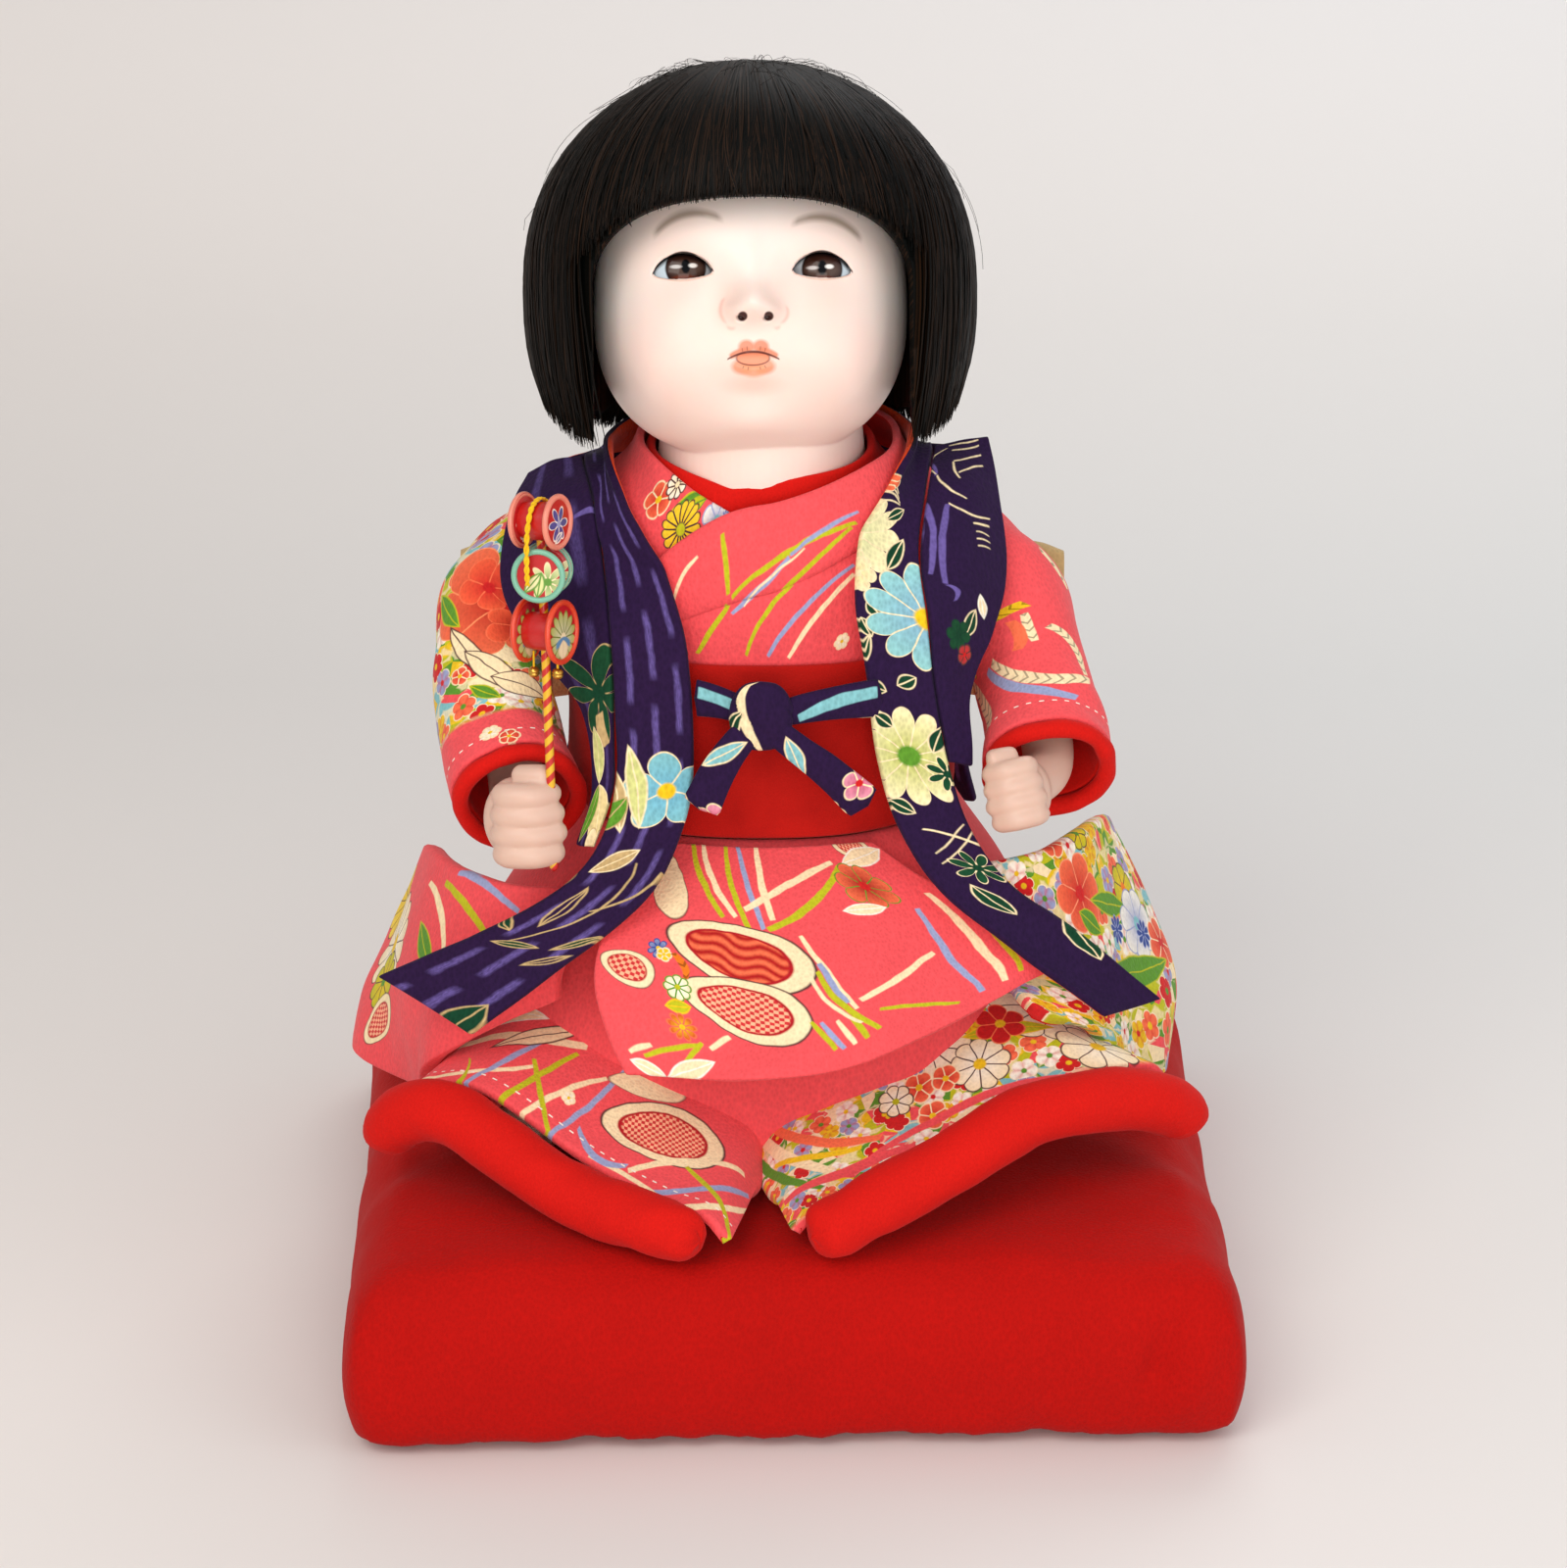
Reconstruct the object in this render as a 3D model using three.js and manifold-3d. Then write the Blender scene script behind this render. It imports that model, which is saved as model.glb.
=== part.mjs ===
// A seated ichimatsu baby doll on its square floor cushion.
// Units are millimetres, +Z is up and the doll looks along -Y.
// The origin is the centre of the cushion's flat underside.
import * as THREE from 'three';
import { mergeVertices } from 'three/addons/utils/BufferGeometryUtils.js';
import Module from 'manifold-3d';

const wasm = await Module();
wasm.setup();

// Driving dimensions

const cushionWidth = 254; // across the front
const cushionDepth = 254; // front to back
const cushionThickness = 54; // at the crown
const cushionDrawIn = 3; // how far each side pulls in between its corners
const cushionYaw = 0.03; // radians that the cushion is turned under the doll

// The clothes are laid out in a box about the body's upright axis.
const clothHalfWidth = 100;
const clothHalfDepth = 100;
const clothHeight = 200;
const bodyX = -6; // the body's axis, off the cushion's centre
const bodyY = 8;
const bodySquareness = 2.4; // exponent of the body's rounded oval section

const clearance = 0.3; // between pieces that touch
const layerGap = 0.6; // between two layers of cloth
const torsoInset = 2.4; // the body stays this far inside its clothes
const kimonoWall = 2.2; // lined silk crepe
const bandLift = 0.9; // a neck band stands this far off the cloth beneath it
const obiWall = 3.2; // stiff sash
const vestWall = 2.4;
const skirtWall = 3.2; // wadded skirt
const sleeveWall = 2.2;
const liningWall = 1.4;
const bowKnotHalfWidth = 9;
const bowKnotHalfDepth = 7;
const bowKnotHalfHeight = 15;
const bowLoopReach = 88; // from the knot's middle to a loop's end
const bagWall = 5; // the long drop of a sleeve, two layers and their wadding
const cutOverrun = 6; // how far a cutting body runs past what it cuts

// Folds of the hanging cloth: depth from crest to trough and how many show.
const vestFoldDepth = 5;
const vestFoldCount = 3;
const dropFoldDepth = 6;
const dropFoldCount = 2;
const lapFoldDepth = 3.2;
const lapFoldCount = 2;
const sleeveFoldDepth = 2.4;

const headHalfWidth = 42.5; // half the face's width
const headX = -9;
const headY = 8;
const headRise = 26.7; // head's centre above the clothes
const headPitch = 0.37; // radians that the face looks up
const headYaw = 0.03; // and to its left
const neckRadius = 22;
const pegRadius = 15;
const pegLength = 24;
const pegClearance = 0.4;
const wigClearance = 0.9; // between the wig and the head
const collarKeepOutRadius = 49; // stays free of hair as the head turns
const collarKeepOutDrop = 4; // its top, below the clothes' height
const eyeHalfWidth = 10.5;
const eyeSpread = 19.3; // each eye from the face's middle
const eyeLift = 7.4; // above the head's centre
const eyelidWall = 1.3;
const eyeOpeningHalfWidth = 8.1;
const nostrilRadius = 1.1;
const nostrilSpread = 3.5;
const mouthHalfWidth = 6.6;

const fistSize = 10; // half a fist's width
const elbowRadius = 8.6; // the forearm's round end in the upper arm
const rattleStickRadius = 1.2;
const rattleStickLength = 98;
const gripClearance = 0.3;
const boreClearance = 0.12; // between the stick and the drums threaded on it
const topDrumRadius = 7.5;
const middleDrumRadius = 7.3;
const bottomDrumRadius = 8.7;
const drumWidth = 12;
const barrelRadius = 4.5;
const rimWall = 1.6;
const skinRecess = 0.5;
const bellRadius = 1.6;
const threadRadius = 0.45;
const threadLength = 6;
const tasselRadius = 0.9;
const tieWall = 3;
const tieHalfHeight = 4.5;
const tieKnotRadius = 7;

const thighRadius = 14;
const footRadius = 10.4;
const legClearance = 0.85; // lets a leg turn in its seat
const hemPadRadius = 7; // the wadded roll that edges the skirt

const seatHeight = cushionThickness + clearance; // where the clothes rest

// Geometry helpers

const tau = Math.PI * 2;

function lerp(a, b, t) {
  return a + (b - a) * t;
}

/** Reads a table of rows at x; the rows' first value is the place and the rest are interpolated. */
function readTable(rows, x) {
  let i = 0;
  while (i < rows.length - 2 && x > rows[i + 1][0]) i += 1;
  const [a, b] = [rows[i], rows[i + 1]];
  const before = rows[Math.max(i - 1, 0)];
  const after = rows[Math.min(i + 2, rows.length - 1)];
  const t = THREE.MathUtils.clamp((x - a[0]) / (b[0] - a[0]), 0, 1);
  return a.slice(1).map((value, k) => {
    const slopeA = (b[k + 1] - before[k + 1]) / Math.max(b[0] - before[0], 1e-9);
    const slopeB = (after[k + 1] - a[k + 1]) / Math.max(after[0] - a[0], 1e-9);
    const span = b[0] - a[0];
    const t2 = t * t;
    const t3 = t2 * t;
    return (2 * t3 - 3 * t2 + 1) * value + (t3 - 2 * t2 + t) * span * slopeA
      + (3 * t2 - 2 * t3) * b[k + 1] + (t3 - t2) * span * slopeB;
  });
}

/** Turns faces outwards if they point in. */
function outward(geometry) {
  const p = geometry.getAttribute('position');
  const index = geometry.index.array;
  const [a, b, c] = [new THREE.Vector3(), new THREE.Vector3(), new THREE.Vector3()];
  let volume = 0;
  for (let i = 0; i < index.length; i += 3) {
    a.fromBufferAttribute(p, index[i]);
    b.fromBufferAttribute(p, index[i + 1]);
    c.fromBufferAttribute(p, index[i + 2]);
    volume += a.dot(b.cross(c));
  }
  if (volume < 0) {
    for (let i = 0; i < index.length; i += 3) {
      [index[i + 1], index[i + 2]] = [index[i + 2], index[i + 1]];
    }
  }
  return geometry;
}

/** A geometry from points and triangles. */
function surface(points, triangles) {
  const geometry = new THREE.BufferGeometry().setFromPoints(points);
  geometry.setIndex(triangles);
  return outward(geometry);
}

/** Triangles that join a ring of n points starting at a to the next ring at b. */
function band(triangles, a, b, n) {
  for (let j = 0; j < n; j += 1) {
    const k = (j + 1) % n;
    triangles.push(a + j, a + k, b + j, a + k, b + k, b + j);
  }
}

/** A closed solid through a list of rings, with a fan on each end. */
function loft(rings) {
  const n = rings[0].length;
  const points = rings.flat();
  const triangles = [];
  for (let i = 0; i < rings.length - 1; i += 1) band(triangles, i * n, (i + 1) * n, n);
  [0, rings.length - 1].forEach((i) => {
    const middle = rings[i].reduce((sum, p) => sum.add(p), new THREE.Vector3()).divideScalar(n);
    const m = points.push(middle) - 1;
    for (let j = 0; j < n; j += 1) {
      const [a, b] = [i * n + j, i * n + ((j + 1) % n)];
      if (i === 0) triangles.push(m, b, a);
      else triangles.push(m, a, b);
    }
  });
  return surface(points, triangles);
}

/** A closed wall between outer and inner rings, open at both ends. */
function sleeveLoft(outer, inner) {
  const n = outer[0].length;
  const rows = [...outer, ...[...inner].reverse()];
  const triangles = [];
  rows.forEach((row, i) => band(triangles, i * n, ((i + 1) % rows.length) * n, n));
  return surface(rows.flat(), triangles);
}

/** A closed solid between an inner and an outer grid of points with the same rows and columns. */
function slab(inner, outer) {
  const [rows, cols] = [inner.length, inner[0].length];
  const points = [...inner.flat(), ...outer.flat()];
  const half = rows * cols;
  const triangles = [];
  const at = (i, j) => i * cols + j;
  const quad = (a, b, c, d) => triangles.push(a, b, c, a, c, d);
  for (let i = 0; i < rows - 1; i += 1) {
    for (let j = 0; j < cols - 1; j += 1) {
      const [a, b, c, d] = [at(i, j), at(i + 1, j), at(i + 1, j + 1), at(i, j + 1)];
      quad(a, d, c, b);
      quad(half + a, half + b, half + c, half + d);
    }
  }
  const rim = [];
  for (let j = 0; j < cols - 1; j += 1) rim.push(at(0, j));
  for (let i = 0; i < rows - 1; i += 1) rim.push(at(i, cols - 1));
  for (let j = cols - 1; j > 0; j -= 1) rim.push(at(rows - 1, j));
  for (let i = rows - 1; i > 0; i -= 1) rim.push(at(i, 0));
  rim.forEach((a, k) => {
    const b = rim[(k + 1) % rim.length];
    quad(a, half + a, half + b, b);
  });
  return surface(points, triangles);
}

/** Samples a smooth curve through points. */
function smooth(points, count) {
  return new THREE.CatmullRomCurve3(points, false, 'centripetal').getPoints(count);
}

/** A fine grid through a coarse net of control points. */
function netGrid(net, rows, cols) {
  const across = net.map((row) => smooth(row, cols));
  const columns = across[0].map((_, j) => smooth(across.map((row) => row[j]), rows));
  return columns[0].map((_, i) => columns.map((column) => column[i]));
}

/** Moves each point of a grid along the grid's normal by distance, tapered at the rim by a share. */
function offsetGrid(grid, distance, rimShare = 1) {
  const [rows, cols] = [grid.length, grid[0].length];
  return grid.map((row, i) => row.map((p, j) => {
    const along = grid[Math.min(i + 1, rows - 1)][j].clone().sub(grid[Math.max(i - 1, 0)][j]);
    const across = row[Math.min(j + 1, cols - 1)].clone().sub(row[Math.max(j - 1, 0)]);
    const normal = across.cross(along).normalize();
    const onRim = i === 0 || j === 0 || i === rows - 1 || j === cols - 1;
    return p.clone().addScaledVector(normal, onRim ? distance * rimShare : distance);
  }));
}

/**
 * Ripples a grid into soft folds that run down its columns. They grow from nothing at the first row to
 * the full depth at the last, and skew shifts each row's folds sideways by a share of one fold.
 */
function folded(grid, depth, count, skew) {
  const [rows, cols] = [grid.length - 1, grid[0].length - 1];
  const away = offsetGrid(grid, 1);
  return grid.map((row, i) => row.map((p, j) => {
    const wave = Math.sin(tau * (count * (j / cols) + skew * (i / rows)));
    const direction = away[i][j].clone().sub(p);
    return p.clone().addScaledVector(direction, wave * (depth / 2) * Math.sin((i / rows) * (tau / 4)) ** 2);
  }));
}

/** A sheet of cloth of the given wall on a grid, which is its inner face. */
function clothSheet(grid, wall, rimShare = 0.6) {
  return slab(grid, offsetGrid(grid, wall, rimShare));
}

/** A ring of n points in a plane with its own two axes. */
function ovalRing(centre, sideAxis, upAxis, sideRadius, upRadius, n, squareness = 2) {
  return Array.from({ length: n }, (_, k) => {
    const angle = (k / n) * tau;
    const [c, s] = [Math.cos(angle), Math.sin(angle)];
    const power = 2 / squareness;
    return centre.clone()
      .addScaledVector(sideAxis, sideRadius * Math.sign(c) * Math.abs(c) ** power)
      .addScaledVector(upAxis, upRadius * Math.sign(s) * Math.abs(s) ** power);
  });
}

/** Rings along a path of points, each with its own pair of radii, kept square to the path. */
function pathRings(points, radii, n, sideHint = new THREE.Vector3(1, 0, 0), grow = 0) {
  return points.map((p, i) => {
    const before = points[Math.max(i - 1, 0)];
    const after = points[Math.min(i + 1, points.length - 1)];
    const ahead = after.clone().sub(before).normalize();
    const up = ahead.clone().cross(sideHint).normalize();
    const side = up.clone().cross(ahead).normalize();
    return ovalRing(p, side, up, radii[i][0] + grow, radii[i][1] + grow, n);
  });
}

/** A round-ended solid bar along a smooth curve. */
function barAlong(points, radius, steps, sides, sideHint) {
  const path = smooth(points, steps);
  const ends = path.map((_, i) => {
    const t = i / steps;
    const shrink = Math.sqrt(Math.max(1 - (2 * t - 1) ** 8, 0.16));
    return [radius * shrink, radius * shrink];
  });
  return loft(pathRings(path, ends, sides, sideHint));
}

function toSolid(geometry) {
  const bare = new THREE.BufferGeometry().setAttribute('position', geometry.getAttribute('position'));
  bare.setIndex(geometry.index);
  const merged = mergeVertices(bare, 1e-4);
  return new wasm.Manifold(new wasm.Mesh({
    numProp: 3,
    vertProperties: new Float32Array(merged.getAttribute('position').array),
    triVerts: new Uint32Array(merged.index.array),
  }));
}

/** The largest body of a solid, as a geometry. */
function toGeometry(solid) {
  const bodies = solid.decompose().sort((a, b) => b.volume() - a.volume());
  const mesh = bodies[0].getMesh();
  const geometry = new THREE.BufferGeometry();
  geometry.setAttribute('position', new THREE.BufferAttribute(mesh.vertProperties, 3));
  geometry.setIndex(new THREE.BufferAttribute(mesh.triVerts, 1));
  return geometry;
}

function cut(geometry, ...tools) {
  return toGeometry(tools.reduce((solid, tool) => solid.subtract(toSolid(tool)), toSolid(geometry)));
}

function join(...pieces) {
  return toGeometry(pieces.slice(1).reduce((solid, p) => solid.add(toSolid(p)), toSolid(pieces[0])));
}

/** A closed ball stretched to three radii, turned and placed. */
function ball(centre, radii, segments = 16, turn = new THREE.Euler()) {
  const geometry = new THREE.SphereGeometry(1, segments, Math.max(Math.round(segments * 0.65), 5));
  geometry.deleteAttribute('normal');
  geometry.deleteAttribute('uv');
  const matrix = new THREE.Matrix4().compose(centre, new THREE.Quaternion().setFromEuler(turn), radii);
  return outward(mergeVertices(geometry.applyMatrix4(matrix), 1e-4));
}

/** A closed cylinder from one point to another. */
function rod(from, to, radius, sides = 12) {
  const along = to.clone().sub(from);
  const geometry = new THREE.CylinderGeometry(radius, radius, along.length(), sides);
  geometry.deleteAttribute('normal');
  geometry.deleteAttribute('uv');
  const up = new THREE.Vector3(0, 1, 0);
  const turn = new THREE.Quaternion().setFromUnitVectors(up, along.clone().normalize());
  const middle = from.clone().add(to).multiplyScalar(0.5);
  const matrix = new THREE.Matrix4().compose(middle, turn, new THREE.Vector3(1, 1, 1));
  return outward(mergeVertices(geometry.applyMatrix4(matrix), 1e-4));
}

/** A round-ended bar between two points. */
function capsule(from, to, radius, sides = 7) {
  const along = to.clone().sub(from);
  const geometry = new THREE.CapsuleGeometry(radius, along.length(), 2, sides);
  geometry.deleteAttribute('normal');
  geometry.deleteAttribute('uv');
  const turn = new THREE.Quaternion().setFromUnitVectors(new THREE.Vector3(0, 1, 0), along.clone().normalize());
  const middle = from.clone().add(to).multiplyScalar(0.5);
  const matrix = new THREE.Matrix4().compose(middle, turn, new THREE.Vector3(1, 1, 1));
  return outward(mergeVertices(geometry.applyMatrix4(matrix), 1e-4));
}

/** A point of the cloth box, from shares of its half width, half depth and height. */
function place([x, y, z]) {
  return new THREE.Vector3(
    bodyX + x * clothHalfWidth,
    bodyY + y * clothHalfDepth,
    seatHeight + z * clothHeight,
  );
}

function placeNet(net) {
  return net.map((row) => row.map(place));
}

// The body's outline: height, half width, half depth and forward shift, all shares of the cloth box.
const bodyShares = [
  [0.015, 0.36, 0.33, 0.02],
  [0.06, 0.44, 0.40, 0.02],
  [0.22, 0.45, 0.41, 0.01],
  [0.37, 0.42, 0.38, 0],
  [0.52, 0.405, 0.36, 0],
  [0.67, 0.41, 0.34, 0],
  [0.79, 0.455, 0.31, 0],
  [0.85, 0.44, 0.29, 0],
  [0.89, 0.38, 0.27, 0],
  [0.915, 0.32, 0.26, 0],
  [0.94, 0.285, 0.25, 0],
  [0.975, 0.275, 0.25, 0],
];

// The skirt's outline, in the same columns.
const skirtShares = [
  [0.003, 0.80, 0.67, 0.01],
  [0.03, 0.85, 0.71, 0.01],
  [0.10, 0.86, 0.71, 0.01],
  [0.20, 0.80, 0.68, 0],
  [0.30, 0.70, 0.61, 0],
  [0.39, 0.58, 0.51, 0],
  [0.45, 0.51, 0.445, 0],
];

/** A point on an outline table at an angle and height share, moved out by grow. */
function outlinePoint(shares, angle, heightShare, grow) {
  const [halfWidth, halfDepth, back] = readTable(shares, heightShare);
  const [c, s] = [Math.cos(angle), Math.sin(angle)];
  const power = 2 / bodySquareness;
  return new THREE.Vector3(
    bodyX + (halfWidth * clothHalfWidth + grow) * Math.sign(c) * Math.abs(c) ** power,
    bodyY + back * clothHalfDepth + (halfDepth * clothHalfDepth + grow) * Math.sign(s) * Math.abs(s) ** power,
    seatHeight + heightShare * clothHeight,
  );
}

function outlineRing(shares, heightShare, grow, n) {
  return Array.from({ length: n }, (_, k) => outlinePoint(shares, (k / n) * tau, heightShare, grow));
}

const degrees = Math.PI / 180;

/** Crowds evenly spaced rows towards the shoulder, where the outline curves most. */
function crowd(t) {
  return 1 - (1 - t) ** 1.9;
}

/** Cloth wrapped on the body between two edges; edges gives the lower and upper height share at an angle. */
function wrap(fromDegrees, toDegrees, edges, growInner, wall, rows, cols) {
  const grid = (grow) => Array.from({ length: rows + 1 }, (_, i) => Array.from({ length: cols + 1 }, (_unused, j) => {
    const angle = lerp(fromDegrees, toDegrees, j / cols);
    const [low, high] = edges(angle);
    return outlinePoint(bodyShares, angle * degrees, lerp(low, high, crowd(i / rows)), grow);
  }));
  return slab(grid(growInner), grid(growInner + wall));
}

/** The same, all the way round. */
function wrapRound(edges, growInner, wall, rows, cols) {
  const rings = (grow) => Array.from({ length: rows + 1 }, (_, i) => Array.from({ length: cols }, (_unused, j) => {
    const angle = (j / cols) * 360;
    const [low, high] = edges(angle);
    return outlinePoint(bodyShares, angle * degrees, lerp(low, high, crowd(i / rows)), grow);
  }));
  return sleeveLoft(rings(growInner + wall), rings(growInner));
}

// Layers of cloth on the body, counted outwards from it.
const layerUnder = layerGap;
const layerRight = layerUnder + kimonoWall + layerGap;
const layerLeft = layerRight + bandLift + kimonoWall + layerGap;
const layerObi = layerLeft + kimonoWall + layerGap + clearance;
const layerVest = layerObi + obiWall + layerGap;

// Colours and finishes

function finish(color, roughness, metalness = 0) {
  return new THREE.MeshStandardMaterial({ color, roughness, metalness });
}

const finishes = {
  shellWhite: finish(0xf3dccf, 0.42),
  glassBrown: finish(0x2b1510, 0.08),
  hairBlack: finish(0x15100e, 0.5),
  pinkCrepe: finish(0xe6525c, 0.85),
  redLining: finish(0xc8190f, 0.88),
  obiRed: finish(0xb01010, 0.9),
  obiGold: finish(0xa9741f, 0.6),
  vestPurple: finish(0x231433, 0.9),
  cushionRed: finish(0xc91a12, 0.92),
  bodyPulp: finish(0xcdb89a, 0.9),
  clothWhite: finish(0xe8e0d2, 0.95),
  lacquerRed: finish(0xc21f12, 0.4),
  silkYellow: finish(0xe8a80c, 0.6),
  brass: finish(0xc79a3a, 0.3, 1),
};

const doll = new THREE.Group();

function add(name, geometry, material) {
  const mesh = new THREE.Mesh(geometry, material);
  mesh.name = name;
  doll.add(mesh);
  return mesh;
}

// Cushion: height, inset of the outline from the full size, as shares of the thickness.
const cushionShares = [
  [0, 0.07],
  [0.07, 0.02],
  [0.25, 0],
  [0.52, 0],
  [0.76, 0.04],
  [0.90, 0.13],
  [0.975, 0.28],
  [1, 0.62],
];
const cushionSideShares = [-0.985, -0.91, -0.6, -0.2, 0.2, 0.6, 0.91]; // places along a side

function buildCushion() {
  const outline = (insetShare, height) => [0, 1, 2, 3].flatMap((quarter) => cushionSideShares.map((t, i) => {
    const pull = cushionDrawIn * (1 - t * t);
    const round = i === 0 ? 1 - t * t : 0;
    const reach = 1 - round / 2;
    const halfAlong = quarter % 2 === 0 ? cushionWidth / 2 : cushionDepth / 2;
    const halfOut = quarter % 2 === 0 ? cushionDepth / 2 : cushionWidth / 2;
    const inset = insetShare * cushionThickness;
    return new THREE.Vector3((halfAlong - inset) * t * reach, (inset + pull - halfOut) * reach, height)
      .applyAxisAngle(new THREE.Vector3(0, 0, 1), quarter * (tau / 4));
  }));
  const rings = cushionShares.map(([height, inset]) => outline(inset, height * cushionThickness));
  add('cushion', loft(rings), finishes.cushionRed).rotation.z = cushionYaw;
}

// Torso and kimono

const torsoTopShare = 0.885;
const torsoHeightShares = [0.03, 0.10, 0.37, 0.55, 0.76, 0.84, torsoTopShare];

function torsoRings(heights, grow) {
  return heights.map((h) => outlineRing(bodyShares, h, grow, 20));
}

function buildTorso() {
  const top = place([0, 0, torsoTopShare]);
  const socketFloor = top.clone().setZ(top.z - pegLength - pegClearance * 2);
  const socket = rod(socketFloor, top.clone().setZ(top.z + cutOverrun), pegRadius + pegClearance, 16);
  const hips = [-1, 1].map((side) => loft(legRings(side, legClearance, cutOverrun * 2)));
  add('torso', cut(loft(torsoRings(torsoHeightShares, -torsoInset)), socket, ...hips), finishes.bodyPulp);
}

// Each band's edges: angle in degrees, upper edge and lower edge as height shares.
const innerCollarShares = [
  [-100, 0.925, 0.875],
  [-80, 0.940, 0.885],
  [-40, 0.958, 0.900],
  [0, 0.966, 0.915],
  [90, 0.962, 0.915],
  [180, 0.966, 0.915],
  [220, 0.958, 0.900],
  [245, 0.938, 0.885],
  [260, 0.925, 0.875],
];
const rightBandShares = [
  [75, 0.955, 0.905],
  [120, 0.957, 0.900],
  [160, 0.960, 0.890],
  [190, 0.960, 0.885],
  [210, 0.956, 0.870],
  [228, 0.943, 0.845],
  [245, 0.924, 0.810],
  [260, 0.903, 0.775],
  [275, 0.870, 0.745],
  [290, 0.830, 0.715],
];
const leftBandShares = [
  [-126, 0.790, 0.715],
  [-112, 0.862, 0.748],
  [-100, 0.902, 0.772],
  [-86, 0.920, 0.800],
  [-70, 0.936, 0.838],
  [-52, 0.950, 0.870],
  [-35, 0.958, 0.885],
  [-10, 0.960, 0.890],
  [20, 0.960, 0.890],
  [60, 0.957, 0.900],
  [105, 0.955, 0.905],
];
const kimonoHemShare = 0.462; // where the upper body's cloth ends, under the sash
const obiLowShare = 0.458;
const obiHighShare = 0.705;
const frontRightSpan = [204, 288];
const frontLeftSpan = [-132, -12];

function bandAngle(angle) {
  return angle > 260 ? angle - 360 : angle;
}

function buildKimono() {
  const seam = clearance / clothHeight;
  const innerEdges = (angle) => {
    const [high, low] = readTable(innerCollarShares, bandAngle(angle));
    return [low, high];
  };
  add('inner_collar', wrapRound(innerEdges, layerUnder, kimonoWall, 2, 30), finishes.redLining);
  const bodyEdges = (angle) => [kimonoHemShare, innerEdges(angle)[0] - seam * 2];
  add('kimono_body', wrapRound(bodyEdges, layerUnder, kimonoWall, 4, 30), finishes.pinkCrepe);
  const bandEdges = (table) => (angle) => {
    const [high, low] = readTable(table, angle);
    return [low, high];
  };
  const panelEdges = (table) => (angle) => [kimonoHemShare, readTable(table, angle)[1] - seam * 2];
  add('kimono_collar_right', wrap(84, 288, bandEdges(rightBandShares), layerRight + bandLift, kimonoWall, 2, 17), finishes.pinkCrepe);
  add('kimono_front_right', wrap(...frontRightSpan, panelEdges(rightBandShares), layerRight, kimonoWall, 4, 7), finishes.pinkCrepe);
  add('kimono_collar_left', wrap(-132, 84, bandEdges(leftBandShares), layerLeft + bandLift, kimonoWall, 2, 18), finishes.pinkCrepe);
  add('kimono_front_left', wrap(...frontLeftSpan, panelEdges(leftBandShares), layerLeft, kimonoWall, 4, 10), finishes.pinkCrepe);
}

// Sash and its bow

const bowLiftShare = 0.59; // height of the bow's knot
// A bow tail's net: across, back and drop below the knot.
const bowTailShares = [
  [[0.02, 0, -0.003], [0.13, 0.01, -0.003]],
  [[0.05, 0.03, 0.06], [0.19, 0.04, 0.06]],
  [[0.09, 0.05, 0.12], [0.25, 0.06, 0.12]],
];

function buildObi() {
  const edges = () => [obiLowShare, obiHighShare];
  add('obi_band', wrapRound(edges, layerObi, obiWall, 2, 30), finishes.obiRed);
  const back = outlinePoint(bodyShares, 90 * degrees, 0.6, layerVest).y;
  const knotRadii = new THREE.Vector3(bowKnotHalfWidth, bowKnotHalfDepth, bowKnotHalfHeight);
  const knot = new THREE.Vector3(bodyX, back + knotRadii.y, seatHeight + bowLiftShare * clothHeight);
  add('obi_bow_knot', ball(knot, knotRadii, 11), finishes.obiGold);
  // Each loop: reach from the knot, and half thickness and half height at that reach, as shares.
  const loopShares = [
    [(knotRadii.x + clearance) / bowLoopReach, 0.020, 0.045],
    [0.25, 0.045, 0.075],
    [0.45, 0.070, 0.105],
    [0.70, 0.075, 0.120],
    [0.90, 0.065, 0.118],
    [0.98, 0.040, 0.108],
  ];
  [['right', -1], ['left', 1]].forEach(([side, sign]) => {
    const rings = loopShares.map(([reach, thick, tall]) => ovalRing(
      knot.clone().add(new THREE.Vector3(sign * reach * bowLoopReach, reach * reach * clothHalfDepth * -0.08, 0)),
      new THREE.Vector3(0, 1, 0),
      new THREE.Vector3(0, 0, 1),
      thick * clothHalfDepth,
      tall * clothHeight,
      16,
      3,
    ));
    add(`obi_bow_loop_${side}`, loft(rings), finishes.obiGold);
    const tailNet = bowTailShares.map((row) => row.map(([x, y, drop]) => knot.clone().add(new THREE.Vector3(
      sign * x * clothHalfWidth,
      y * clothHalfDepth,
      -knotRadii.z - clearance - drop * clothHeight,
    ))));
    const net = sign > 0 ? tailNet : tailNet.map((row) => row.reverse());
    add(`obi_bow_tail_${side}`, clothSheet(netGrid(net, 5, 3), kimonoWall), finishes.obiGold);
  });
}

// Skirt and legs

// Where each skirt tube starts at the body and ends at the hem: outer end and tip, as shares of the cloth box.
const tubePlanShares = {
  right: { bodyOuter: [-0.64, -0.20], bodyTip: [0.06, -0.55], hemOuter: [-0.990, -0.600], hemTip: [-0.080, -1.200] },
  left: { bodyOuter: [0.68, -0.18], bodyTip: [-0.06, -0.55], hemOuter: [1.143, -0.517], hemTip: [0.083, -1.147] },
};
// The tube's section: place from the outer end to the tip, height at the body and at the hem.
const tubeSectionShares = [
  [0, 0.03, 0.04],
  [0.02, 0.16, 0.11],
  [0.10, 0.235, 0.138],
  [0.23, 0.27, 0.148],
  [0.36, 0.27, 0.128],
  [0.50, 0.24, 0.098],
  [0.64, 0.195, 0.075],
  [0.80, 0.14, 0.062],
  [0.94, 0.085, 0.054],
  [1, 0.03, 0.03],
];
const tubeFromShare = -0.25;

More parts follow.
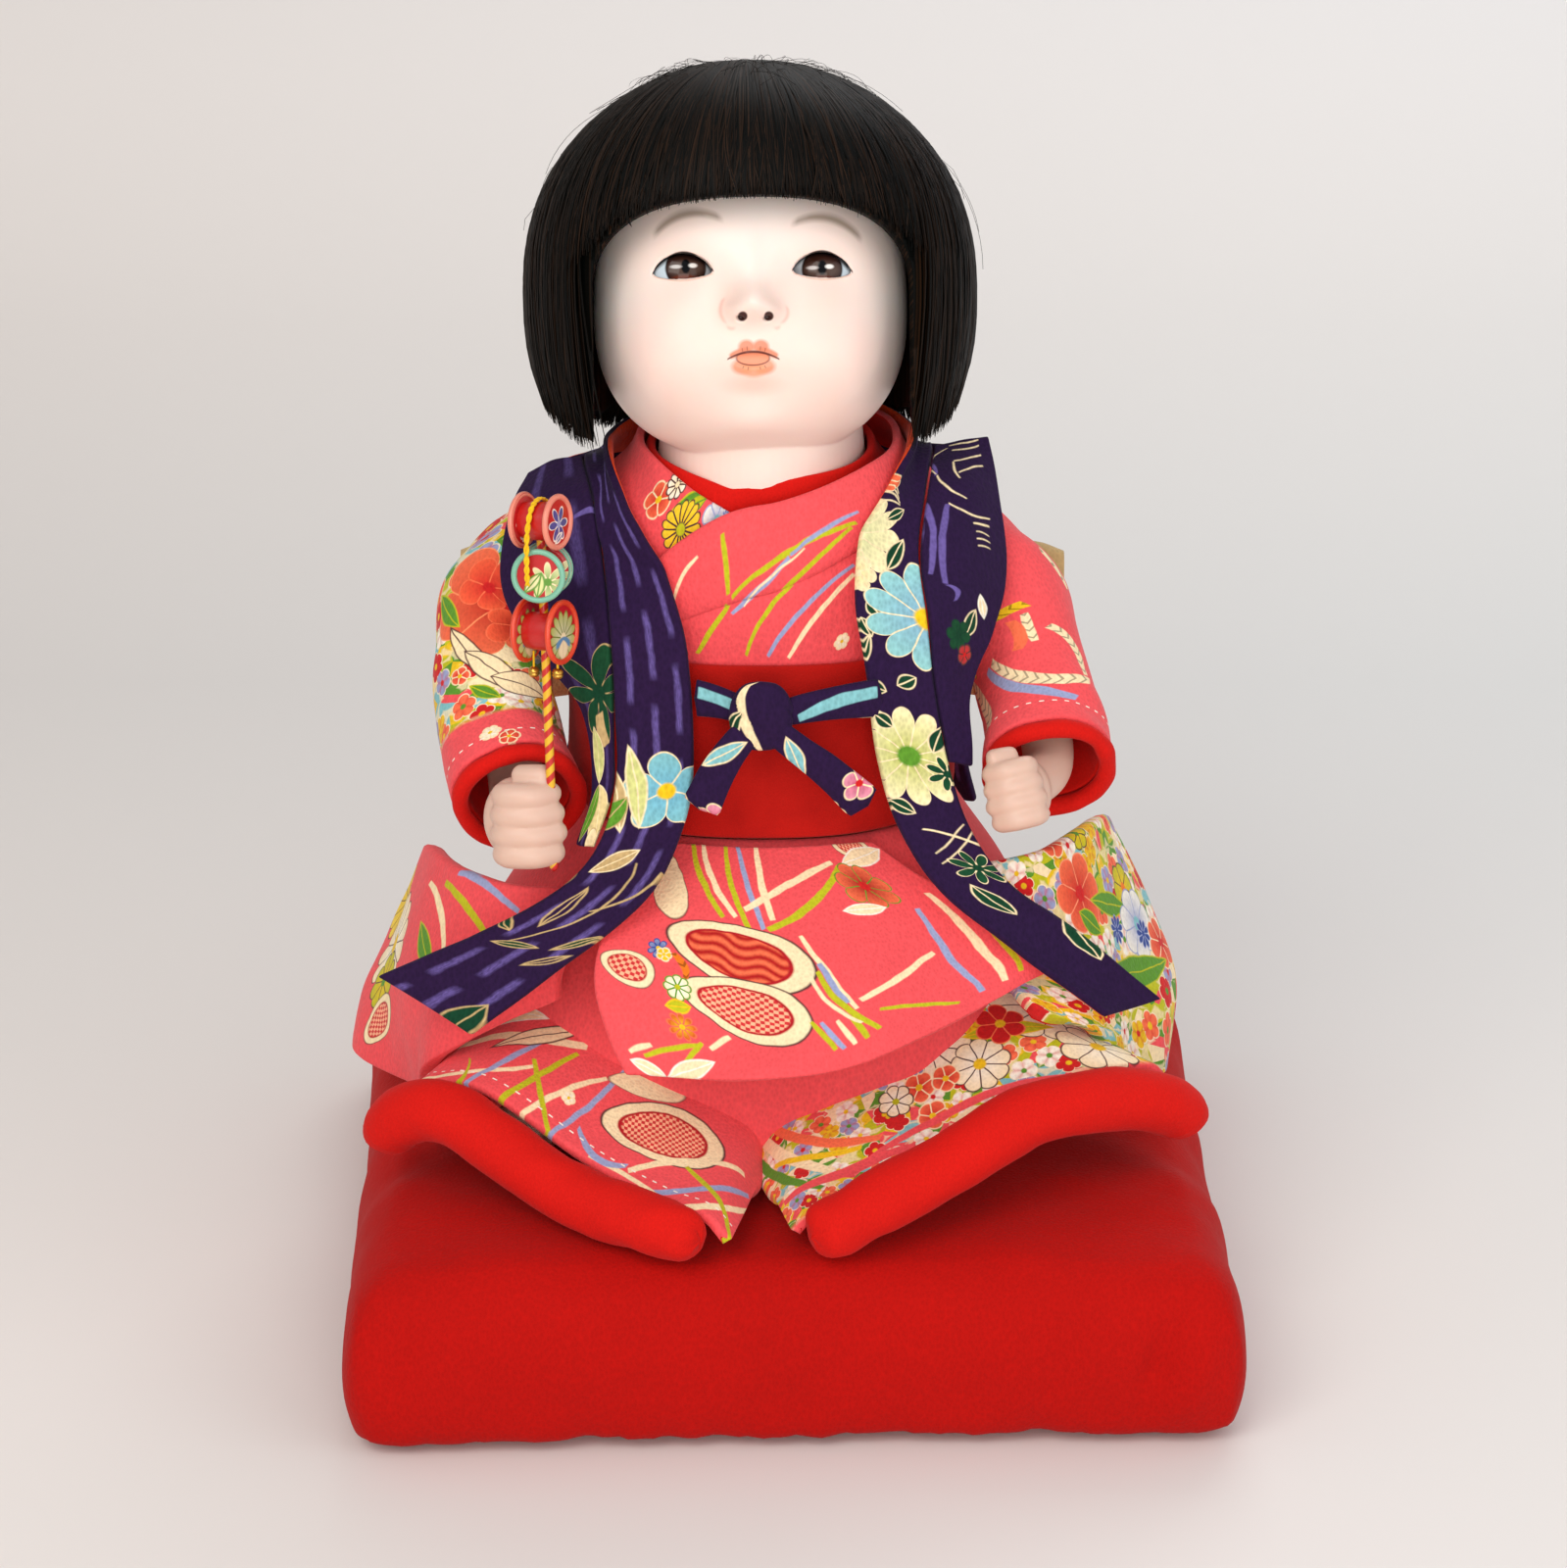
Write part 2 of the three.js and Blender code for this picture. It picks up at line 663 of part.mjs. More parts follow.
function tubeLine(name, along, grow) {
  const { bodyOuter, bodyTip, hemOuter, hemTip } = tubePlanShares[name];
  const flat = (a, b) => place([lerp(a[0], b[0], along), lerp(a[1], b[1], along), 0]);
  const [outer, tip] = [flat(bodyOuter, hemOuter), flat(bodyTip, hemTip)];
  const run = tip.clone().sub(outer).normalize();
  outer.addScaledVector(run, -grow);
  tip.addScaledVector(run, grow);
  return { outer, tip, run };
}

function tubeRing(name, along, grow) {
  const { outer, tip } = tubeLine(name, along, grow);
  const s = THREE.MathUtils.clamp(along, 0, 1);
  const top = tubeSectionShares.map(([across, atBody, atHem]) => outer.clone().lerp(tip, across)
    .add(new THREE.Vector3(0, 0, lerp(atBody, atHem, s ** 0.8) * clothHeight + grow)));
  const bottom = [0.97, 0.7, 0.4, 0.03].map((across) => outer.clone().lerp(tip, across)
    .add(new THREE.Vector3(0, 0, -grow)));
  return [...top, ...bottom];
}

function tubeSolid(name, grow, to = 1) {
  const steps = [tubeFromShare, 0, 0.3, 0.65, to];
  return loft(steps.map((along) => tubeRing(name, along, grow)));
}

const cavityShares = [0.07, 0.13, 0.24, 0.36, 0.48, 0.58];

function tubeCavity(name) {
  return loft([tubeFromShare * 1.3, 0, 0.3, 0.65, 1.2].map((along) => {
    const { outer, tip } = tubeLine(name, along, 0);
    const s = THREE.MathUtils.clamp(along, 0, 1);
    const top = cavityShares.map((across) => {
      const [atBody, atHem] = readTable(tubeSectionShares, across);
      return outer.clone().lerp(tip, across)
        .add(new THREE.Vector3(0, 0, lerp(atBody, atHem, s ** 0.8) * clothHeight - skirtWall));
    });
    const bottom = [...cavityShares].reverse().map((across) => outer.clone().lerp(tip, across)
      .add(new THREE.Vector3(0, 0, skirtWall)));
    return [...top, ...bottom];
  }));
}

// A leg's stations: distance along its axis and radius, as shares of the leg's length and the thigh's radius.
const legShares = [
  [0, 0.70],
  [0.06, 0.95],
  [0.25, 1],
  [0.42, 0.92],
  [0.52, 0.80],
  [0.62, 0.84],
  [0.72, 0.78],
];
const legHipShares = [0.29, -0.10, 0.115];
const legAnkleShares = [0.62, -0.60, 0.06];
const legFootShare = 0.92;
const legSides = 10;

function legAxis(side) {
  const hip = place([side * legHipShares[0], legHipShares[1], legHipShares[2]]);
  const ankle = place([side * legAnkleShares[0], legAnkleShares[1], legAnkleShares[2]]);
  return { hip, ankle, ahead: ankle.clone().sub(hip).normalize(), length: ankle.clone().sub(hip).length() };
}

function legRings(side, grow, runOn = 0) {
  const { hip, ahead, length } = legAxis(side);
  const points = legShares.map(([t]) => hip.clone().addScaledVector(ahead, t * length));
  const radii = legShares.map(([, r]) => [r * thighRadius, r * thighRadius]);
  if (runOn > 0) {
    points.push(hip.clone().addScaledVector(ahead, length + runOn));
    radii.push([thighRadius, thighRadius]);
    points.unshift(hip.clone().addScaledVector(ahead, -grow * 2));
    radii.unshift([thighRadius * 0.7, thighRadius * 0.7]);
  }
  return pathRings(points, radii, legSides, new THREE.Vector3(0, 0, 1), grow);
}

function buildLegs() {
  [['right', -1], ['left', 1]].forEach(([name, side]) => {
    const { hip, ahead, length } = legAxis(side);
    const split = 0.42;
    const rings = legRings(side, 0);
    const kneeIndex = legShares.findIndex(([t]) => t >= split);
    add(`thigh_${name}`, loft(rings.slice(0, kneeIndex + 1)), finishes.clothWhite);
    const start = hip.clone().addScaledVector(ahead, split * length + clearance);
    const lower = legShares.slice(kneeIndex);
    const points = lower.map(([t], i) => (i === 0 ? start : hip.clone().addScaledVector(ahead, t * length)));
    const radii = lower.map(([, r]) => [r * thighRadius, r * thighRadius]);
    const calf = loft(pathRings(points, radii, legSides, new THREE.Vector3(0, 0, 1)));
    const heel = hip.clone().addScaledVector(ahead, legFootShare * length);
    const turn = new THREE.Euler(0, 0, Math.atan2(ahead.y, ahead.x));
    const foot = ball(heel, new THREE.Vector3(footRadius * 1.5, footRadius, footRadius * 0.85), 10, turn);
    const across = new THREE.Vector3(-ahead.y, ahead.x, 0);
    const toes = [-1, -0.45, 0.05, 0.5, 0.9].map((k, i) => {
      const size = footRadius * (i === (side > 0 ? 4 : 0) ? 0.30 : 0.22);
      const tip = heel.clone()
        .addScaledVector(ahead, footRadius * (1.35 - 0.25 * Math.abs(k)))
        .addScaledVector(across, k * footRadius * 0.62);
      return ball(tip, new THREE.Vector3(size * 1.5, size * 1.2, size * 1.4), 6, turn);
    });
    add(`lower_leg_${name}`, join(calf, foot, ...toes), finishes.shellWhite);
  });
}

function skirtSolid(grow) {
  const heights = skirtShares.map(([h]) => h);
  const rings = heights.map((h) => outlineRing(skirtShares, h, grow, 24));
  return loft(rings);
}

// The roll that edges each skirt tube: its course as shares of the cloth box, and its girth.
const hemPadShares = {
  right: [
    [-1.040, -0.655, 0.040, 0.75],
    [-1.015, -0.680, 0.062, 0.95],
    [-0.975, -0.710, 0.088, 1],
    [-0.910, -0.745, 0.106, 1],
    [-0.830, -0.795, 0.108, 1],
    [-0.745, -0.850, 0.092, 1],
    [-0.630, -0.925, 0.066, 1],
    [-0.520, -0.995, 0.044, 1],
    [-0.390, -1.075, 0.036, 1],
    [-0.260, -1.160, 0.033, 0.95],
    [-0.160, -1.225, 0.030, 0.80],
  ],
  left: [
    [1.175, -0.580, 0.040, 0.75],
    [1.150, -0.600, 0.064, 0.95],
    [1.090, -0.640, 0.090, 1],
    [0.985, -0.705, 0.112, 1],
    [0.850, -0.785, 0.124, 1],
    [0.710, -0.865, 0.122, 1],
    [0.580, -0.940, 0.100, 1],
    [0.440, -1.020, 0.074, 1],
    [0.310, -1.095, 0.054, 1],
    [0.200, -1.165, 0.038, 0.95],
    [0.135, -1.205, 0.032, 0.80],
  ],
};

function buildSkirt() {
  const cavity = torsoRings(torsoHeightShares.slice(0, 4), layerGap);
  cavity[0].forEach((p) => p.setZ(p.z - clearance));
  const legBores = [-1, 1].map((side) => loft(legRings(side, legClearance, cutOverrun * 2)));
  add('skirt_seat', cut(skirtSolid(0), loft(cavity), ...legBores), finishes.pinkCrepe);
  const seatKeepOut = skirtSolid(clearance);
  const farSide = (side) => {
    const box = new THREE.BoxGeometry(clothHalfWidth, clothHalfDepth * 2, clothHeight);
    box.deleteAttribute('normal');
    box.deleteAttribute('uv');
    return mergeVertices(box.translate(
      bodyX - side * (clothHalfWidth / 2 - clearance),
      bodyY - clothHalfDepth,
      clothHeight / 2,
    ));
  };
  [['right', -1], ['left', 1]].forEach(([name, side]) => {
    const shell = cut(
      tubeSolid(name, 0),
      tubeCavity(name),
      seatKeepOut,
      farSide(side),
      loft(legRings(side, legClearance, cutOverrun * 2)),
    );
    add(`skirt_leg_${name}`, shell, finishes.pinkCrepe);
    const course = hemPadShares[name];
    const steps = 18;
    const path = smooth(course.map(place), steps);
    const radii = path.map((_, i) => {
      const t = (i / steps) * (course.length - 1);
      const k = Math.min(Math.floor(t), course.length - 2);
      const end = i === 0 || i === steps ? 0.6 : 1;
      const r = lerp(course[k][3], course[k + 1][3], t - k) * hemPadRadius * end;
      return [r, r];
    });
    path.forEach((p, i) => p.setZ(Math.max(p.z, seatHeight + radii[i][0])));
    const roll = loft(pathRings(path, radii, 8, new THREE.Vector3(0, 0, 1)));
    add(`hem_pad_${name}`, cut(roll, tubeSolid(name, clearance, 1 + clearance / clothHalfDepth)), finishes.redLining);
  });
}

// The overlap of the kimono's front, laid across both thighs.
const lapShares = [
  [[-0.28, -0.46, 0.450], [0.01, -0.50, 0.450], [0.30, -0.46, 0.450]],
  [[-0.35, -0.57, 0.418], [0.02, -0.62, 0.415], [0.44, -0.54, 0.415]],
  [[-0.42, -0.69, 0.378], [0.06, -0.74, 0.362], [0.62, -0.56, 0.376]],
  [[-0.45, -0.80, 0.320], [0.11, -0.85, 0.305], [0.75, -0.57, 0.336]],
  [[-0.41, -0.89, 0.258], [0.16, -0.92, 0.256], [0.80, -0.58, 0.312]],
  [[-0.36, -0.95, 0.214], [0.16, -0.98, 0.222], [0.80, -0.60, 0.288]],
];

const lapFoldSkewShare = 0.5;

function buildLap() {
  const grid = folded(netGrid(placeNet(lapShares), 9, 9), lapFoldDepth, lapFoldCount, lapFoldSkewShare);
  const sheet = clothSheet(grid, -kimonoWall);
  const keepOut = ['right', 'left'].map((name) => tubeSolid(name, clearance * 2));
  add('skirt_overlap', cut(sheet, skirtSolid(clearance), ...keepOut), finishes.pinkCrepe);
}

// Sleeve drops: columns run from the lap round to the back, rows from top to bottom.
const bagRightShares = [
  [[-0.50, -0.52, 0.395], [-0.68, -0.50, 0.395], [-0.85, -0.33, 0.385], [-0.94, -0.06, 0.360], [-0.97, 0.20, 0.300]],
  [[-0.52, -0.60, 0.325], [-0.75, -0.58, 0.290], [-0.93, -0.38, 0.245], [-1.04, -0.08, 0.210], [-1.06, 0.20, 0.180]],
  [[-0.55, -0.64, 0.305], [-0.80, -0.60, 0.240], [-0.97, -0.38, 0.150], [-1.11, -0.08, 0.120], [-1.12, 0.20, 0.100]],
  [[-0.57, -0.67, 0.255], [-0.84, -0.58, 0.165], [-0.99, -0.36, 0.050], [-1.15, -0.06, 0.030], [-1.16, 0.22, 0.030]],
];
const bagLeftShares = [
  [[0.60, -0.48, 0.420], [0.76, -0.44, 0.430], [0.90, -0.26, 0.430], [0.97, -0.02, 0.400], [0.99, 0.22, 0.330]],
  [[0.62, -0.58, 0.310], [0.84, -0.52, 0.290], [1.00, -0.30, 0.260], [1.10, -0.02, 0.240], [1.10, 0.24, 0.210]],
  [[0.70, -0.62, 0.265], [0.92, -0.54, 0.220], [1.07, -0.32, 0.160], [1.17, -0.02, 0.140], [1.17, 0.24, 0.110]],
  [[0.74, -0.64, 0.235], [0.96, -0.54, 0.170], [1.08, -0.32, 0.060], [1.17, -0.02, 0.030], [1.17, 0.24, 0.030]],
];

const dropFoldSkewShare = 0.3;

function buildBags() {
  const keepOut = ['right', 'left'].map((side) => tubeSolid(side, clearance * 2));
  [['right', bagRightShares, -1], ['left', bagLeftShares, 1]].forEach(([name, shares, side]) => {
    const grid = folded(netGrid(placeNet(shares), 7, 13), dropFoldDepth, dropFoldCount, dropFoldSkewShare);
    const sheet = clothSheet(grid, side * bagWall, 0.5);
    add(`sleeve_drop_${name}`, cut(sheet, skirtSolid(clearance), ...keepOut), finishes.pinkCrepe);
  });
}

// Arms: stations of a sleeve, as shares of the cloth box from the body's axis, with its two radii.
const sleeveRightShares = [
  [[-0.505, -0.01, 0.795], [0.135, 0.140]],
  [[-0.600, -0.02, 0.775], [0.155, 0.165]],
  [[-0.720, -0.03, 0.722], [0.165, 0.190]],
  [[-0.735, -0.12, 0.640], [0.160, 0.195]],
  [[-0.715, -0.27, 0.560], [0.165, 0.205]],
  [[-0.665, -0.42, 0.515], [0.175, 0.215]],
];
const sleeveLeftShares = [
  [[0.537, -0.01, 0.795], [0.135, 0.140]],
  [[0.600, -0.02, 0.775], [0.150, 0.160]],
  [[0.690, -0.05, 0.724], [0.152, 0.175]],
  [[0.735, -0.12, 0.650], [0.158, 0.180]],
  [[0.765, -0.25, 0.590], [0.168, 0.190]],
  [[0.780, -0.38, 0.550], [0.180, 0.195]],
];
const sleeveSides = 14;
const sleeveSteps = 7;
const sleeveCreaseShares = [0, 0, 0.3, -1, 0.6, -0.8, 0.3, 0]; // ring by ring, out or in
const shoulderSteps = 3; // over which a sleeve turns from level to its own course

function sleeveRings(shares, grow) {
  const points = shares.map(([p]) => place(p));
  const path = smooth(points, sleeveSteps);
  return path.map((p, i) => {
    const t = (i / sleeveSteps) * (shares.length - 1);
    const k = Math.min(Math.floor(t), shares.length - 2);
    const [a, b] = [shares[k][1], shares[k + 1][1]];
    const before = path[Math.max(i - 1, 0)];
    const after = path[Math.min(i + 1, path.length - 1)];
    const ahead = after.clone().sub(before).normalize();
    const level = new THREE.Vector3(Math.sign(points[0].x - bodyX), 0, 0);
    ahead.lerpVectors(level, ahead, Math.min(i / shoulderSteps, 1)).normalize();
    const front = new THREE.Vector3(0, -1, 0.15);
    const side = ahead.clone().cross(front).normalize();
    const other = side.clone().cross(ahead).normalize();
    const crease = sleeveCreaseShares[i] * (sleeveFoldDepth / 2);
    const sideRadius = lerp(a[0], b[0], t - k) * clothHalfWidth + grow + crease;
    const otherRadius = lerp(a[1], b[1], t - k) * clothHalfDepth + grow + crease;
    return ovalRing(p, side, other, sideRadius, otherRadius, sleeveSides, 2.2);
  });
}

const fistRightShares = [-0.635, -0.665, 0.520];
const fistLeftShares = [0.690, -0.605, 0.550];

// A fist's pieces in shares of its size: across, ahead and up.
const palmShares = [0.15, -0.45, 0];
const palmRadiusShares = [0.96, 0.72, 1.18];
const fingerShares = {
  radius: 0.37,
  pitch: 0.54,
  course: [[0.75, -0.1], [0.45, 0.3], [-0.3, 0.44], [-0.85, 0.12], [-1.12, -0.1]],
  girth: [0.8, 1, 1, 0.95, 0.5],
};
const thumbShares = { radius: 0.33, from: [0.25, -0.25, 1.2], to: [-0.72, 0.12, 1.28] };
const wristShares = { radius: 0.76, start: [0.3, -0.6, 0], neck: 0.84 };

/** A closed fist about a grip axis; the fingers stack along up. */
function fist(centre, side, ahead, up, wrist) {
  const turn = new THREE.Euler().setFromRotationMatrix(new THREE.Matrix4().makeBasis(side, ahead, up));
  const at = (x, y, z) => centre.clone()
    .addScaledVector(side, x * fistSize)
    .addScaledVector(ahead, y * fistSize)
    .addScaledVector(up, z * fistSize);
  const palm = ball(at(...palmShares), new THREE.Vector3(...palmRadiusShares).multiplyScalar(fistSize), 10, turn);
  const { radius, pitch } = fingerShares;
  const fingers = [1.5, 0.5, -0.5, -1.5].map((k) => {
    const shorter = 1 - 0.08 * Math.abs(k + 0.3);
    const course = fingerShares.course.map(([x, y]) => at(x * shorter, y, k * pitch));
    const wall = radius * fistSize;
    return loft(pathRings(course, fingerShares.girth.map((g) => [g * wall, g * wall]), 6, up));
  });
  const thumb = capsule(at(...thumbShares.from), at(...thumbShares.to), thumbShares.radius * fistSize);
  const steps = 5;
  const forearm = loft(pathRings(
    smooth([at(...wristShares.start), ...wrist], steps),
    Array.from({ length: steps + 1 }, (_, i) => {
      const r = lerp(wristShares.radius * fistSize, elbowRadius * wristShares.neck, i / steps);
      return [r, r];
    }),
    10,
    up,
  ));
  const elbowBall = new THREE.Vector3(1, 1, 1).multiplyScalar(elbowRadius);
  return join(palm, ...fingers, thumb, forearm, ball(wrist[wrist.length - 1], elbowBall, elbowSegments));
}

const rattleLeanShares = [0.028, -0.155, -1]; // down the stick from its top
const gripShare = 0.875; // how far down the stick the fist holds it
const gripOffsetShares = [0.78, -0.30, 0];

function rattleAxis() {
  const down = new THREE.Vector3(...rattleLeanShares).normalize();
  const grip = place(fistRightShares)
    .addScaledVector(new THREE.Vector3(...gripOffsetShares), fistSize);
  const top = grip.clone().addScaledVector(down, -gripShare * rattleStickLength);
  const foot = top.clone().addScaledVector(down, rattleStickLength);
  return { grip, foot, top, down };
}

const elbowSegments = 12;
const elbowStep = 4; // the sleeve ring at which the upper arm ends

function buildArms() {
  const { foot, top, down } = rattleAxis();
  const bore = rod(foot, top, rattleStickRadius + gripClearance, 8);
  const sets = [
    ['right', -1, sleeveRightShares, fistRightShares],
    ['left', 1, sleeveLeftShares, fistLeftShares],
  ];
  sets.forEach(([name, sign, shares, fistShares]) => {
    const outer = sleeveRings(shares, 0);
    const inner = sleeveRings(shares, -sleeveWall);
    add(`sleeve_${name}`, sleeveLoft(outer, inner), finishes.pinkCrepe);
    const keep = 3;
    const liningOuter = sleeveRings(shares, -sleeveWall - clearance * 2).slice(-keep);
    const liningInner = sleeveRings(shares, -sleeveWall - clearance * 2 - liningWall).slice(-keep);
    add(`sleeve_lining_${name}`, sleeveLoft(liningOuter, liningInner), finishes.redLining);
    const cuffEnd = outer[outer.length - 1];
    const middleOf = (ring) => ring.reduce((sum, p) => sum.add(p), new THREE.Vector3()).divideScalar(ring.length);
    const cuffCentre = middleOf(cuffEnd);
    const out = cuffCentre.clone().sub(middleOf(outer[outer.length - 2])).normalize();
    const cuffSteps = 6;
    const cuffRings = Array.from({ length: cuffSteps }, (_, k) => {
      const angle = (k / cuffSteps) * tau;
      return cuffEnd.map((p) => p.clone()
        .addScaledVector(cuffCentre.clone().sub(p).normalize(), sleeveWall * (0.9 + Math.cos(angle)))
        .addScaledVector(out, clearance + sleeveWall * (1 + Math.sin(angle))));
    });
    const triangles = [];
    cuffRings.forEach((_, i) => {
      band(triangles, i * sleeveSides, ((i + 1) % cuffSteps) * sleeveSides, sleeveSides);
    });
    add(`cuff_pad_${name}`, surface(cuffRings.flat(), triangles), finishes.redLining);
    const elbow = middleOf(outer[elbowStep]);
    const wristPoints = [place(shares[shares.length - 1][0]), elbow];
    const up = sign < 0 ? down.clone().negate() : new THREE.Vector3(-0.25, 0.35, 1).normalize();
    const side = new THREE.Vector3(sign, 0, 0).addScaledVector(up, -sign * up.x).normalize();
    const ahead = up.clone().cross(side).normalize();
    if (ahead.y > 0) ahead.negate();
    const solid = fist(place(fistShares), side, ahead, up, wristPoints);
    add(`hand_${name}`, sign < 0 ? cut(solid, bore) : solid, finishes.shellWhite);
    const arm = loft(sleeveRings(shares, -sleeveWall - clearance * 2).slice(1, elbowStep + 1));
    const socket = new THREE.Vector3(1, 1, 1).multiplyScalar(elbowRadius + clearance);
    add(`upper_arm_${name}`, cut(arm, ball(elbow, socket, elbowSegments)), finishes.clothWhite);
  });
}

// Rattle

const drumPlaceShares = [
  [0.028, topDrumRadius, 0.47],
  [0.168, middleDrumRadius, 1.73],
  [0.330, bottomDrumRadius, 0.455],
];

/** A small drum turned about an axis: two recessed faces, two rims and a barrel. */
function drum(centre, axis, radius, up) {
  const across = up.clone().cross(axis).normalize();
  const half = drumWidth / 2;
  const profile = [
    [-half + skinRecess, radius - rimWall],
    [-half, radius - rimWall],
    [-half, radius],
    [-half + rimWall, radius],
    [-half + rimWall, barrelRadius],
    [half - rimWall, barrelRadius],
    [half - rimWall, radius],
    [half, radius],
    [half, radius - rimWall],
    [half - skinRecess, radius - rimWall],
  ];
  return loft(profile.map(([along, r]) => ovalRing(centre.clone().addScaledVector(axis, along), across, up, r, r, 12)));
}

function buildRattle() {
  const { foot, top, down } = rattleAxis();
  const boreEnd = top.clone().addScaledVector(down, -boreClearance);
  const bore = rod(foot, boreEnd, rattleStickRadius + boreClearance, 10);
  add('rattle_stick', rod(foot, top, rattleStickRadius, 10), finishes.silkYellow);
  const across = new THREE.Vector3(1, 0, 0).addScaledVector(down, -down.x).normalize();
  const forward = across.clone().cross(down).normalize();
  if (forward.y > 0) forward.negate();
  const axisAt = (turn) => across.clone().multiplyScalar(Math.cos(turn)).addScaledVector(forward, Math.sin(turn));
  drumPlaceShares.forEach(([share, radius, turn], i) => {
    const centre = top.clone().addScaledVector(down, share * rattleStickLength);
    add(`drum_${i + 1}`, cut(drum(centre, axisAt(turn), radius, down), bore), finishes.lacquerRed);
  });
  const [, , topTurn] = drumPlaceShares[0];
  const topCentre = top.clone().addScaledVector(down, drumPlaceShares[0][0] * rattleStickLength);
  const fall = axisAt(topTurn + tau / 4);
  const drape = tasselDrapeShares.map(([out, drop]) => topCentre.clone()
    .addScaledVector(fall, out * drumWidth)
    .addScaledVector(down, drop * drumWidth));
  add('rattle_tassel', barAlong(drape, tasselRadius, 12, 6, axisAt(topTurn)), finishes.silkYellow);
  const low = top.clone().addScaledVector(down, drumPlaceShares[2][0] * rattleStickLength);
  [['right', -1], ['left', 1]].forEach(([name, sign]) => {
    const hang = low.clone()
      .addScaledVector(axisAt(drumPlaceShares[2][2]), sign * bellPlaceShares.out * drumWidth)
      .addScaledVector(down, barrelRadius + threadRadius + clearance * 2);
    const end = hang.clone().setZ(hang.z - threadLength);
    const threadRod = capsule(hang, end, threadRadius, 5);
    const bell = ball(end, new THREE.Vector3(1, 1, 1).multiplyScalar(bellRadius), 7);
    add(`bell_${name}`, join(threadRod, bell), finishes.brass);
  });
}

// The tassel's path over the top drum: out from the stick and down, in drum widths.
const tasselDrapeShares = [
  [0.67, 1.35],
  [0.67, 0.85],
  [0.60, 0.20],
  [0.36, -0.34],
  [0, -0.50],
  [-0.36, -0.34],
  [-0.60, 0.20],
  [-0.70, 0.90],
];
const bellPlaceShares = { out: 0.30 };

// Head. Its own axes are x to its left, y to its back and z up, tilted by the pitch.
const headShares = { up: 1.15, down: 0.97, nape: 0.80, front: 0.87, back: 1.0, outline: 2.4, depth: 2.1 };
// Relief of the face: across, up, spread across, spread up and height, in half widths.
const reliefShares = [
  [0, -0.03, 0.11, 0.12, 0.13],
  [0, 0.18, 0.10, 0.18, 0.03],
  [0.115, -0.075, 0.07, 0.06, 0.045],
  [-0.115, -0.075, 0.07, 0.06, 0.045],
  [0, -0.39, 0.19, 0.12, 0.05],
  [0.60, -0.41, 0.30, 0.30, 0.10],
  [-0.60, -0.41, 0.30, 0.30, 0.10],
  [0, -0.78, 0.20, 0.13, 0.07],
  [0, -0.91, 0.46, 0.045, -0.035],
  [0.455, 0.18, 0.22, 0.15, -0.05],
  [-0.455, 0.18, 0.22, 0.15, -0.05],
  [0, 0.56, 0.60, 0.30, 0.04],
];

function relief(x, z) {
  return reliefShares.reduce((sum, [cx, cz, sx, sz, height]) => (
    sum + height * Math.exp(-(((x - cx) / sx) ** 2) - ((z - cz) / sz) ** 2)
  ), 0);
}

/** How far forward the face is at x and z, all in half widths. */
function faceForward(x, z) {
  const vertical = z > 0 ? headShares.up : headShares.down;
  const inside = Math.abs(x) ** headShares.outline + Math.abs(z / vertical) ** headShares.outline;
  const rest = Math.max(1 - inside ** (headShares.depth / headShares.outline), 0) ** (1 / headShares.depth);
  return headShares.front * rest + relief(x, z);
}

const headTurn = new THREE.Matrix4()
  .makeRotationZ(headYaw)
  .multiply(new THREE.Matrix4().makeRotationX(-headPitch));

function headMatrix() {
  return new THREE.Matrix4()
    .makeTranslation(headX, headY, seatHeight + clothHeight + headRise)
    .multiply(headTurn);
}

/** A point of the head from its own axes. */
function headPoint(x, y, z) {
  return new THREE.Vector3(x, y, z).applyMatrix4(headMatrix());
}

const headColumnDegrees = [0, 8, 17, 27, 38, 52, 70, 92, 120, 150, 180, 210, 240, 268, 290, 308, 322, 333, 343, 352];
const headRowDegrees = [-78, -64, -52, -42, -33, -26, -19, -12, -5, 2, 9, 17, 27, 40, 56, 74];

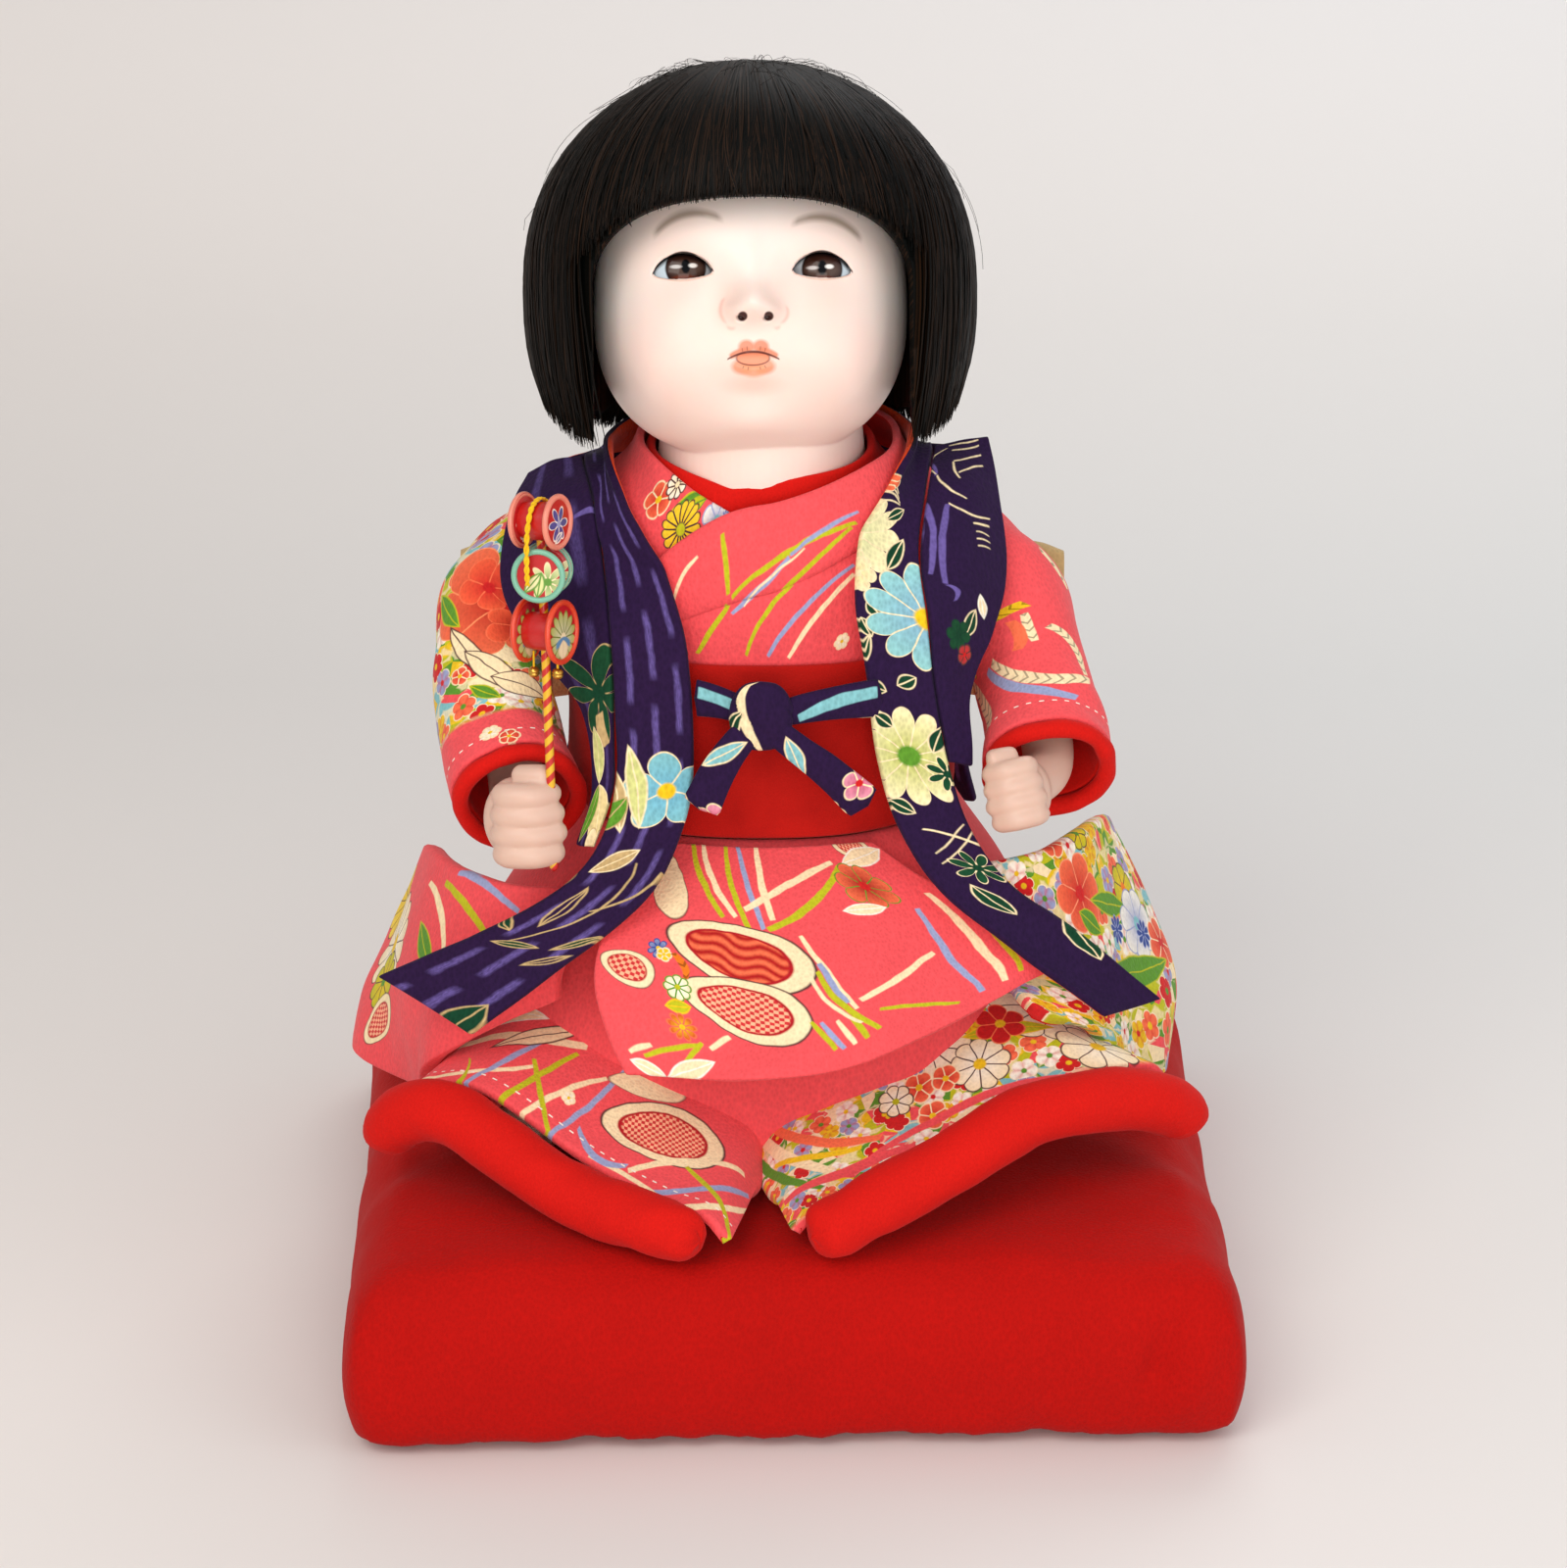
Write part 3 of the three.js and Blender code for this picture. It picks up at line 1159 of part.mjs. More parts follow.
function buildHead() {
  const rings = headRowDegrees.map((row) => headColumnDegrees.map((column) => {
    const [lat, lon] = [row * degrees, column * degrees];
    const [dx, dy, dz] = [Math.cos(lat) * Math.sin(lon), -Math.cos(lat) * Math.cos(lon), Math.sin(lat)];
    const low = lerp(headShares.down, headShares.nape, THREE.MathUtils.smoothstep(dy, -0.2, 0.5));
    const vertical = dz > 0 ? headShares.up : low;
    const deep = dy < 0 ? headShares.front : headShares.back;
    const flat = (Math.abs(dx) ** headShares.outline + Math.abs(dz / vertical) ** headShares.outline)
      ** (1 / headShares.outline);
    const reach = (flat ** headShares.depth + Math.abs(dy / deep) ** headShares.depth) ** (-1 / headShares.depth);
    const [x, y, z] = [dx * reach, dy * reach, dz * reach];
    const push = dy < 0 ? relief(x, z) * Math.min(1, -dy * 2) : 0;
    return headPoint(x * headHalfWidth, (y - push) * headHalfWidth, z * headHalfWidth);
  }));
  const torsoTop = place([0, 0, torsoTopShare]);
  const neckFoot = torsoTop.clone().setZ(torsoTop.z + clearance);
  const neckShares = [1.05, 1.0, 0.96, 0.96];
  const neckTop = headPoint(0, 0, 0).z;
  const neck = loft(neckShares.map((r, i) => ovalRing(
    neckFoot.clone().setZ(lerp(neckFoot.z, neckTop, i / neckShares.length)),
    new THREE.Vector3(1, 0, 0),
    new THREE.Vector3(0, 1, 0),
    neckRadius * r,
    neckRadius * r,
    16,
  )));
  const peg = rod(
    neckFoot.clone().setZ(neckFoot.z - pegLength),
    neckFoot.clone().setZ(neckFoot.z + cutOverrun),
    pegRadius,
    16,
  );
  const eyeCuts = [-1, 1].flatMap((sign) => {
    const { centre, radii, turn } = eyePlace(sign);
    const opening = [];
    const steps = 12;
    for (let k = 0; k < steps; k += 1) {
      const angle = (k / steps) * tau;
      const tall = Math.sin(angle) > 0 ? eyeOpenShares.above : eyeOpenShares.below;
      opening.push([
        sign * eyeSpread + Math.cos(angle) * eyeOpeningHalfWidth,
        eyeLift + Math.sign(Math.sin(angle)) * Math.abs(Math.sin(angle)) ** eyeOpenShares.pinch * tall * eyeOpeningHalfWidth,
      ]);
    }
    const deep = -faceForward(eyeSpread / headHalfWidth, eyeLift / headHalfWidth) * headHalfWidth;
    const prism = loft([deep - cutOverrun, deep + radii.y].map((y) => opening.map(([x, z]) => headPoint(x, y, z))));
    const roomy = radii.clone().addScalar(clearance);
    return [ball(centre, roomy, 12, turn), prism];
  });
  const nostrils = [-1, 1].map((sign) => {
    const [x, z] = [sign * nostrilSpread, nostrilShares.lift * headHalfWidth];
    const front = -faceForward(x / headHalfWidth, z / headHalfWidth) * headHalfWidth;
    return rod(headPoint(x, front - cutOverrun, z - cutOverrun), headPoint(x, front + nostrilRadius, z + nostrilRadius), nostrilRadius, 8);
  });
  const mouthZ = mouthShares.lift * headHalfWidth;
  const mouthFront = -faceForward(0, mouthShares.lift) * headHalfWidth;
  const mouth = ball(
    headPoint(0, mouthFront, mouthZ),
    new THREE.Vector3(mouthHalfWidth, mouthHalfWidth * mouthShares.deep, mouthHalfWidth * mouthShares.tall),
    10,
    new THREE.Euler().setFromRotationMatrix(headTurn),
  );
  add('head', cut(join(loft(rings), neck, peg), ...eyeCuts, ...nostrils, mouth), finishes.shellWhite);
  [['right', -1], ['left', 1]].forEach(([name, sign]) => {
    const { centre, radii, turn } = eyePlace(sign);
    add(`eye_${name}`, ball(centre, radii, 12, turn), finishes.glassBrown);
  });
}

const eyeOpenShares = { above: 0.46, below: 0.42, pinch: 1.3 };
const eyeShapeShares = { deep: 0.57, tall: 0.86 };
const nostrilShares = { lift: -0.13 };
const mouthShares = { lift: -0.39, deep: 0.22, tall: 0.36 };

function eyePlace(sign) {
  const radii = new THREE.Vector3(1, eyeShapeShares.deep, eyeShapeShares.tall).multiplyScalar(eyeHalfWidth);
  const front = -faceForward(eyeSpread / headHalfWidth, eyeLift / headHalfWidth) * headHalfWidth;
  const centre = headPoint(sign * eyeSpread, front + eyelidWall + radii.y, eyeLift);
  return { centre, radii, turn: new THREE.Euler().setFromRotationMatrix(headTurn) };
}

// The wig: height above the head's centre, half width, reach to the front and to the back, in half widths.
const wigShares = [
  [-0.68, 1.30, 1.02, 1.24],
  [-0.38, 1.38, 1.09, 1.31],
  [0, 1.42, 1.12, 1.36],
  [0.42, 1.40, 1.13, 1.37],
  [0.80, 1.28, 1.08, 1.30],
  [1.12, 1.05, 0.92, 1.11],
  [1.36, 0.74, 0.66, 0.80],
  [1.51, 0.38, 0.34, 0.42],
  [1.55, 0.10, 0.09, 0.12],
];
// The opening for the face: its middle height, half width, rise and squareness.
const faceOpeningShares = { middle: 0.05, half: 1.0, rise: 0.585, squareness: 2.6 };
const headRoomShares = { up: 1.22, down: 1.04, front: 0.96, back: 1.07 };

function buildWig() {
  const n = 24;
  const rings = wigShares.map(([z, half, front, back]) => Array.from({ length: n }, (_, k) => {
    const angle = (k / n) * tau;
    const [c, s] = [Math.cos(angle), Math.sin(angle)];
    const deep = s < 0 ? front : back;
    return headPoint(c * half * headHalfWidth, s * deep * headHalfWidth, z * headHalfWidth);
  }));
  const roomRings = headRowDegrees.filter((_, i) => i % 2 === 1).map((row) => Array.from({ length: 20 }, (_, k) => {
    const [lat, lon] = [row * degrees, (k / 20) * tau];
    const [dx, dy, dz] = [Math.cos(lat) * Math.sin(lon), -Math.cos(lat) * Math.cos(lon), Math.sin(lat)];
    const vertical = dz > 0 ? headRoomShares.up : headRoomShares.down;
    const deep = dy < 0 ? headRoomShares.front : headRoomShares.back;
    const flat = (Math.abs(dx) ** headShares.outline + Math.abs(dz / vertical) ** headShares.outline)
      ** (1 / headShares.outline);
    const reach = (flat ** headShares.depth + Math.abs(dy / deep) ** headShares.depth) ** (-1 / headShares.depth);
    const size = headHalfWidth + wigClearance * 2;
    return headPoint(dx * reach * size, dy * reach * size, dz * reach * size);
  }));
  const hollow = loft([-1.6, 0].map((z) => Array.from({ length: 24 }, (_, k) => {
    const angle = (k / 24) * tau;
    const deep = Math.sin(angle) < 0 ? headRoomShares.front : headRoomShares.back;
    const size = headHalfWidth + wigClearance;
    return headPoint(Math.cos(angle) * size, Math.sin(angle) * deep * size, z * headHalfWidth);
  })));
  const { middle, half, rise, squareness } = faceOpeningShares;
  const opening = [];
  const arch = 14;
  for (let k = 0; k <= arch; k += 1) {
    const angle = (k / arch) * Math.PI;
    const [c, s] = [Math.cos(angle), Math.sin(angle)];
    opening.push([
      half * Math.sign(c) * Math.abs(c) ** (2 / squareness),
      middle + rise * Math.abs(s) ** (2 / squareness),
    ]);
  }
  opening.push([-half, -2], [half, -2]);
  const window = loft([-2, 0].map((y) => opening.map(([x, z]) => (
    headPoint(x * headHalfWidth, y * headHalfWidth, z * headHalfWidth)
  ))));
  const axis = place([0, 0, 0]);
  const keepOut = rod(
    axis.clone(),
    axis.clone().setZ(seatHeight + clothHeight - collarKeepOutDrop),
    collarKeepOutRadius,
    32,
  );
  add('hair', cut(loft(rings), loft(roomRings), hollow, window, keepOut), finishes.hairBlack);
}

// Vest: the neck bands run from the middle of the back over the shoulder to the front's end.
const vestCollarRightShares = [
  [[-0.02, 0.35, 0.943], [-0.02, 0.39, 0.883]],
  [[-0.24, 0.3, 0.943], [-0.3, 0.34, 0.883]],
  [[-0.38, 0.12, 0.938], [-0.46, 0.16, 0.898]],
  [[-0.375, -0.05, 0.943], [-0.48, -0.03, 0.928]],
  [[-0.33, -0.24, 0.913], [-0.45, -0.22, 0.903]],
  [[-0.28, -0.39, 0.848], [-0.42, -0.36, 0.838]],
  [[-0.21, -0.505, 0.758], [-0.4, -0.49, 0.748]],
  [[-0.19, -0.54, 0.658], [-0.39, -0.525, 0.658]],
  [[-0.19, -0.58, 0.558], [-0.39, -0.56, 0.553]],
  [[-0.23, -0.64, 0.484], [-0.44, -0.62, 0.474]],
  [[-0.31, -0.72, 0.423], [-0.56, -0.69, 0.419]],
  [[-0.52, -0.77, 0.339], [-0.79, -0.69, 0.354]],
  [[-0.79, -0.78, 0.234], [-1.05, -0.61, 0.279]],
];
const vestCollarLeftShares = [
  [[0.02, 0.35, 0.943], [0.02, 0.39, 0.883]],
  [[0.24, 0.3, 0.953], [0.3, 0.35, 0.898]],
  [[0.36, 0.12, 0.948], [0.45, 0.16, 0.913]],
  [[0.355, -0.05, 0.958], [0.46, -0.03, 0.943]],
  [[0.31, -0.24, 0.928], [0.44, -0.22, 0.913]],
  [[0.27, -0.4, 0.873], [0.42, -0.37, 0.853]],
  [[0.26, -0.495, 0.798], [0.44, -0.47, 0.778]],
  [[0.29, -0.525, 0.703], [0.46, -0.5, 0.688]],
  [[0.32, -0.56, 0.589], [0.5, -0.535, 0.579]],
  [[0.38, -0.61, 0.498], [0.57, -0.58, 0.484]],
  [[0.485, -0.66, 0.423], [0.68, -0.62, 0.414]],
  [[0.68, -0.68, 0.344], [0.87, -0.6, 0.339]],
  [[0.94, -0.68, 0.239], [1.1, -0.54, 0.229]],
];
const vestFrontRightShares = [
  [[-0.492, -0.03, 0.931], [-0.57, -0.02, 0.923], [-0.64, -0.01, 0.903]],
  [[-0.462, -0.22, 0.906], [-0.58, -0.18, 0.888], [-0.7, -0.13, 0.857]],
  [[-0.432, -0.36, 0.838], [-0.56, -0.32, 0.818], [-0.71, -0.24, 0.773]],
  [[-0.412, -0.49, 0.748], [-0.51, -0.44, 0.728], [-0.60, -0.37, 0.703]],
  [[-0.402, -0.525, 0.658], [-0.445, -0.505, 0.650], [-0.485, -0.475, 0.643]],
  [[-0.402, -0.56, 0.553], [-0.43, -0.552, 0.549], [-0.455, -0.54, 0.545]],
  [[-0.452, -0.62, 0.474], [-0.475, -0.615, 0.474], [-0.50, -0.605, 0.474]],
];
const vestFrontLeftShares = [
  [[0.472, -0.03, 0.946], [0.55, -0.02, 0.953], [0.62, 0, 0.953]],
  [[0.452, -0.22, 0.916], [0.56, -0.19, 0.908], [0.66, -0.14, 0.878]],
  [[0.432, -0.37, 0.856], [0.55, -0.33, 0.838], [0.67, -0.25, 0.793]],
  [[0.452, -0.47, 0.781], [0.54, -0.42, 0.758], [0.63, -0.35, 0.728]],
  [[0.472, -0.5, 0.688], [0.525, -0.475, 0.678], [0.57, -0.435, 0.663]],
  [[0.512, -0.535, 0.579], [0.545, -0.525, 0.574], [0.57, -0.51, 0.569]],
];
const vestBackShares = [
  [[-0.61, 0.06, 0.883], [-0.49, 0.22, 0.882], [-0.24, 0.36, 0.880], [0, 0.40, 0.8795], [0.24, 0.37, 0.891], [0.48, 0.22, 0.896], [0.58, 0.08, 0.923]],
  [[-0.64, 0.34, 0.813], [-0.48, 0.46, 0.803], [-0.24, 0.54, 0.788], [0, 0.57, 0.778], [0.24, 0.54, 0.788], [0.48, 0.46, 0.803], [0.63, 0.34, 0.818]],
  [[-0.61, 0.6, 0.723], [-0.48, 0.63, 0.723], [-0.24, 0.68, 0.713], [0, 0.71, 0.703], [0.24, 0.68, 0.713], [0.48, 0.63, 0.723], [0.61, 0.6, 0.723]],
  [[-0.59, 0.63, 0.589], [-0.48, 0.67, 0.579], [-0.24, 0.72, 0.569], [0, 0.74, 0.558], [0.24, 0.72, 0.569], [0.48, 0.67, 0.579], [0.59, 0.63, 0.589]],
  [[-0.57, 0.65, 0.469], [-0.48, 0.7, 0.454], [-0.24, 0.76, 0.439], [0, 0.78, 0.428], [0.24, 0.76, 0.439], [0.48, 0.7, 0.454], [0.58, 0.65, 0.469]],
  [[-0.58, 0.71, 0.359], [-0.48, 0.75, 0.339], [-0.24, 0.82, 0.319], [0, 0.84, 0.308], [0.24, 0.82, 0.319], [0.48, 0.75, 0.339], [0.59, 0.71, 0.359]],
  [[-0.64, 0.77, 0.259], [-0.5, 0.83, 0.239], [-0.24, 0.89, 0.219], [0, 0.91, 0.209], [0.24, 0.89, 0.219], [0.5, 0.83, 0.239], [0.64, 0.77, 0.259]],
];

/** Moves the points of a grid that lie too close to the body out to the vest's own layer. */
function outsideBody(grid) {
  return grid.map((row) => row.map((p) => {
    const heightShare = (p.z - seatHeight) / clothHeight;
    if (heightShare > bodyShares[bodyShares.length - 1][0]) return p;
    const layer = heightShare < obiHighShare + layerVest / clothHeight ? layerVest : layerObi + bandLift * 5;
    const [halfWidth, halfDepth, back] = readTable(bodyShares, heightShare);
    const dx = (p.x - bodyX) / (halfWidth * clothHalfWidth + layer);
    const dy = (p.y - bodyY - back * clothHalfDepth) / (halfDepth * clothHalfDepth + layer);
    const reach = (Math.abs(dx) ** bodySquareness + Math.abs(dy) ** bodySquareness) ** (1 / bodySquareness);
    if (reach >= 1) return p;
    return new THREE.Vector3(
      bodyX + (p.x - bodyX) / reach,
      bodyY + back * clothHalfDepth + (p.y - bodyY - back * clothHalfDepth) / reach,
      p.z,
    );
  }));
}

const vestFoldSkewShare = 0.25;

function vestGrid(shares, rows, cols) {
  return outsideBody(netGrid(placeNet(shares), rows, cols));
}

function buildVest() {
  const back = folded(vestGrid(vestBackShares, 8, 14), vestFoldDepth, vestFoldCount, vestFoldSkewShare);
  add('vest_back', clothSheet(back, vestWall), finishes.vestPurple);
  const sides = [
    ['right', vestCollarRightShares, vestFrontRightShares, -1],
    ['left', vestCollarLeftShares, vestFrontLeftShares, 1],
  ];
  sides.forEach(([name, collar, front, sign]) => {
    add(`vest_collar_${name}`, clothSheet(vestGrid(collar, 20, 2), sign * vestWall), finishes.vestPurple);
    add(`vest_front_${name}`, clothSheet(vestGrid(front, 8, 3), sign * vestWall), finishes.vestPurple);
  });
}

const tieShares = { x: 0, y: -0.585, z: 0.657 };
const strapEndShares = [-0.18, -0.525, 0.672];
const tailShares = {
  right: [[-0.05, -0.60, 0.630], [-0.12, -0.62, 0.580], [-0.165, -0.62, 0.530]],
  left: [[0.06, -0.60, 0.630], [0.17, -0.61, 0.585], [0.285, -0.60, 0.530]],
};

function buildTie() {
  const knot = place([tieShares.x, tieShares.y, tieShares.z]);
  const radii = new THREE.Vector3(1, tieWall / tieKnotRadius * 1.2, 1.15).multiplyScalar(tieKnotRadius);
  add('vest_tie_knot', ball(knot, radii, 11), finishes.vestPurple);
  const knotRoom = ball(knot, radii.clone().addScalar(clearance), 11);
  [['right', 1], ['left', -1]].forEach(([name, sign]) => {
    const end = place([strapEndShares[0] * sign, strapEndShares[1], strapEndShares[2]]);
    const strap = loft([0, 0.35, 0.7, 1].map((t) => ovalRing(
      end.clone().lerp(knot, t),
      new THREE.Vector3(0, 1, 0),
      new THREE.Vector3(0, 0, 1),
      tieWall / 2,
      tieHalfHeight * lerp(1, 0.7, t),
      10,
      3,
    )));
    add(`vest_tie_strap_${name}`, cut(strap, knotRoom), finishes.vestPurple);
    const points = tailShares[name].map(place);
    const path = smooth([knot.clone().lerp(points[0], 0.5), ...points], 5);
    const tail = loft(path.map((p, i) => ovalRing(
      p,
      new THREE.Vector3(0, 1, 0),
      new THREE.Vector3(1, 0, 0.6 * sign).normalize(),
      tieWall / 2,
      tieHalfHeight * lerp(0.7, 1, i / 5),
      10,
      3,
    )));
    add(`vest_tie_tail_${name}`, cut(tail, knotRoom), finishes.vestPurple);
  });
}

buildCushion();
buildTorso();
buildKimono();
buildObi();
buildSkirt();
buildLegs();
buildLap();
buildBags();
buildArms();
buildVest();
buildTie();
buildHead();
buildWig();
buildRattle();

export default doll;
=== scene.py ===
"""A seated ichimatsu baby doll on a red floor cushion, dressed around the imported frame.

Lengths in the classes are millimetres in the row frame, with +Z up and the doll facing -Y.
Meshes are written in metres.
"""

from __future__ import annotations

import logging
import math
from dataclasses import dataclass
from enum import Enum
from typing import Any, Callable, Sequence

import bpy
import numpy as np
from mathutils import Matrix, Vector

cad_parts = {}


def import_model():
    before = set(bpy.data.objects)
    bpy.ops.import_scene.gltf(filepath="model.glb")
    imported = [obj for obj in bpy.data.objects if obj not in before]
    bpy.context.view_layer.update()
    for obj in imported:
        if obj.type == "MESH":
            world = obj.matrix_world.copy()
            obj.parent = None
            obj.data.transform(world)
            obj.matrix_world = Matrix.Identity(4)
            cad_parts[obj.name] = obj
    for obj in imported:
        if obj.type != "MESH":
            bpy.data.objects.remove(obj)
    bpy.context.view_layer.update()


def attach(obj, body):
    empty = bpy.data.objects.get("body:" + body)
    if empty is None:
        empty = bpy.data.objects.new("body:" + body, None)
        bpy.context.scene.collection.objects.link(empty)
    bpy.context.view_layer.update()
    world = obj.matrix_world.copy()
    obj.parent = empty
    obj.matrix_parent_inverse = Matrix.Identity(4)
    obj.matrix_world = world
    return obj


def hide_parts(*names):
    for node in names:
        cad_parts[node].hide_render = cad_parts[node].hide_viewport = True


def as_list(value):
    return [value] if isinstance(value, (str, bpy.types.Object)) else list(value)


log = logging.getLogger("doll")

MM = 0.001
BODY_X, BODY_Y = -6.0, 8.0
CLOTH_HALF, CLOTH_HEIGHT, SEAT = 100.0, 200.0, 54.3
SQUARENESS = 2.4
CLEARANCE = 0.3
KIMONO_WALL, BAND_LIFT, OBI_WALL, VEST_WALL, SKIRT_WALL, SLEEVE_WALL = 2.2, 0.9, 3.2, 2.4, 3.2, 2.2
LAYER_UNDER = 0.6
LAYER_RIGHT = LAYER_UNDER + KIMONO_WALL + 0.6
LAYER_LEFT = LAYER_RIGHT + BAND_LIFT + KIMONO_WALL + 0.6
LAYER_OBI = LAYER_LEFT + KIMONO_WALL + 0.6 + CLEARANCE
LAYER_VEST = LAYER_OBI + OBI_WALL + 0.6

BODY_OUTLINE = (
    (0.015, 0.36, 0.33, 0.02), (0.06, 0.44, 0.40, 0.02), (0.22, 0.45, 0.41, 0.01), (0.37, 0.42, 0.38, 0),
    (0.52, 0.405, 0.36, 0), (0.67, 0.41, 0.34, 0), (0.79, 0.455, 0.31, 0), (0.85, 0.44, 0.29, 0),
    (0.89, 0.38, 0.27, 0), (0.915, 0.32, 0.26, 0), (0.94, 0.285, 0.25, 0), (0.975, 0.275, 0.25, 0),
)
SKIRT_OUTLINE = (
    (0.003, 0.80, 0.67, 0.01), (0.03, 0.85, 0.71, 0.01), (0.10, 0.86, 0.71, 0.01), (0.20, 0.80, 0.68, 0),
    (0.30, 0.70, 0.61, 0), (0.39, 0.58, 0.51, 0), (0.45, 0.51, 0.445, 0),
)


# Curves, tables and grids


def place(shares: Sequence[Any]) -> np.ndarray:
    """Points in millimetres from shares of the clothes' box.

    Args:
        shares: Across, back and up, in any nesting.

    Returns:
        An array of the same nesting.
    """
    s = np.asarray(shares, float)
    return np.stack(
        [BODY_X + s[..., 0] * CLOTH_HALF, BODY_Y + s[..., 1] * CLOTH_HALF, SEAT + s[..., 2] * CLOTH_HEIGHT],
        -1
    )


def unit(v: Sequence[float]) -> np.ndarray:
    """The vector, or each vector of an array, at length 1."""
    a = np.asarray(v, float)
    return a / np.maximum(np.linalg.norm(a, axis=-1, keepdims=True), 1e-12)


def spline(points: Sequence[Any], count: int) -> np.ndarray:
    """Samples a smooth curve through points.

    Args:
        points: Control points, or arrays of them, along the first axis.
        count: The number of steps.

    Returns:
        count + 1 samples along the first axis.
    """
    p = np.asarray(points, float)
    n = len(p)
    q = np.concatenate([(2 * p[0] - p[1])[None], p, (2 * p[-1] - p[-2])[None]])

    def gap(a: np.ndarray, b: np.ndarray) -> np.ndarray:
        """The knot spacing between two points."""
        return np.maximum(np.sum((a - b) ** 2, -1, keepdims=True) ** 0.25, 1e-4)

    out = []
    for k in range(count + 1):
        t = (n - 1) * k / count
        i = min(int(t), n - 2)
        w = t - i
        a, b, c, d = q[i], q[i + 1], q[i + 2], q[i + 3]
        g0, g1, g2 = gap(a, b), gap(b, c), gap(c, d)
        m1 = ((b - a) / g0 - (c - a) / (g0 + g1) + (c - b) / g1) * g1
        m2 = ((c - b) / g1 - (d - b) / (g1 + g2) + (d - c) / g2) * g1
        out.append(b + m1 * w + (3 * (c - b) - 2 * m1 - m2) * w * w + (2 * (b - c) + m1 + m2) * w**3)
    return np.array(out)


def net_grid(net: Sequence[Any], rows: int, cols: int) -> np.ndarray:
    """A fine grid through a coarse net of control points."""
    across = spline(np.asarray(net, float).transpose(1, 0, 2), cols)
    return spline(across.transpose(1, 0, 2), rows)


def read_table(rows: Sequence[Sequence[float]], x: Any) -> np.ndarray:
    """Reads a table smoothly.

    Args:
        rows: The place and the values at it.
        x: The places to read.

    Returns:
        The values, along a new last axis.
    """
    r = np.asarray(rows, float)
    x = np.asarray(x, float)
    i = np.clip(np.searchsorted(r[:, 0], x) - 1, 0, len(r) - 2)
    a, b = r[i], r[i + 1]
    before, after = r[np.maximum(i - 1, 0)], r[np.minimum(i + 2, len(r) - 1)]
    span = (b - a)[..., :1]
    t = np.clip((x[..., None] - a[..., :1]) / span, 0, 1)
    m1 = (b[..., 1:] - before[..., 1:]) / np.maximum((b - before)[..., :1], 1e-9) * span
    m2 = (after[..., 1:] - a[..., 1:]) / np.maximum((after - a)[..., :1], 1e-9) * span
    t2, t3 = t * t, t * t * t
    leave = (2 * t3 - 3 * t2 + 1) * a[..., 1:] + (t3 - 2 * t2 + t) * m1
    return leave + (3 * t2 - 2 * t3) * b[..., 1:] + (t3 - t2) * m2


def power(x: np.ndarray, exponent: float) -> np.ndarray:
    """A power that keeps the sign."""
    return np.sign(x) * np.abs(x) ** exponent


def outline_point(table: Sequence[Sequence[float]], angle: Any, height: Any, grow: Any) -> np.ndarray:
    """Points on a rounded oval body.

    Args:
        table: Height, half width, half depth and shift, in shares.
        angle: Angles about the upright axis, in radians.
        height: Height shares.
        grow: How far out of the outline, in millimetres.

    Returns:
        Points in millimetres.
    """
    angle, height = np.broadcast_arrays(np.asarray(angle, float), np.asarray(height, float))
    read = read_table(table, height)
    x = BODY_X + (read[..., 0] * CLOTH_HALF + grow) * power(np.cos(angle), 2 / SQUARENESS)
    y = BODY_Y + read[..., 2] * CLOTH_HALF + (read[..., 1] * CLOTH_HALF + grow) * power(
        np.sin(angle), 2 / SQUARENESS
    )
    return np.stack([x, y, SEAT + height * CLOTH_HEIGHT], -1)


def wrap_grid(
    start: float, stop: float, edges: Callable[[np.ndarray], tuple[Any, Any]], grow: float, rows: int,
    cols: int
) -> np.ndarray:
    """A grid wrapped on the body between two angles, with edges giving the low and high height share."""
    angle = np.linspace(start, stop, cols + 1)
    low, high = edges(angle)
    t = 1 - (1 - np.linspace(0, 1, rows + 1)[:, None]) ** 1.9
    return outline_point(BODY_OUTLINE, np.radians(angle)[None], low + (high - low) * t, grow)


def outside_body(grid: np.ndarray) -> np.ndarray:
    """Moves points that lie too close to the body out to the coat's own layer."""
    h = (grid[..., 2] - SEAT) / CLOTH_HEIGHT
    layer = np.where(h < 0.705 + LAYER_VEST / CLOTH_HEIGHT, LAYER_VEST, LAYER_OBI + BAND_LIFT * 5)
    read = read_table(BODY_OUTLINE, h)
    my = BODY_Y + read[..., 2] * CLOTH_HALF
    dx = (grid[..., 0] - BODY_X) / (read[..., 0] * CLOTH_HALF + layer)
    dy = (grid[..., 1] - my) / (read[..., 1] * CLOTH_HALF + layer)
    reach = (np.abs(dx) ** SQUARENESS + np.abs(dy) ** SQUARENESS) ** (1 / SQUARENESS)
    reach = np.where((reach < 1) & (h <= BODY_OUTLINE[-1][0]), reach, 1.0)
    out = grid.copy()
    out[..., 0] = BODY_X + (grid[..., 0] - BODY_X) / reach
    out[..., 1] = my + (grid[..., 1] - my) / reach
    return out


def normals(grid: np.ndarray, wrap: bool = False) -> np.ndarray:
    """The unit normals of a grid, across times along."""
    along = np.gradient(grid, axis=0)
    if wrap:
        across = np.roll(grid, -1, 1) - np.roll(grid, 1, 1)
    else:
        across = np.gradient(grid, axis=1)
    return unit(np.cross(across, along))


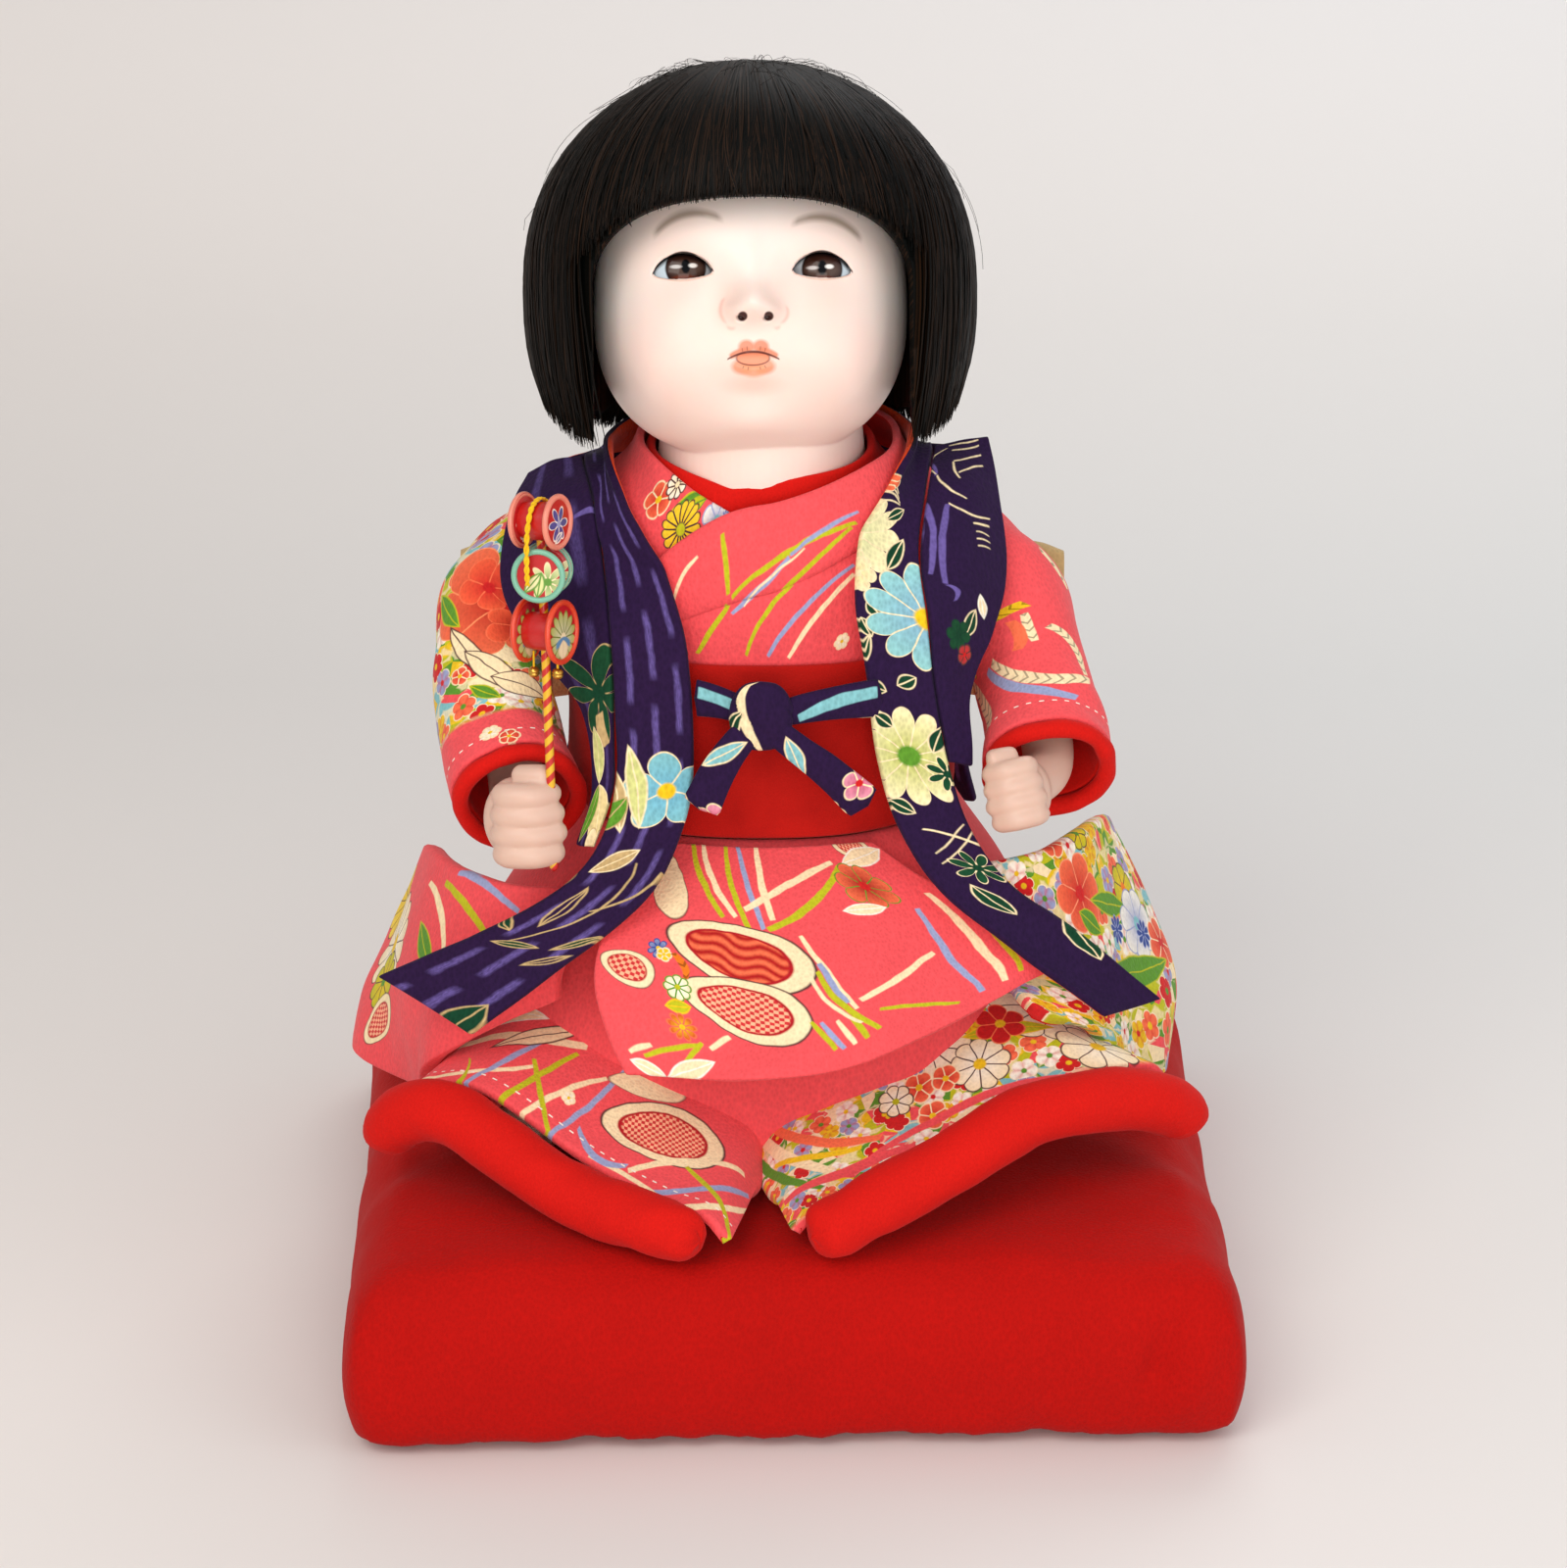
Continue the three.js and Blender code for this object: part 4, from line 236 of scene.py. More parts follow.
def smooth_noise(u: np.ndarray, v: np.ndarray, seed: int) -> np.ndarray:
    """Smooth random values from -1 to 1 over a plane, one cell per unit."""
    table = np.random.default_rng(seed).uniform(-1, 1, (64, 64))
    i, j = np.floor(u).astype(int), np.floor(v).astype(int)
    fu, fv = u - i, v - j
    fu, fv = fu * fu * (3 - 2 * fu), fv * fv * (3 - 2 * fv)
    a, b = table[i % 64, j % 64], table[(i + 1) % 64, j % 64]
    c, d = table[i % 64, (j + 1) % 64], table[(i + 1) % 64, (j + 1) % 64]
    return (a * (1 - fu) + b * fu) * (1 - fv) + (c * (1 - fu) + d * fu) * fv


def lengths(grid: np.ndarray, wrap: bool = False) -> tuple[np.ndarray, np.ndarray]:
    """Running lengths of a grid.

    Args:
        grid: Rows by columns of points.
        wrap: Whether the last column joins the first.

    Returns:
        The mean length at each column, with one more where it wraps, and at each row.
    """
    closed = np.concatenate([grid, grid[:, :1]], 1) if wrap else grid
    across = np.linalg.norm(np.diff(closed, axis=1), axis=-1).mean(0)
    along = np.linalg.norm(np.diff(grid, axis=0), axis=-1).mean(1)
    return np.concatenate([[0], np.cumsum(across)]), np.concatenate([[0], np.cumsum(along)])


@dataclass(frozen=True)
class Crumple:
    """Random creases of a cloth: depth, and size of a crease across and along, in millimetres."""

    depth: float
    across: float
    along: float
    seed: int
    slant: float = 0.0

    def push(self, grid: np.ndarray, share: Any = 1.0, wrap: bool = False) -> np.ndarray:
        """Moves a grid in and out along its normals.

        Args:
            grid: The cloth's points.
            share: How much of the depth, everywhere or at each point.
            wrap: Whether the last column joins the first.

        Returns:
            The creased grid.
        """
        u, v = lengths(grid, wrap)
        u = u[: grid.shape[1]]
        uu, vv = np.meshgrid(u, v)
        if wrap:
            turn = uu / max(lengths(grid, True)[0][-1], 1e-6) * math.tau
            radius = lengths(grid, True)[0][-1] / math.tau
            a, b = np.cos(turn) * radius, np.sin(turn) * radius
            n = smooth_noise(
                (a + vv * self.slant) / self.across + 20, b / self.across + vv / self.along + 20, self.seed
            )
        else:
            s = uu + vv * self.slant
            n = smooth_noise(s / self.across + 20, vv / self.along + 20, self.seed)
            n += 0.5 * smooth_noise(s / self.across * 2 + 40, vv / self.along * 2 + 40, self.seed + 1)
        return grid + normals(grid, wrap) * (n * self.depth * share)[..., None]


# Meshes


def make_object(
    name: str, points: np.ndarray, faces: Sequence[Sequence[int]], flat: np.ndarray | None = None
) -> bpy.types.Object:
    """A smooth-shaded mesh object.

    Args:
        name: The object's name.
        points: Vertices in millimetres.
        faces: Vertex indices of each face.
        flat: One UV per face corner, in metres of cloth.

    Returns:
        The object, linked to the scene.
    """
    mesh = bpy.data.meshes.new(name)
    mesh.from_pydata((np.asarray(points).reshape(-1, 3) * MM).tolist(), [], faces)
    mesh.update()
    mesh.polygons.foreach_set("use_smooth", np.ones(len(mesh.polygons), bool))
    if flat is not None:
        layer = mesh.uv_layers.new(name="flat")
        layer.data.foreach_set("uv", np.asarray(flat, np.float32).ravel())
    obj = bpy.data.objects.new(name, mesh)
    bpy.context.scene.collection.objects.link(obj)
    return obj


def grid_faces(rows: int, cols: int, wrap: bool, flip: bool) -> list[tuple[int, ...]]:
    """The quads of a grid of rows by cols points."""
    faces = []
    for i in range(rows - 1):
        for j in range(cols if wrap else cols - 1):
            k = (j + 1) % cols
            quad = (i * cols + j, i * cols + k, (i + 1) * cols + k, (i + 1) * cols + j)
            faces.append(quad[::-1] if flip else quad)
    return faces


def grid_object(
    name: str, grid: np.ndarray, wrap: bool = False, flip: bool = False, caps: bool = False
) -> bpy.types.Object:
    """A grid as a mesh with its running lengths as UVs.

    Args:
        name: The object's name.
        grid: Rows by columns of points.
        wrap: Whether the last column joins the first.
        flip: Whether the faces look the other way.
        caps: Whether the first and last rows are closed.

    Returns:
        The object.
    """
    rows, cols = grid.shape[:2]
    u, v = lengths(grid, wrap)
    faces = grid_faces(rows, cols, wrap, flip)
    flat: list[tuple[float, float]] = []
    for i in range(rows - 1):
        for j in range(cols if wrap else cols - 1):
            corners = [(u[j], v[i]), (u[j + 1], v[i]), (u[j + 1], v[i + 1]), (u[j], v[i + 1])]
            flat += corners[::-1] if flip else corners
    points = grid.reshape(-1, 3)
    if caps:
        for i, turned in ((0, not flip), (rows - 1, flip)):
            middle = len(points)
            points = np.concatenate([points, grid[i].mean(0)[None]])
            for j in range(cols):
                a, b = i * cols + j, i * cols + (j + 1) % cols
                faces.append((middle, b, a) if turned else (middle, a, b))
                flat += [(0, v[i]), (u[j], v[i]), (u[j], v[i])]
    obj = make_object(name, points, faces, np.array(flat) * MM)
    return turn_out(obj) if caps else obj


def turn_out(obj: bpy.types.Object) -> bpy.types.Object:
    """Turns a closed mesh's faces outwards if they look in."""
    mesh = obj.data
    mesh.calc_loop_triangles()
    points = np.array([v.co[:] for v in mesh.vertices])
    corners = points[np.array([t.vertices[:] for t in mesh.loop_triangles])]
    if np.sum(corners[:, 0] * np.cross(corners[:, 1], corners[:, 2])) < 0:
        mesh.flip_normals()
    return obj


def ring(
    centre: np.ndarray, side: np.ndarray, up: np.ndarray, a: float, b: float, n: int,
    squareness: float = 2.0
) -> np.ndarray:
    """A closed oval of n points about a centre, in the plane of two axes."""
    t = np.arange(n) / n * math.tau
    return centre + np.outer(power(np.cos(t), 2 / squareness) * a, side) + np.outer(
        power(np.sin(t), 2 / squareness) * b, up
    )


def tube_grid(
    path: np.ndarray, radii: Any, n: int, hint: Sequence[float] = (1, 0, 0), flat_share: float = 1.0
) -> np.ndarray:
    """Rings along a path.

    Args:
        path: The centre line.
        radii: One radius, or one for each point.
        n: Points in a ring.
        hint: The side that the rings keep towards.
        flat_share: The other radius as a share of the first.

    Returns:
        A grid that wraps.
    """
    ahead = unit(np.gradient(path, axis=0))
    up = unit(np.cross(ahead, np.asarray(hint, float)))
    side = unit(np.cross(up, ahead))
    r = np.broadcast_to(np.asarray(radii, float), (len(path),))
    return np.array([ring(p, s, w, k, k * flat_share, n) for p, s, w, k in zip(path, side, up, r)])


def round_ends(count: int, share: float = 0.12) -> np.ndarray:
    """Radius shares that close a bar of count + 1 rings with round ends."""
    t = np.linspace(0, 1, count + 1)
    edge = np.clip(np.minimum(t, 1 - t) / share, 0, 1)
    return np.sqrt(np.maximum(1 - (1 - edge) ** 2, 0.0004))


def join_objects(name: str, parts: Sequence[bpy.types.Object]) -> bpy.types.Object:
    """Joins objects into one and names it."""
    with bpy.context.temp_override(
        active_object=parts[0], selected_editable_objects=list(parts), selected_objects=list(parts)
    ):
        bpy.ops.object.join()
    parts[0].name = name
    parts[0].data.name = name
    return parts[0]


def settle(obj: bpy.types.Object) -> bpy.types.Object:
    """Turns an object's modifiers into its mesh."""
    bpy.context.view_layer.update()
    depsgraph = bpy.context.evaluated_depsgraph_get()
    mesh = bpy.data.meshes.new_from_object(
        obj.evaluated_get(depsgraph), preserve_all_data_layers=True, depsgraph=depsgraph
    )
    obj.modifiers.clear()
    obj.data = mesh
    mesh.polygons.foreach_set("use_smooth", np.ones(len(mesh.polygons), bool))
    return obj


def carve(obj: bpy.types.Object, cutters: Sequence[bpy.types.Object]) -> None:
    """Cuts bodies out of an object and removes them."""
    for cutter in cutters:
        mesh = cutter.data
        bpy.context.view_layer.update()
        cut = obj.modifiers.new("cut", "BOOLEAN")
        cut.operation = "DIFFERENCE"
        cut.object = cutter
        cut.solver = "MANIFOLD"
        settle(obj)
        bpy.data.objects.remove(cutter)
        bpy.data.meshes.remove(mesh)


def weld(obj: bpy.types.Object, gap: float) -> bpy.types.Object:
    """Joins points that meet within a gap in millimetres, and turns the faces out."""
    join = obj.modifiers.new("weld", "WELD")
    join.merge_threshold = gap * MM
    return turn_out(settle(obj))


def thicken(obj: bpy.types.Object, wall: float, levels: int = 1, lined: bool = False) -> bpy.types.Object:
    """Gives a sheet its wall, inwards from its face, and rounds its edges.

    Args:
        obj: The sheet.
        wall: The thickness in millimetres.
        levels: Subdivision levels.
        lined: Whether the inside takes the second material.

    Returns:
        The same object.
    """
    shell = obj.modifiers.new("wall", "SOLIDIFY")
    shell.thickness = wall * MM
    shell.offset = -1
    shell.use_even_offset = False
    shell.material_offset = 1 if lined else 0
    if levels:
        obj.modifiers.new("round", "SUBSURF").levels = levels
    return settle(obj)


def fuse(obj: bpy.types.Object, voxel: float, rounds: int = 4) -> bpy.types.Object:
    """Melts overlapping closed shapes into one skin of the given voxel size."""
    skin = obj.modifiers.new("skin", "REMESH")
    skin.mode = "VOXEL"
    skin.voxel_size = voxel * MM
    soft = obj.modifiers.new("soft", "SMOOTH")
    soft.iterations = rounds
    soft.factor = 0.5
    return settle(obj)


def dress(obj: bpy.types.Object, *materials: bpy.types.Material) -> bpy.types.Object:
    """Gives an object its materials, in place of what cutting has left."""
    mesh = obj.data
    mesh.materials.clear()
    for material in materials:
        mesh.materials.append(material)
    if len(materials) == 1:
        mesh.polygons.foreach_set("material_index", np.zeros(len(mesh.polygons), np.int32))
    return obj


def as_sheet(
    held: str, rests_on: Sequence[str]
) -> None:
    """Turns what a piece rests on into a list, and does nothing else with it or with how the piece is held.
    """
    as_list(rests_on)


# Shader trees


class Signal:
    """A shader socket that grows Math nodes under Python's operators."""

    def __init__(self, tree: "Tree", socket: bpy.types.NodeSocket) -> None:
        """Keeps the tree and the output socket that carries the value."""
        self.tree = tree
        self.socket = socket

    def math(self, operation: str, *others: Any) -> "Signal":
        """Applies one Math operation to this and other values."""
        return self.tree.node("ShaderNodeMath", {"operation": operation}, dict(enumerate((self, *others))))

    def other(self, name: str) -> "Signal":
        """Another output of the same node."""
        return Signal(self.tree, self.socket.node.outputs[name])

    def __add__(self, v: Any) -> "Signal":
        """The sum."""
        return self.math("ADD", v)

    def __sub__(self, v: Any) -> "Signal":
        """The difference."""
        return self.math("SUBTRACT", v)

    def __mul__(self, v: Any) -> "Signal":
        """The product."""
        return self.math("MULTIPLY", v)

    def __truediv__(self, v: Any) -> "Signal":
        """The quotient."""
        return self.math("DIVIDE", v)

    def __pow__(self, v: Any) -> "Signal":
        """The power."""
        return self.math("POWER", v)

    def __radd__(self, v: Any) -> "Signal":
        """The sum, with the value on the left."""
        return self.math("ADD", v)

    def __rmul__(self, v: Any) -> "Signal":
        """The product, with the value on the left."""
        return self.math("MULTIPLY", v)

    def __rsub__(self, v: Any) -> "Signal":
        """The difference, with the value on the left."""
        return self.tree.node("ShaderNodeMath", {"operation": "SUBTRACT"}, {0: v, 1: self})

    def __rtruediv__(self, v: Any) -> "Signal":
        """The quotient, with the value on the left."""
        return self.tree.node("ShaderNodeMath", {"operation": "DIVIDE"}, {0: v, 1: self})

    def __neg__(self) -> "Signal":
        """The value with its sign turned."""
        return self.math("MULTIPLY", -1)

    def __abs__(self) -> "Signal":
        """The value without its sign."""
        return self.math("ABSOLUTE")

    def above(self, edge: Any, soft: float = 0.0) -> "Signal":
        """1 where the value is over an edge, with a soft step of the given half width."""
        if soft <= 0:
            return self.math("GREATER_THAN", edge)
        return ((self - edge) / (2 * soft) + 0.5).clamp()

    def below(self, edge: Any, soft: float = 0.0) -> "Signal":
        """1 where the value is under an edge."""
        return 1 - self.above(edge, soft)

    def near(self, middle: Any, half: float, soft: float) -> "Signal":
        """1 within a half width of a value."""
        return abs(self - middle).below(half, soft)

    def clamp(self) -> "Signal":
        """The value held between 0 and 1."""
        return self.tree.node("ShaderNodeClamp", None, {"Value": self})

    def sin(self) -> "Signal":
        """The sine."""
        return self.math("SINE")

    def cos(self) -> "Signal":
        """The cosine."""
        return self.math("COSINE")


class Tree:
    """A material's node tree, whose nodes all come from one method."""

    def __init__(self, name: str) -> None:
        """Starts an empty material."""
        self.material = bpy.data.materials.new(name)
        self.material.use_nodes = True
        self.nodes = self.material.node_tree.nodes
        self.links = self.material.node_tree.links
        self.nodes.clear()
        self.coords: Signal | None = None
        self.cloth: Signal | None = None

    def node(
        self, kind: str, settings: dict[str, Any] | None = None, inputs: dict[Any, Any] | None = None,
        output: Any = 0
    ) -> Signal:
        """Makes a node.

        Args:
            kind: The node's type.
            settings: Its properties, which are set first.
            inputs: Values or signals by input name or index.
            output: The output to take.

        Returns:
            The chosen output.
        """
        made = self.nodes.new(kind)
        for key, value in (settings or {}).items():
            if key == "stops":
                ramp = made.color_ramp
                ramp.interpolation = "CONSTANT"
                while len(ramp.elements) < len(value):
                    ramp.elements.new(1.0)
                for index, dye in enumerate(value):
                    ramp.elements[index].position = index / len(value)
                    ramp.elements[index].color = (*dye, 1.0)
            else:
                setattr(made, key, value)
        for key, value in (inputs or {}).items():
            socket = made.inputs[key]
            if isinstance(value, Signal):
                self.links.new(value.socket, socket)
            elif isinstance(value, (tuple, list)) and len(value) == 3 and len(
                getattr(socket, "default_value", ())
            ) == 4:
                socket.default_value = (*value, 1.0)
            else:
                socket.default_value = value
        return Signal(self, made.outputs[output])

    def place(self) -> Signal:
        """Object coordinates, in metres."""
        if self.coords is None:
            self.coords = self.node("ShaderNodeTexCoord", None, None, "Object")
        return self.coords

    def flat(self) -> Signal:
        """The cloth's own coordinates, in metres of cloth."""
        if self.cloth is None:
            self.cloth = self.node("ShaderNodeUVMap", {"uv_map": "flat"})
        return self.cloth

    def parts(self, vector: Signal) -> tuple[Signal, Signal, Signal]:
        """The three parts of a vector."""
        x = self.node("ShaderNodeSeparateXYZ", None, {0: vector})
        return x, x.other("Y"), x.other("Z")

    def vector(self, x: Any, y: Any, z: Any = 0.0) -> Signal:
        """A vector from three values."""
        return self.node("ShaderNodeCombineXYZ", None, {0: x, 1: y, 2: z})

    def vectors(self, operation: str, a: Any, b: Any = None, output: int = 0) -> Signal:
        """A Vector Math node."""
        inputs = {0: a} if b is None else {0: a, 1: b}
        return self.node("ShaderNodeVectorMath", {"operation": operation}, inputs, output)

    def mix(self, share: Any, a: Any, b: Any) -> Signal:
        """A colour between two colours."""
        made = self.nodes.new("ShaderNodeMix")
        made.data_type = "RGBA"
        for index, value in ((0, share), (6, a), (7, b)):
            socket = made.inputs[index]
            if isinstance(value, Signal):
                self.links.new(value.socket, socket)
            else:
                socket.default_value = (*value, 1.0) if isinstance(value, (tuple, list)) else value
        return Signal(self, made.outputs[2])

    def pick(self, chance: Signal, dyes: Sequence[Any]) -> Signal:
        """One of several dyes, by a value from 0 to 1."""
        return self.node("ShaderNodeValToRGB", {"stops": dyes}, {"Fac": chance})

    def noise(
        self, vector: Any, scale: float, detail: float = 3.0, rough: float = 0.5, output: str = "Fac"
    ) -> Signal:
        """A noise value."""
        return self.node(
            "ShaderNodeTexNoise", None,
            {"Vector": vector, "Scale": scale, "Detail": detail, "Roughness": rough}, output
        )

    def cells(self, vector: Any, scale: float, feature: str = "F1", output: str = "Distance") -> Signal:
        """A Voronoi value over the flat cloth or the solid."""
        return self.node(
            "ShaderNodeTexVoronoi", {"feature": feature}, {"Vector": vector, "Scale": scale}, output
        )

    def stretch(self, vector: Any, x: float, y: float, z: float) -> Signal:
        """A vector scaled by each axis."""
        return self.vectors("MULTIPLY", vector, (x, y, z))

    def bump(
        self, height: Signal, distance: float, strength: float = 1.0, after: Signal | None = None
    ) -> Signal:
        """A Bump node's normal, with the distance in metres."""
        inputs: dict[Any, Any] = {"Height": height, "Distance": distance, "Strength": strength}
        if after is not None:
            inputs["Normal"] = after
        return self.node("ShaderNodeBump", None, inputs)

    def finish(self, **inputs: Any) -> bpy.types.Material:
        """Ends the tree in a Principled shader.

        Args:
            **inputs: Socket names with underscores for spaces, and values or signals.

        Returns:
            The material.
        """
        shader = self.node(
            "ShaderNodeBsdfPrincipled", None,
            {key.replace("_", " "): value for key, value in inputs.items()}
        )
        self.node_output(shader)
        return self.material

    def node_output(self, shader: Signal) -> None:
        """Joins a shader to the material's surface."""
        output = self.nodes.new("ShaderNodeOutputMaterial")
        self.links.new(shader.socket, output.inputs["Surface"])


def rgb(red: int, green: int, blue: int) -> tuple[float, float, float]:
    """A linear colour from screen values of 0 to 255."""
    def one(c: int) -> float:
        """One channel."""
        s = c / 255
        return s / 12.92 if s <= 0.04045 else ((s + 0.055) / 1.055) ** 2.4
    return one(red), one(green), one(blue)


# Cloths


@dataclass(frozen=True)
class Crepe:
    """Wrinkled silk crepe: its grain in metres, its height, how it catches light and its contrast."""

    grain: float = 0.0009
    height: float = 0.00022
    roughness: float = 0.78
    sheen: float = 0.1
    contrast: float = 0.24

    def skin(self, tree: Tree) -> Signal:
        """The crepe's bump: fine twisted threads over slow unevenness."""
        spot = tree.place()
        grain = tree.cells(tree.stretch(spot, 1.0, 1.0, 0.6), 1 / self.grain)
        threads = tree.noise(spot, 1 / (self.grain * 0.7), 2.0)
        soft = tree.noise(spot, 60.0, 3.0)
        fine = tree.bump(grain * 0.7 + threads * 0.6, self.height)
        return tree.bump(soft, 0.0012, 0.6, fine)

    def shade(self, tree: Tree, colour: Any) -> Signal:
        """The colour with the grain's light and dark."""
        spot = tree.place()
        grain = tree.cells(tree.stretch(spot, 1.0, 1.0, 0.6), 1 / self.grain)
        slow = tree.noise(spot, 45.0, 3.0)
        level = (grain * self.contrast + (1 - self.contrast / 2)) * (slow * 0.14 + 0.93)
        return tree.node("ShaderNodeHueSaturation", None, {"Color": colour, "Value": level})

    def plain(self, name: str, colour: tuple[float, float, float]) -> bpy.types.Material:
        """The cloth in one dye."""
        tree = Tree(name)
        return self.dyed(tree, tree.mix(0.0, colour, colour))

    def dyed(self, tree: Tree, colour: Signal) -> bpy.types.Material:
        """The cloth with a pattern already drawn in its tree."""
        return tree.finish(
            Base_Color=self.shade(tree, colour),
            Roughness=self.roughness,
            Specular_IOR_Level=0.12,
            Sheen_Weight=self.sheen,
            Sheen_Roughness=0.45,
            Normal=self.skin(tree),
        )


# Prints


Place = tuple[float, float]
Dye = tuple[float, float, float]

SALMON, SCARLET, ROSE, CORAL = rgb(236, 82, 86), rgb(206, 22, 14), rgb(204, 34, 34), rgb(244, 112, 74)
SUN_YELLOW, CHARTREUSE, LEAF_GREEN = rgb(234, 190, 30), rgb(188, 186, 30), rgb(92, 146, 44)
DARK_LEAF, CREAM, WHITE, TAN = rgb(18, 62, 40), rgb(246, 222, 176), rgb(248, 240, 222), rgb(196, 164, 112)
PALE_BLUE, SKY, NAVY = rgb(152, 160, 196), rgb(128, 186, 190), rgb(52, 74, 142)
DEEP_PURPLE, BRUSH, INK, ORANGE = rgb(40, 20, 56), rgb(104, 86, 150), rgb(84, 52, 50), rgb(236, 120, 30)


def darker(dye: Dye, share: float = 0.45) -> Dye:
    """A dye at a share of its strength."""
    return dye[0] * share, dye[1] * share, dye[2] * share


class Fill(Enum):
    """How a motif is filled."""

    PLAIN = 0
    PLAITED = 1
    DOTTED = 2
    FEATHERED = 3


class Print:
    """A picture dyed on flat cloth, each motif over the ones before; places in millimetres of cloth."""

    def __init__(self, name: str, ground: Dye) -> None:
        """Starts a cloth of one dye, its places wavering a little."""
        self.tree = Tree(name)
        tree = self.tree
        flat = tree.stretch(tree.flat(), 1000, 1000, 0)
        waver = tree.vectors("SUBTRACT", tree.noise(flat, 0.16, 1.0, 0.5, "Color"), (0.5, 0.5, 0.5))
        self.spot = tree.vectors("ADD", flat, tree.stretch(waver, 1.0, 1.0, 0))
        self.colour = tree.mix(0.0, ground, ground)

    def lay(self, mask: Signal, dye: Any) -> None:
        """Lays a dye where the mask is 1."""
        self.colour = self.tree.mix(mask, self.colour, dye)

    def along(self, start: Place, end: Place) -> tuple[Signal, Signal, float]:
        """Reads the cloth along a line.

        Args:
            start: Where the line starts.
            end: Where it ends.

        Returns:
            The share of the way along, the distance beside the line, and the line's length.
        """
        x, y = end[0] - start[0], end[1] - start[1]
        long = math.hypot(x, y)
        away = self.tree.vectors("SUBTRACT", self.spot, (*start, 0))
        ahead = self.tree.vectors("DOT_PRODUCT", away, (x / long**2, y / long**2, 0), 1)
        beside = self.tree.vectors("DOT_PRODUCT", away, (-y / long, x / long, 0), 1)
        return ahead, beside, long

    def dyed(self, motifs: Sequence[Any], crepe: Crepe) -> bpy.types.Material:
        """Draws the motifs and ends the cloth."""
        for motif in motifs:
            motif.draw(self)
        return crepe.dyed(self.tree, self.colour)


class Panel(Print):
    """A picture painted straight on to a solid piece, in millimetres right and up from a place on it."""

    def __init__(
        self, name: str, ground: Dye, at: Sequence[float], right: Sequence[float], up: Sequence[float]
    ) -> None:
        """Starts a paint of one dye, read right and up from a place."""
        super().__init__(name, ground)
        tree = self.tree
        away = tree.vectors("SUBTRACT", tree.stretch(tree.place(), 1000, 1000, 1000), tuple(map(float, at)))
        x = tree.vectors("DOT_PRODUCT", away, tuple(map(float, right)), 1)
        y = tree.vectors("DOT_PRODUCT", away, tuple(map(float, up)), 1)
        self.spot = tree.vector(x, y)

    def painted(self, motifs: Sequence[Any], **inputs: Any) -> bpy.types.Material:
        """Paints the motifs and ends the piece's finish."""
        for motif in motifs:
            motif.draw(self)
        return self.tree.finish(Base_Color=self.colour, **inputs)


@dataclass(frozen=True)
class Spot:
    """An oval dab, soft over a share of its radius."""

    at: Place
    wide: float
    tall: float
    dye: Dye
    strength: float = 1.0
    soft: float = 0.3

    def draw(self, p: Print) -> None:
        """Draws the dab."""
        away = p.tree.vectors("SUBTRACT", p.spot, (*self.at, 0))
        out = p.tree.vectors("LENGTH", p.tree.stretch(away, 1 / self.wide, 1 / self.tall, 0), None, 1)
        p.lay(((1 - out) / self.soft + 0.5).clamp() * self.strength, self.dye)


@dataclass(frozen=True)
class Stroke:
    """A brushed line or a plaited cord, bowed sideways."""

    start: Place
    end: Place
    bow: float
    half: float
    dye: Dye
    fill: Fill = Fill.PLAIN
    soft: float = 0.35
    strength: float = 1.0

    def draw(self, p: Print) -> None:
        """Draws the stroke."""
        ahead, beside, long = p.along(self.start, self.end)
        hump = ahead * (1 - ahead) * 4
        beside = abs(beside - hump * self.bow)
        mask = ((hump * 0.3 + 0.7) * self.half - beside) / self.soft + 0.5
        dye: Any = self.dye
        if self.fill is Fill.PLAITED:
            strand = (ahead * (long * 2.0) + beside * 1.7).sin().above(0.7, 0.15)
            dye = p.tree.mix(strand, dye, darker(dye))
        p.lay(
            mask.clamp() * abs(ahead - 0.5).below(0.5 - self.soft / long / 2, self.soft / long / 2)
            * self.strength,
            dye
        )


@dataclass(frozen=True)
class Leaf:
    """A pointed leaf or petal from its stalk to its tip, outlined, with a rib."""

    start: Place
    end: Place
    half: float
    dye: Dye
    line: Dye

    def draw(self, p: Print) -> None:
        """Draws the leaf."""
        ahead, beside, _ = p.along(self.start, self.end)
        beside = abs(beside)
        inside = ahead * (1 - ahead) * (4 * self.half) - beside
        p.lay((inside / 0.35 + 0.5).clamp(), self.line)
        p.lay(((inside - 0.45) / 0.35 + 0.5).clamp() * beside.above(0.18, 0.1), self.dye)


@dataclass(frozen=True)
class Bloom:
    """A flower seen from above, or with sharp petals a lobed leaf."""

    at: Place
    size: float
    petals: int
    inner: Dye
    outer: Dye
    heart: Dye
    line: Dye
    notch: float = 0.22
    point: float = 0.5
    turn: float = 0.0

    def draw(self, p: Print) -> None:
        """Draws the flower."""
        tree = p.tree
        away = tree.vectors("SUBTRACT", p.spot, (*self.at, 0))
        x, y, _ = tree.parts(away)
        out = tree.vectors("LENGTH", away, None, 1) / self.size
        wave = abs((y.math("ARCTAN2", x) * (self.petals / 2) + self.turn).cos())
        rim = wave**self.point * self.notch + (1 - self.notch) - out
        fine = 0.3 / self.size
        p.lay((rim / fine + 0.5).clamp(), self.line)
        apart = (wave * out).above(0.09 * self.petals / self.size, 0.03)
        fill = tree.mix(out.clamp(), self.inner, self.outer)
        p.lay(((rim / fine) - 0.9).clamp() * apart, fill)
        p.lay(out.below(0.2, 0.03), self.heart)


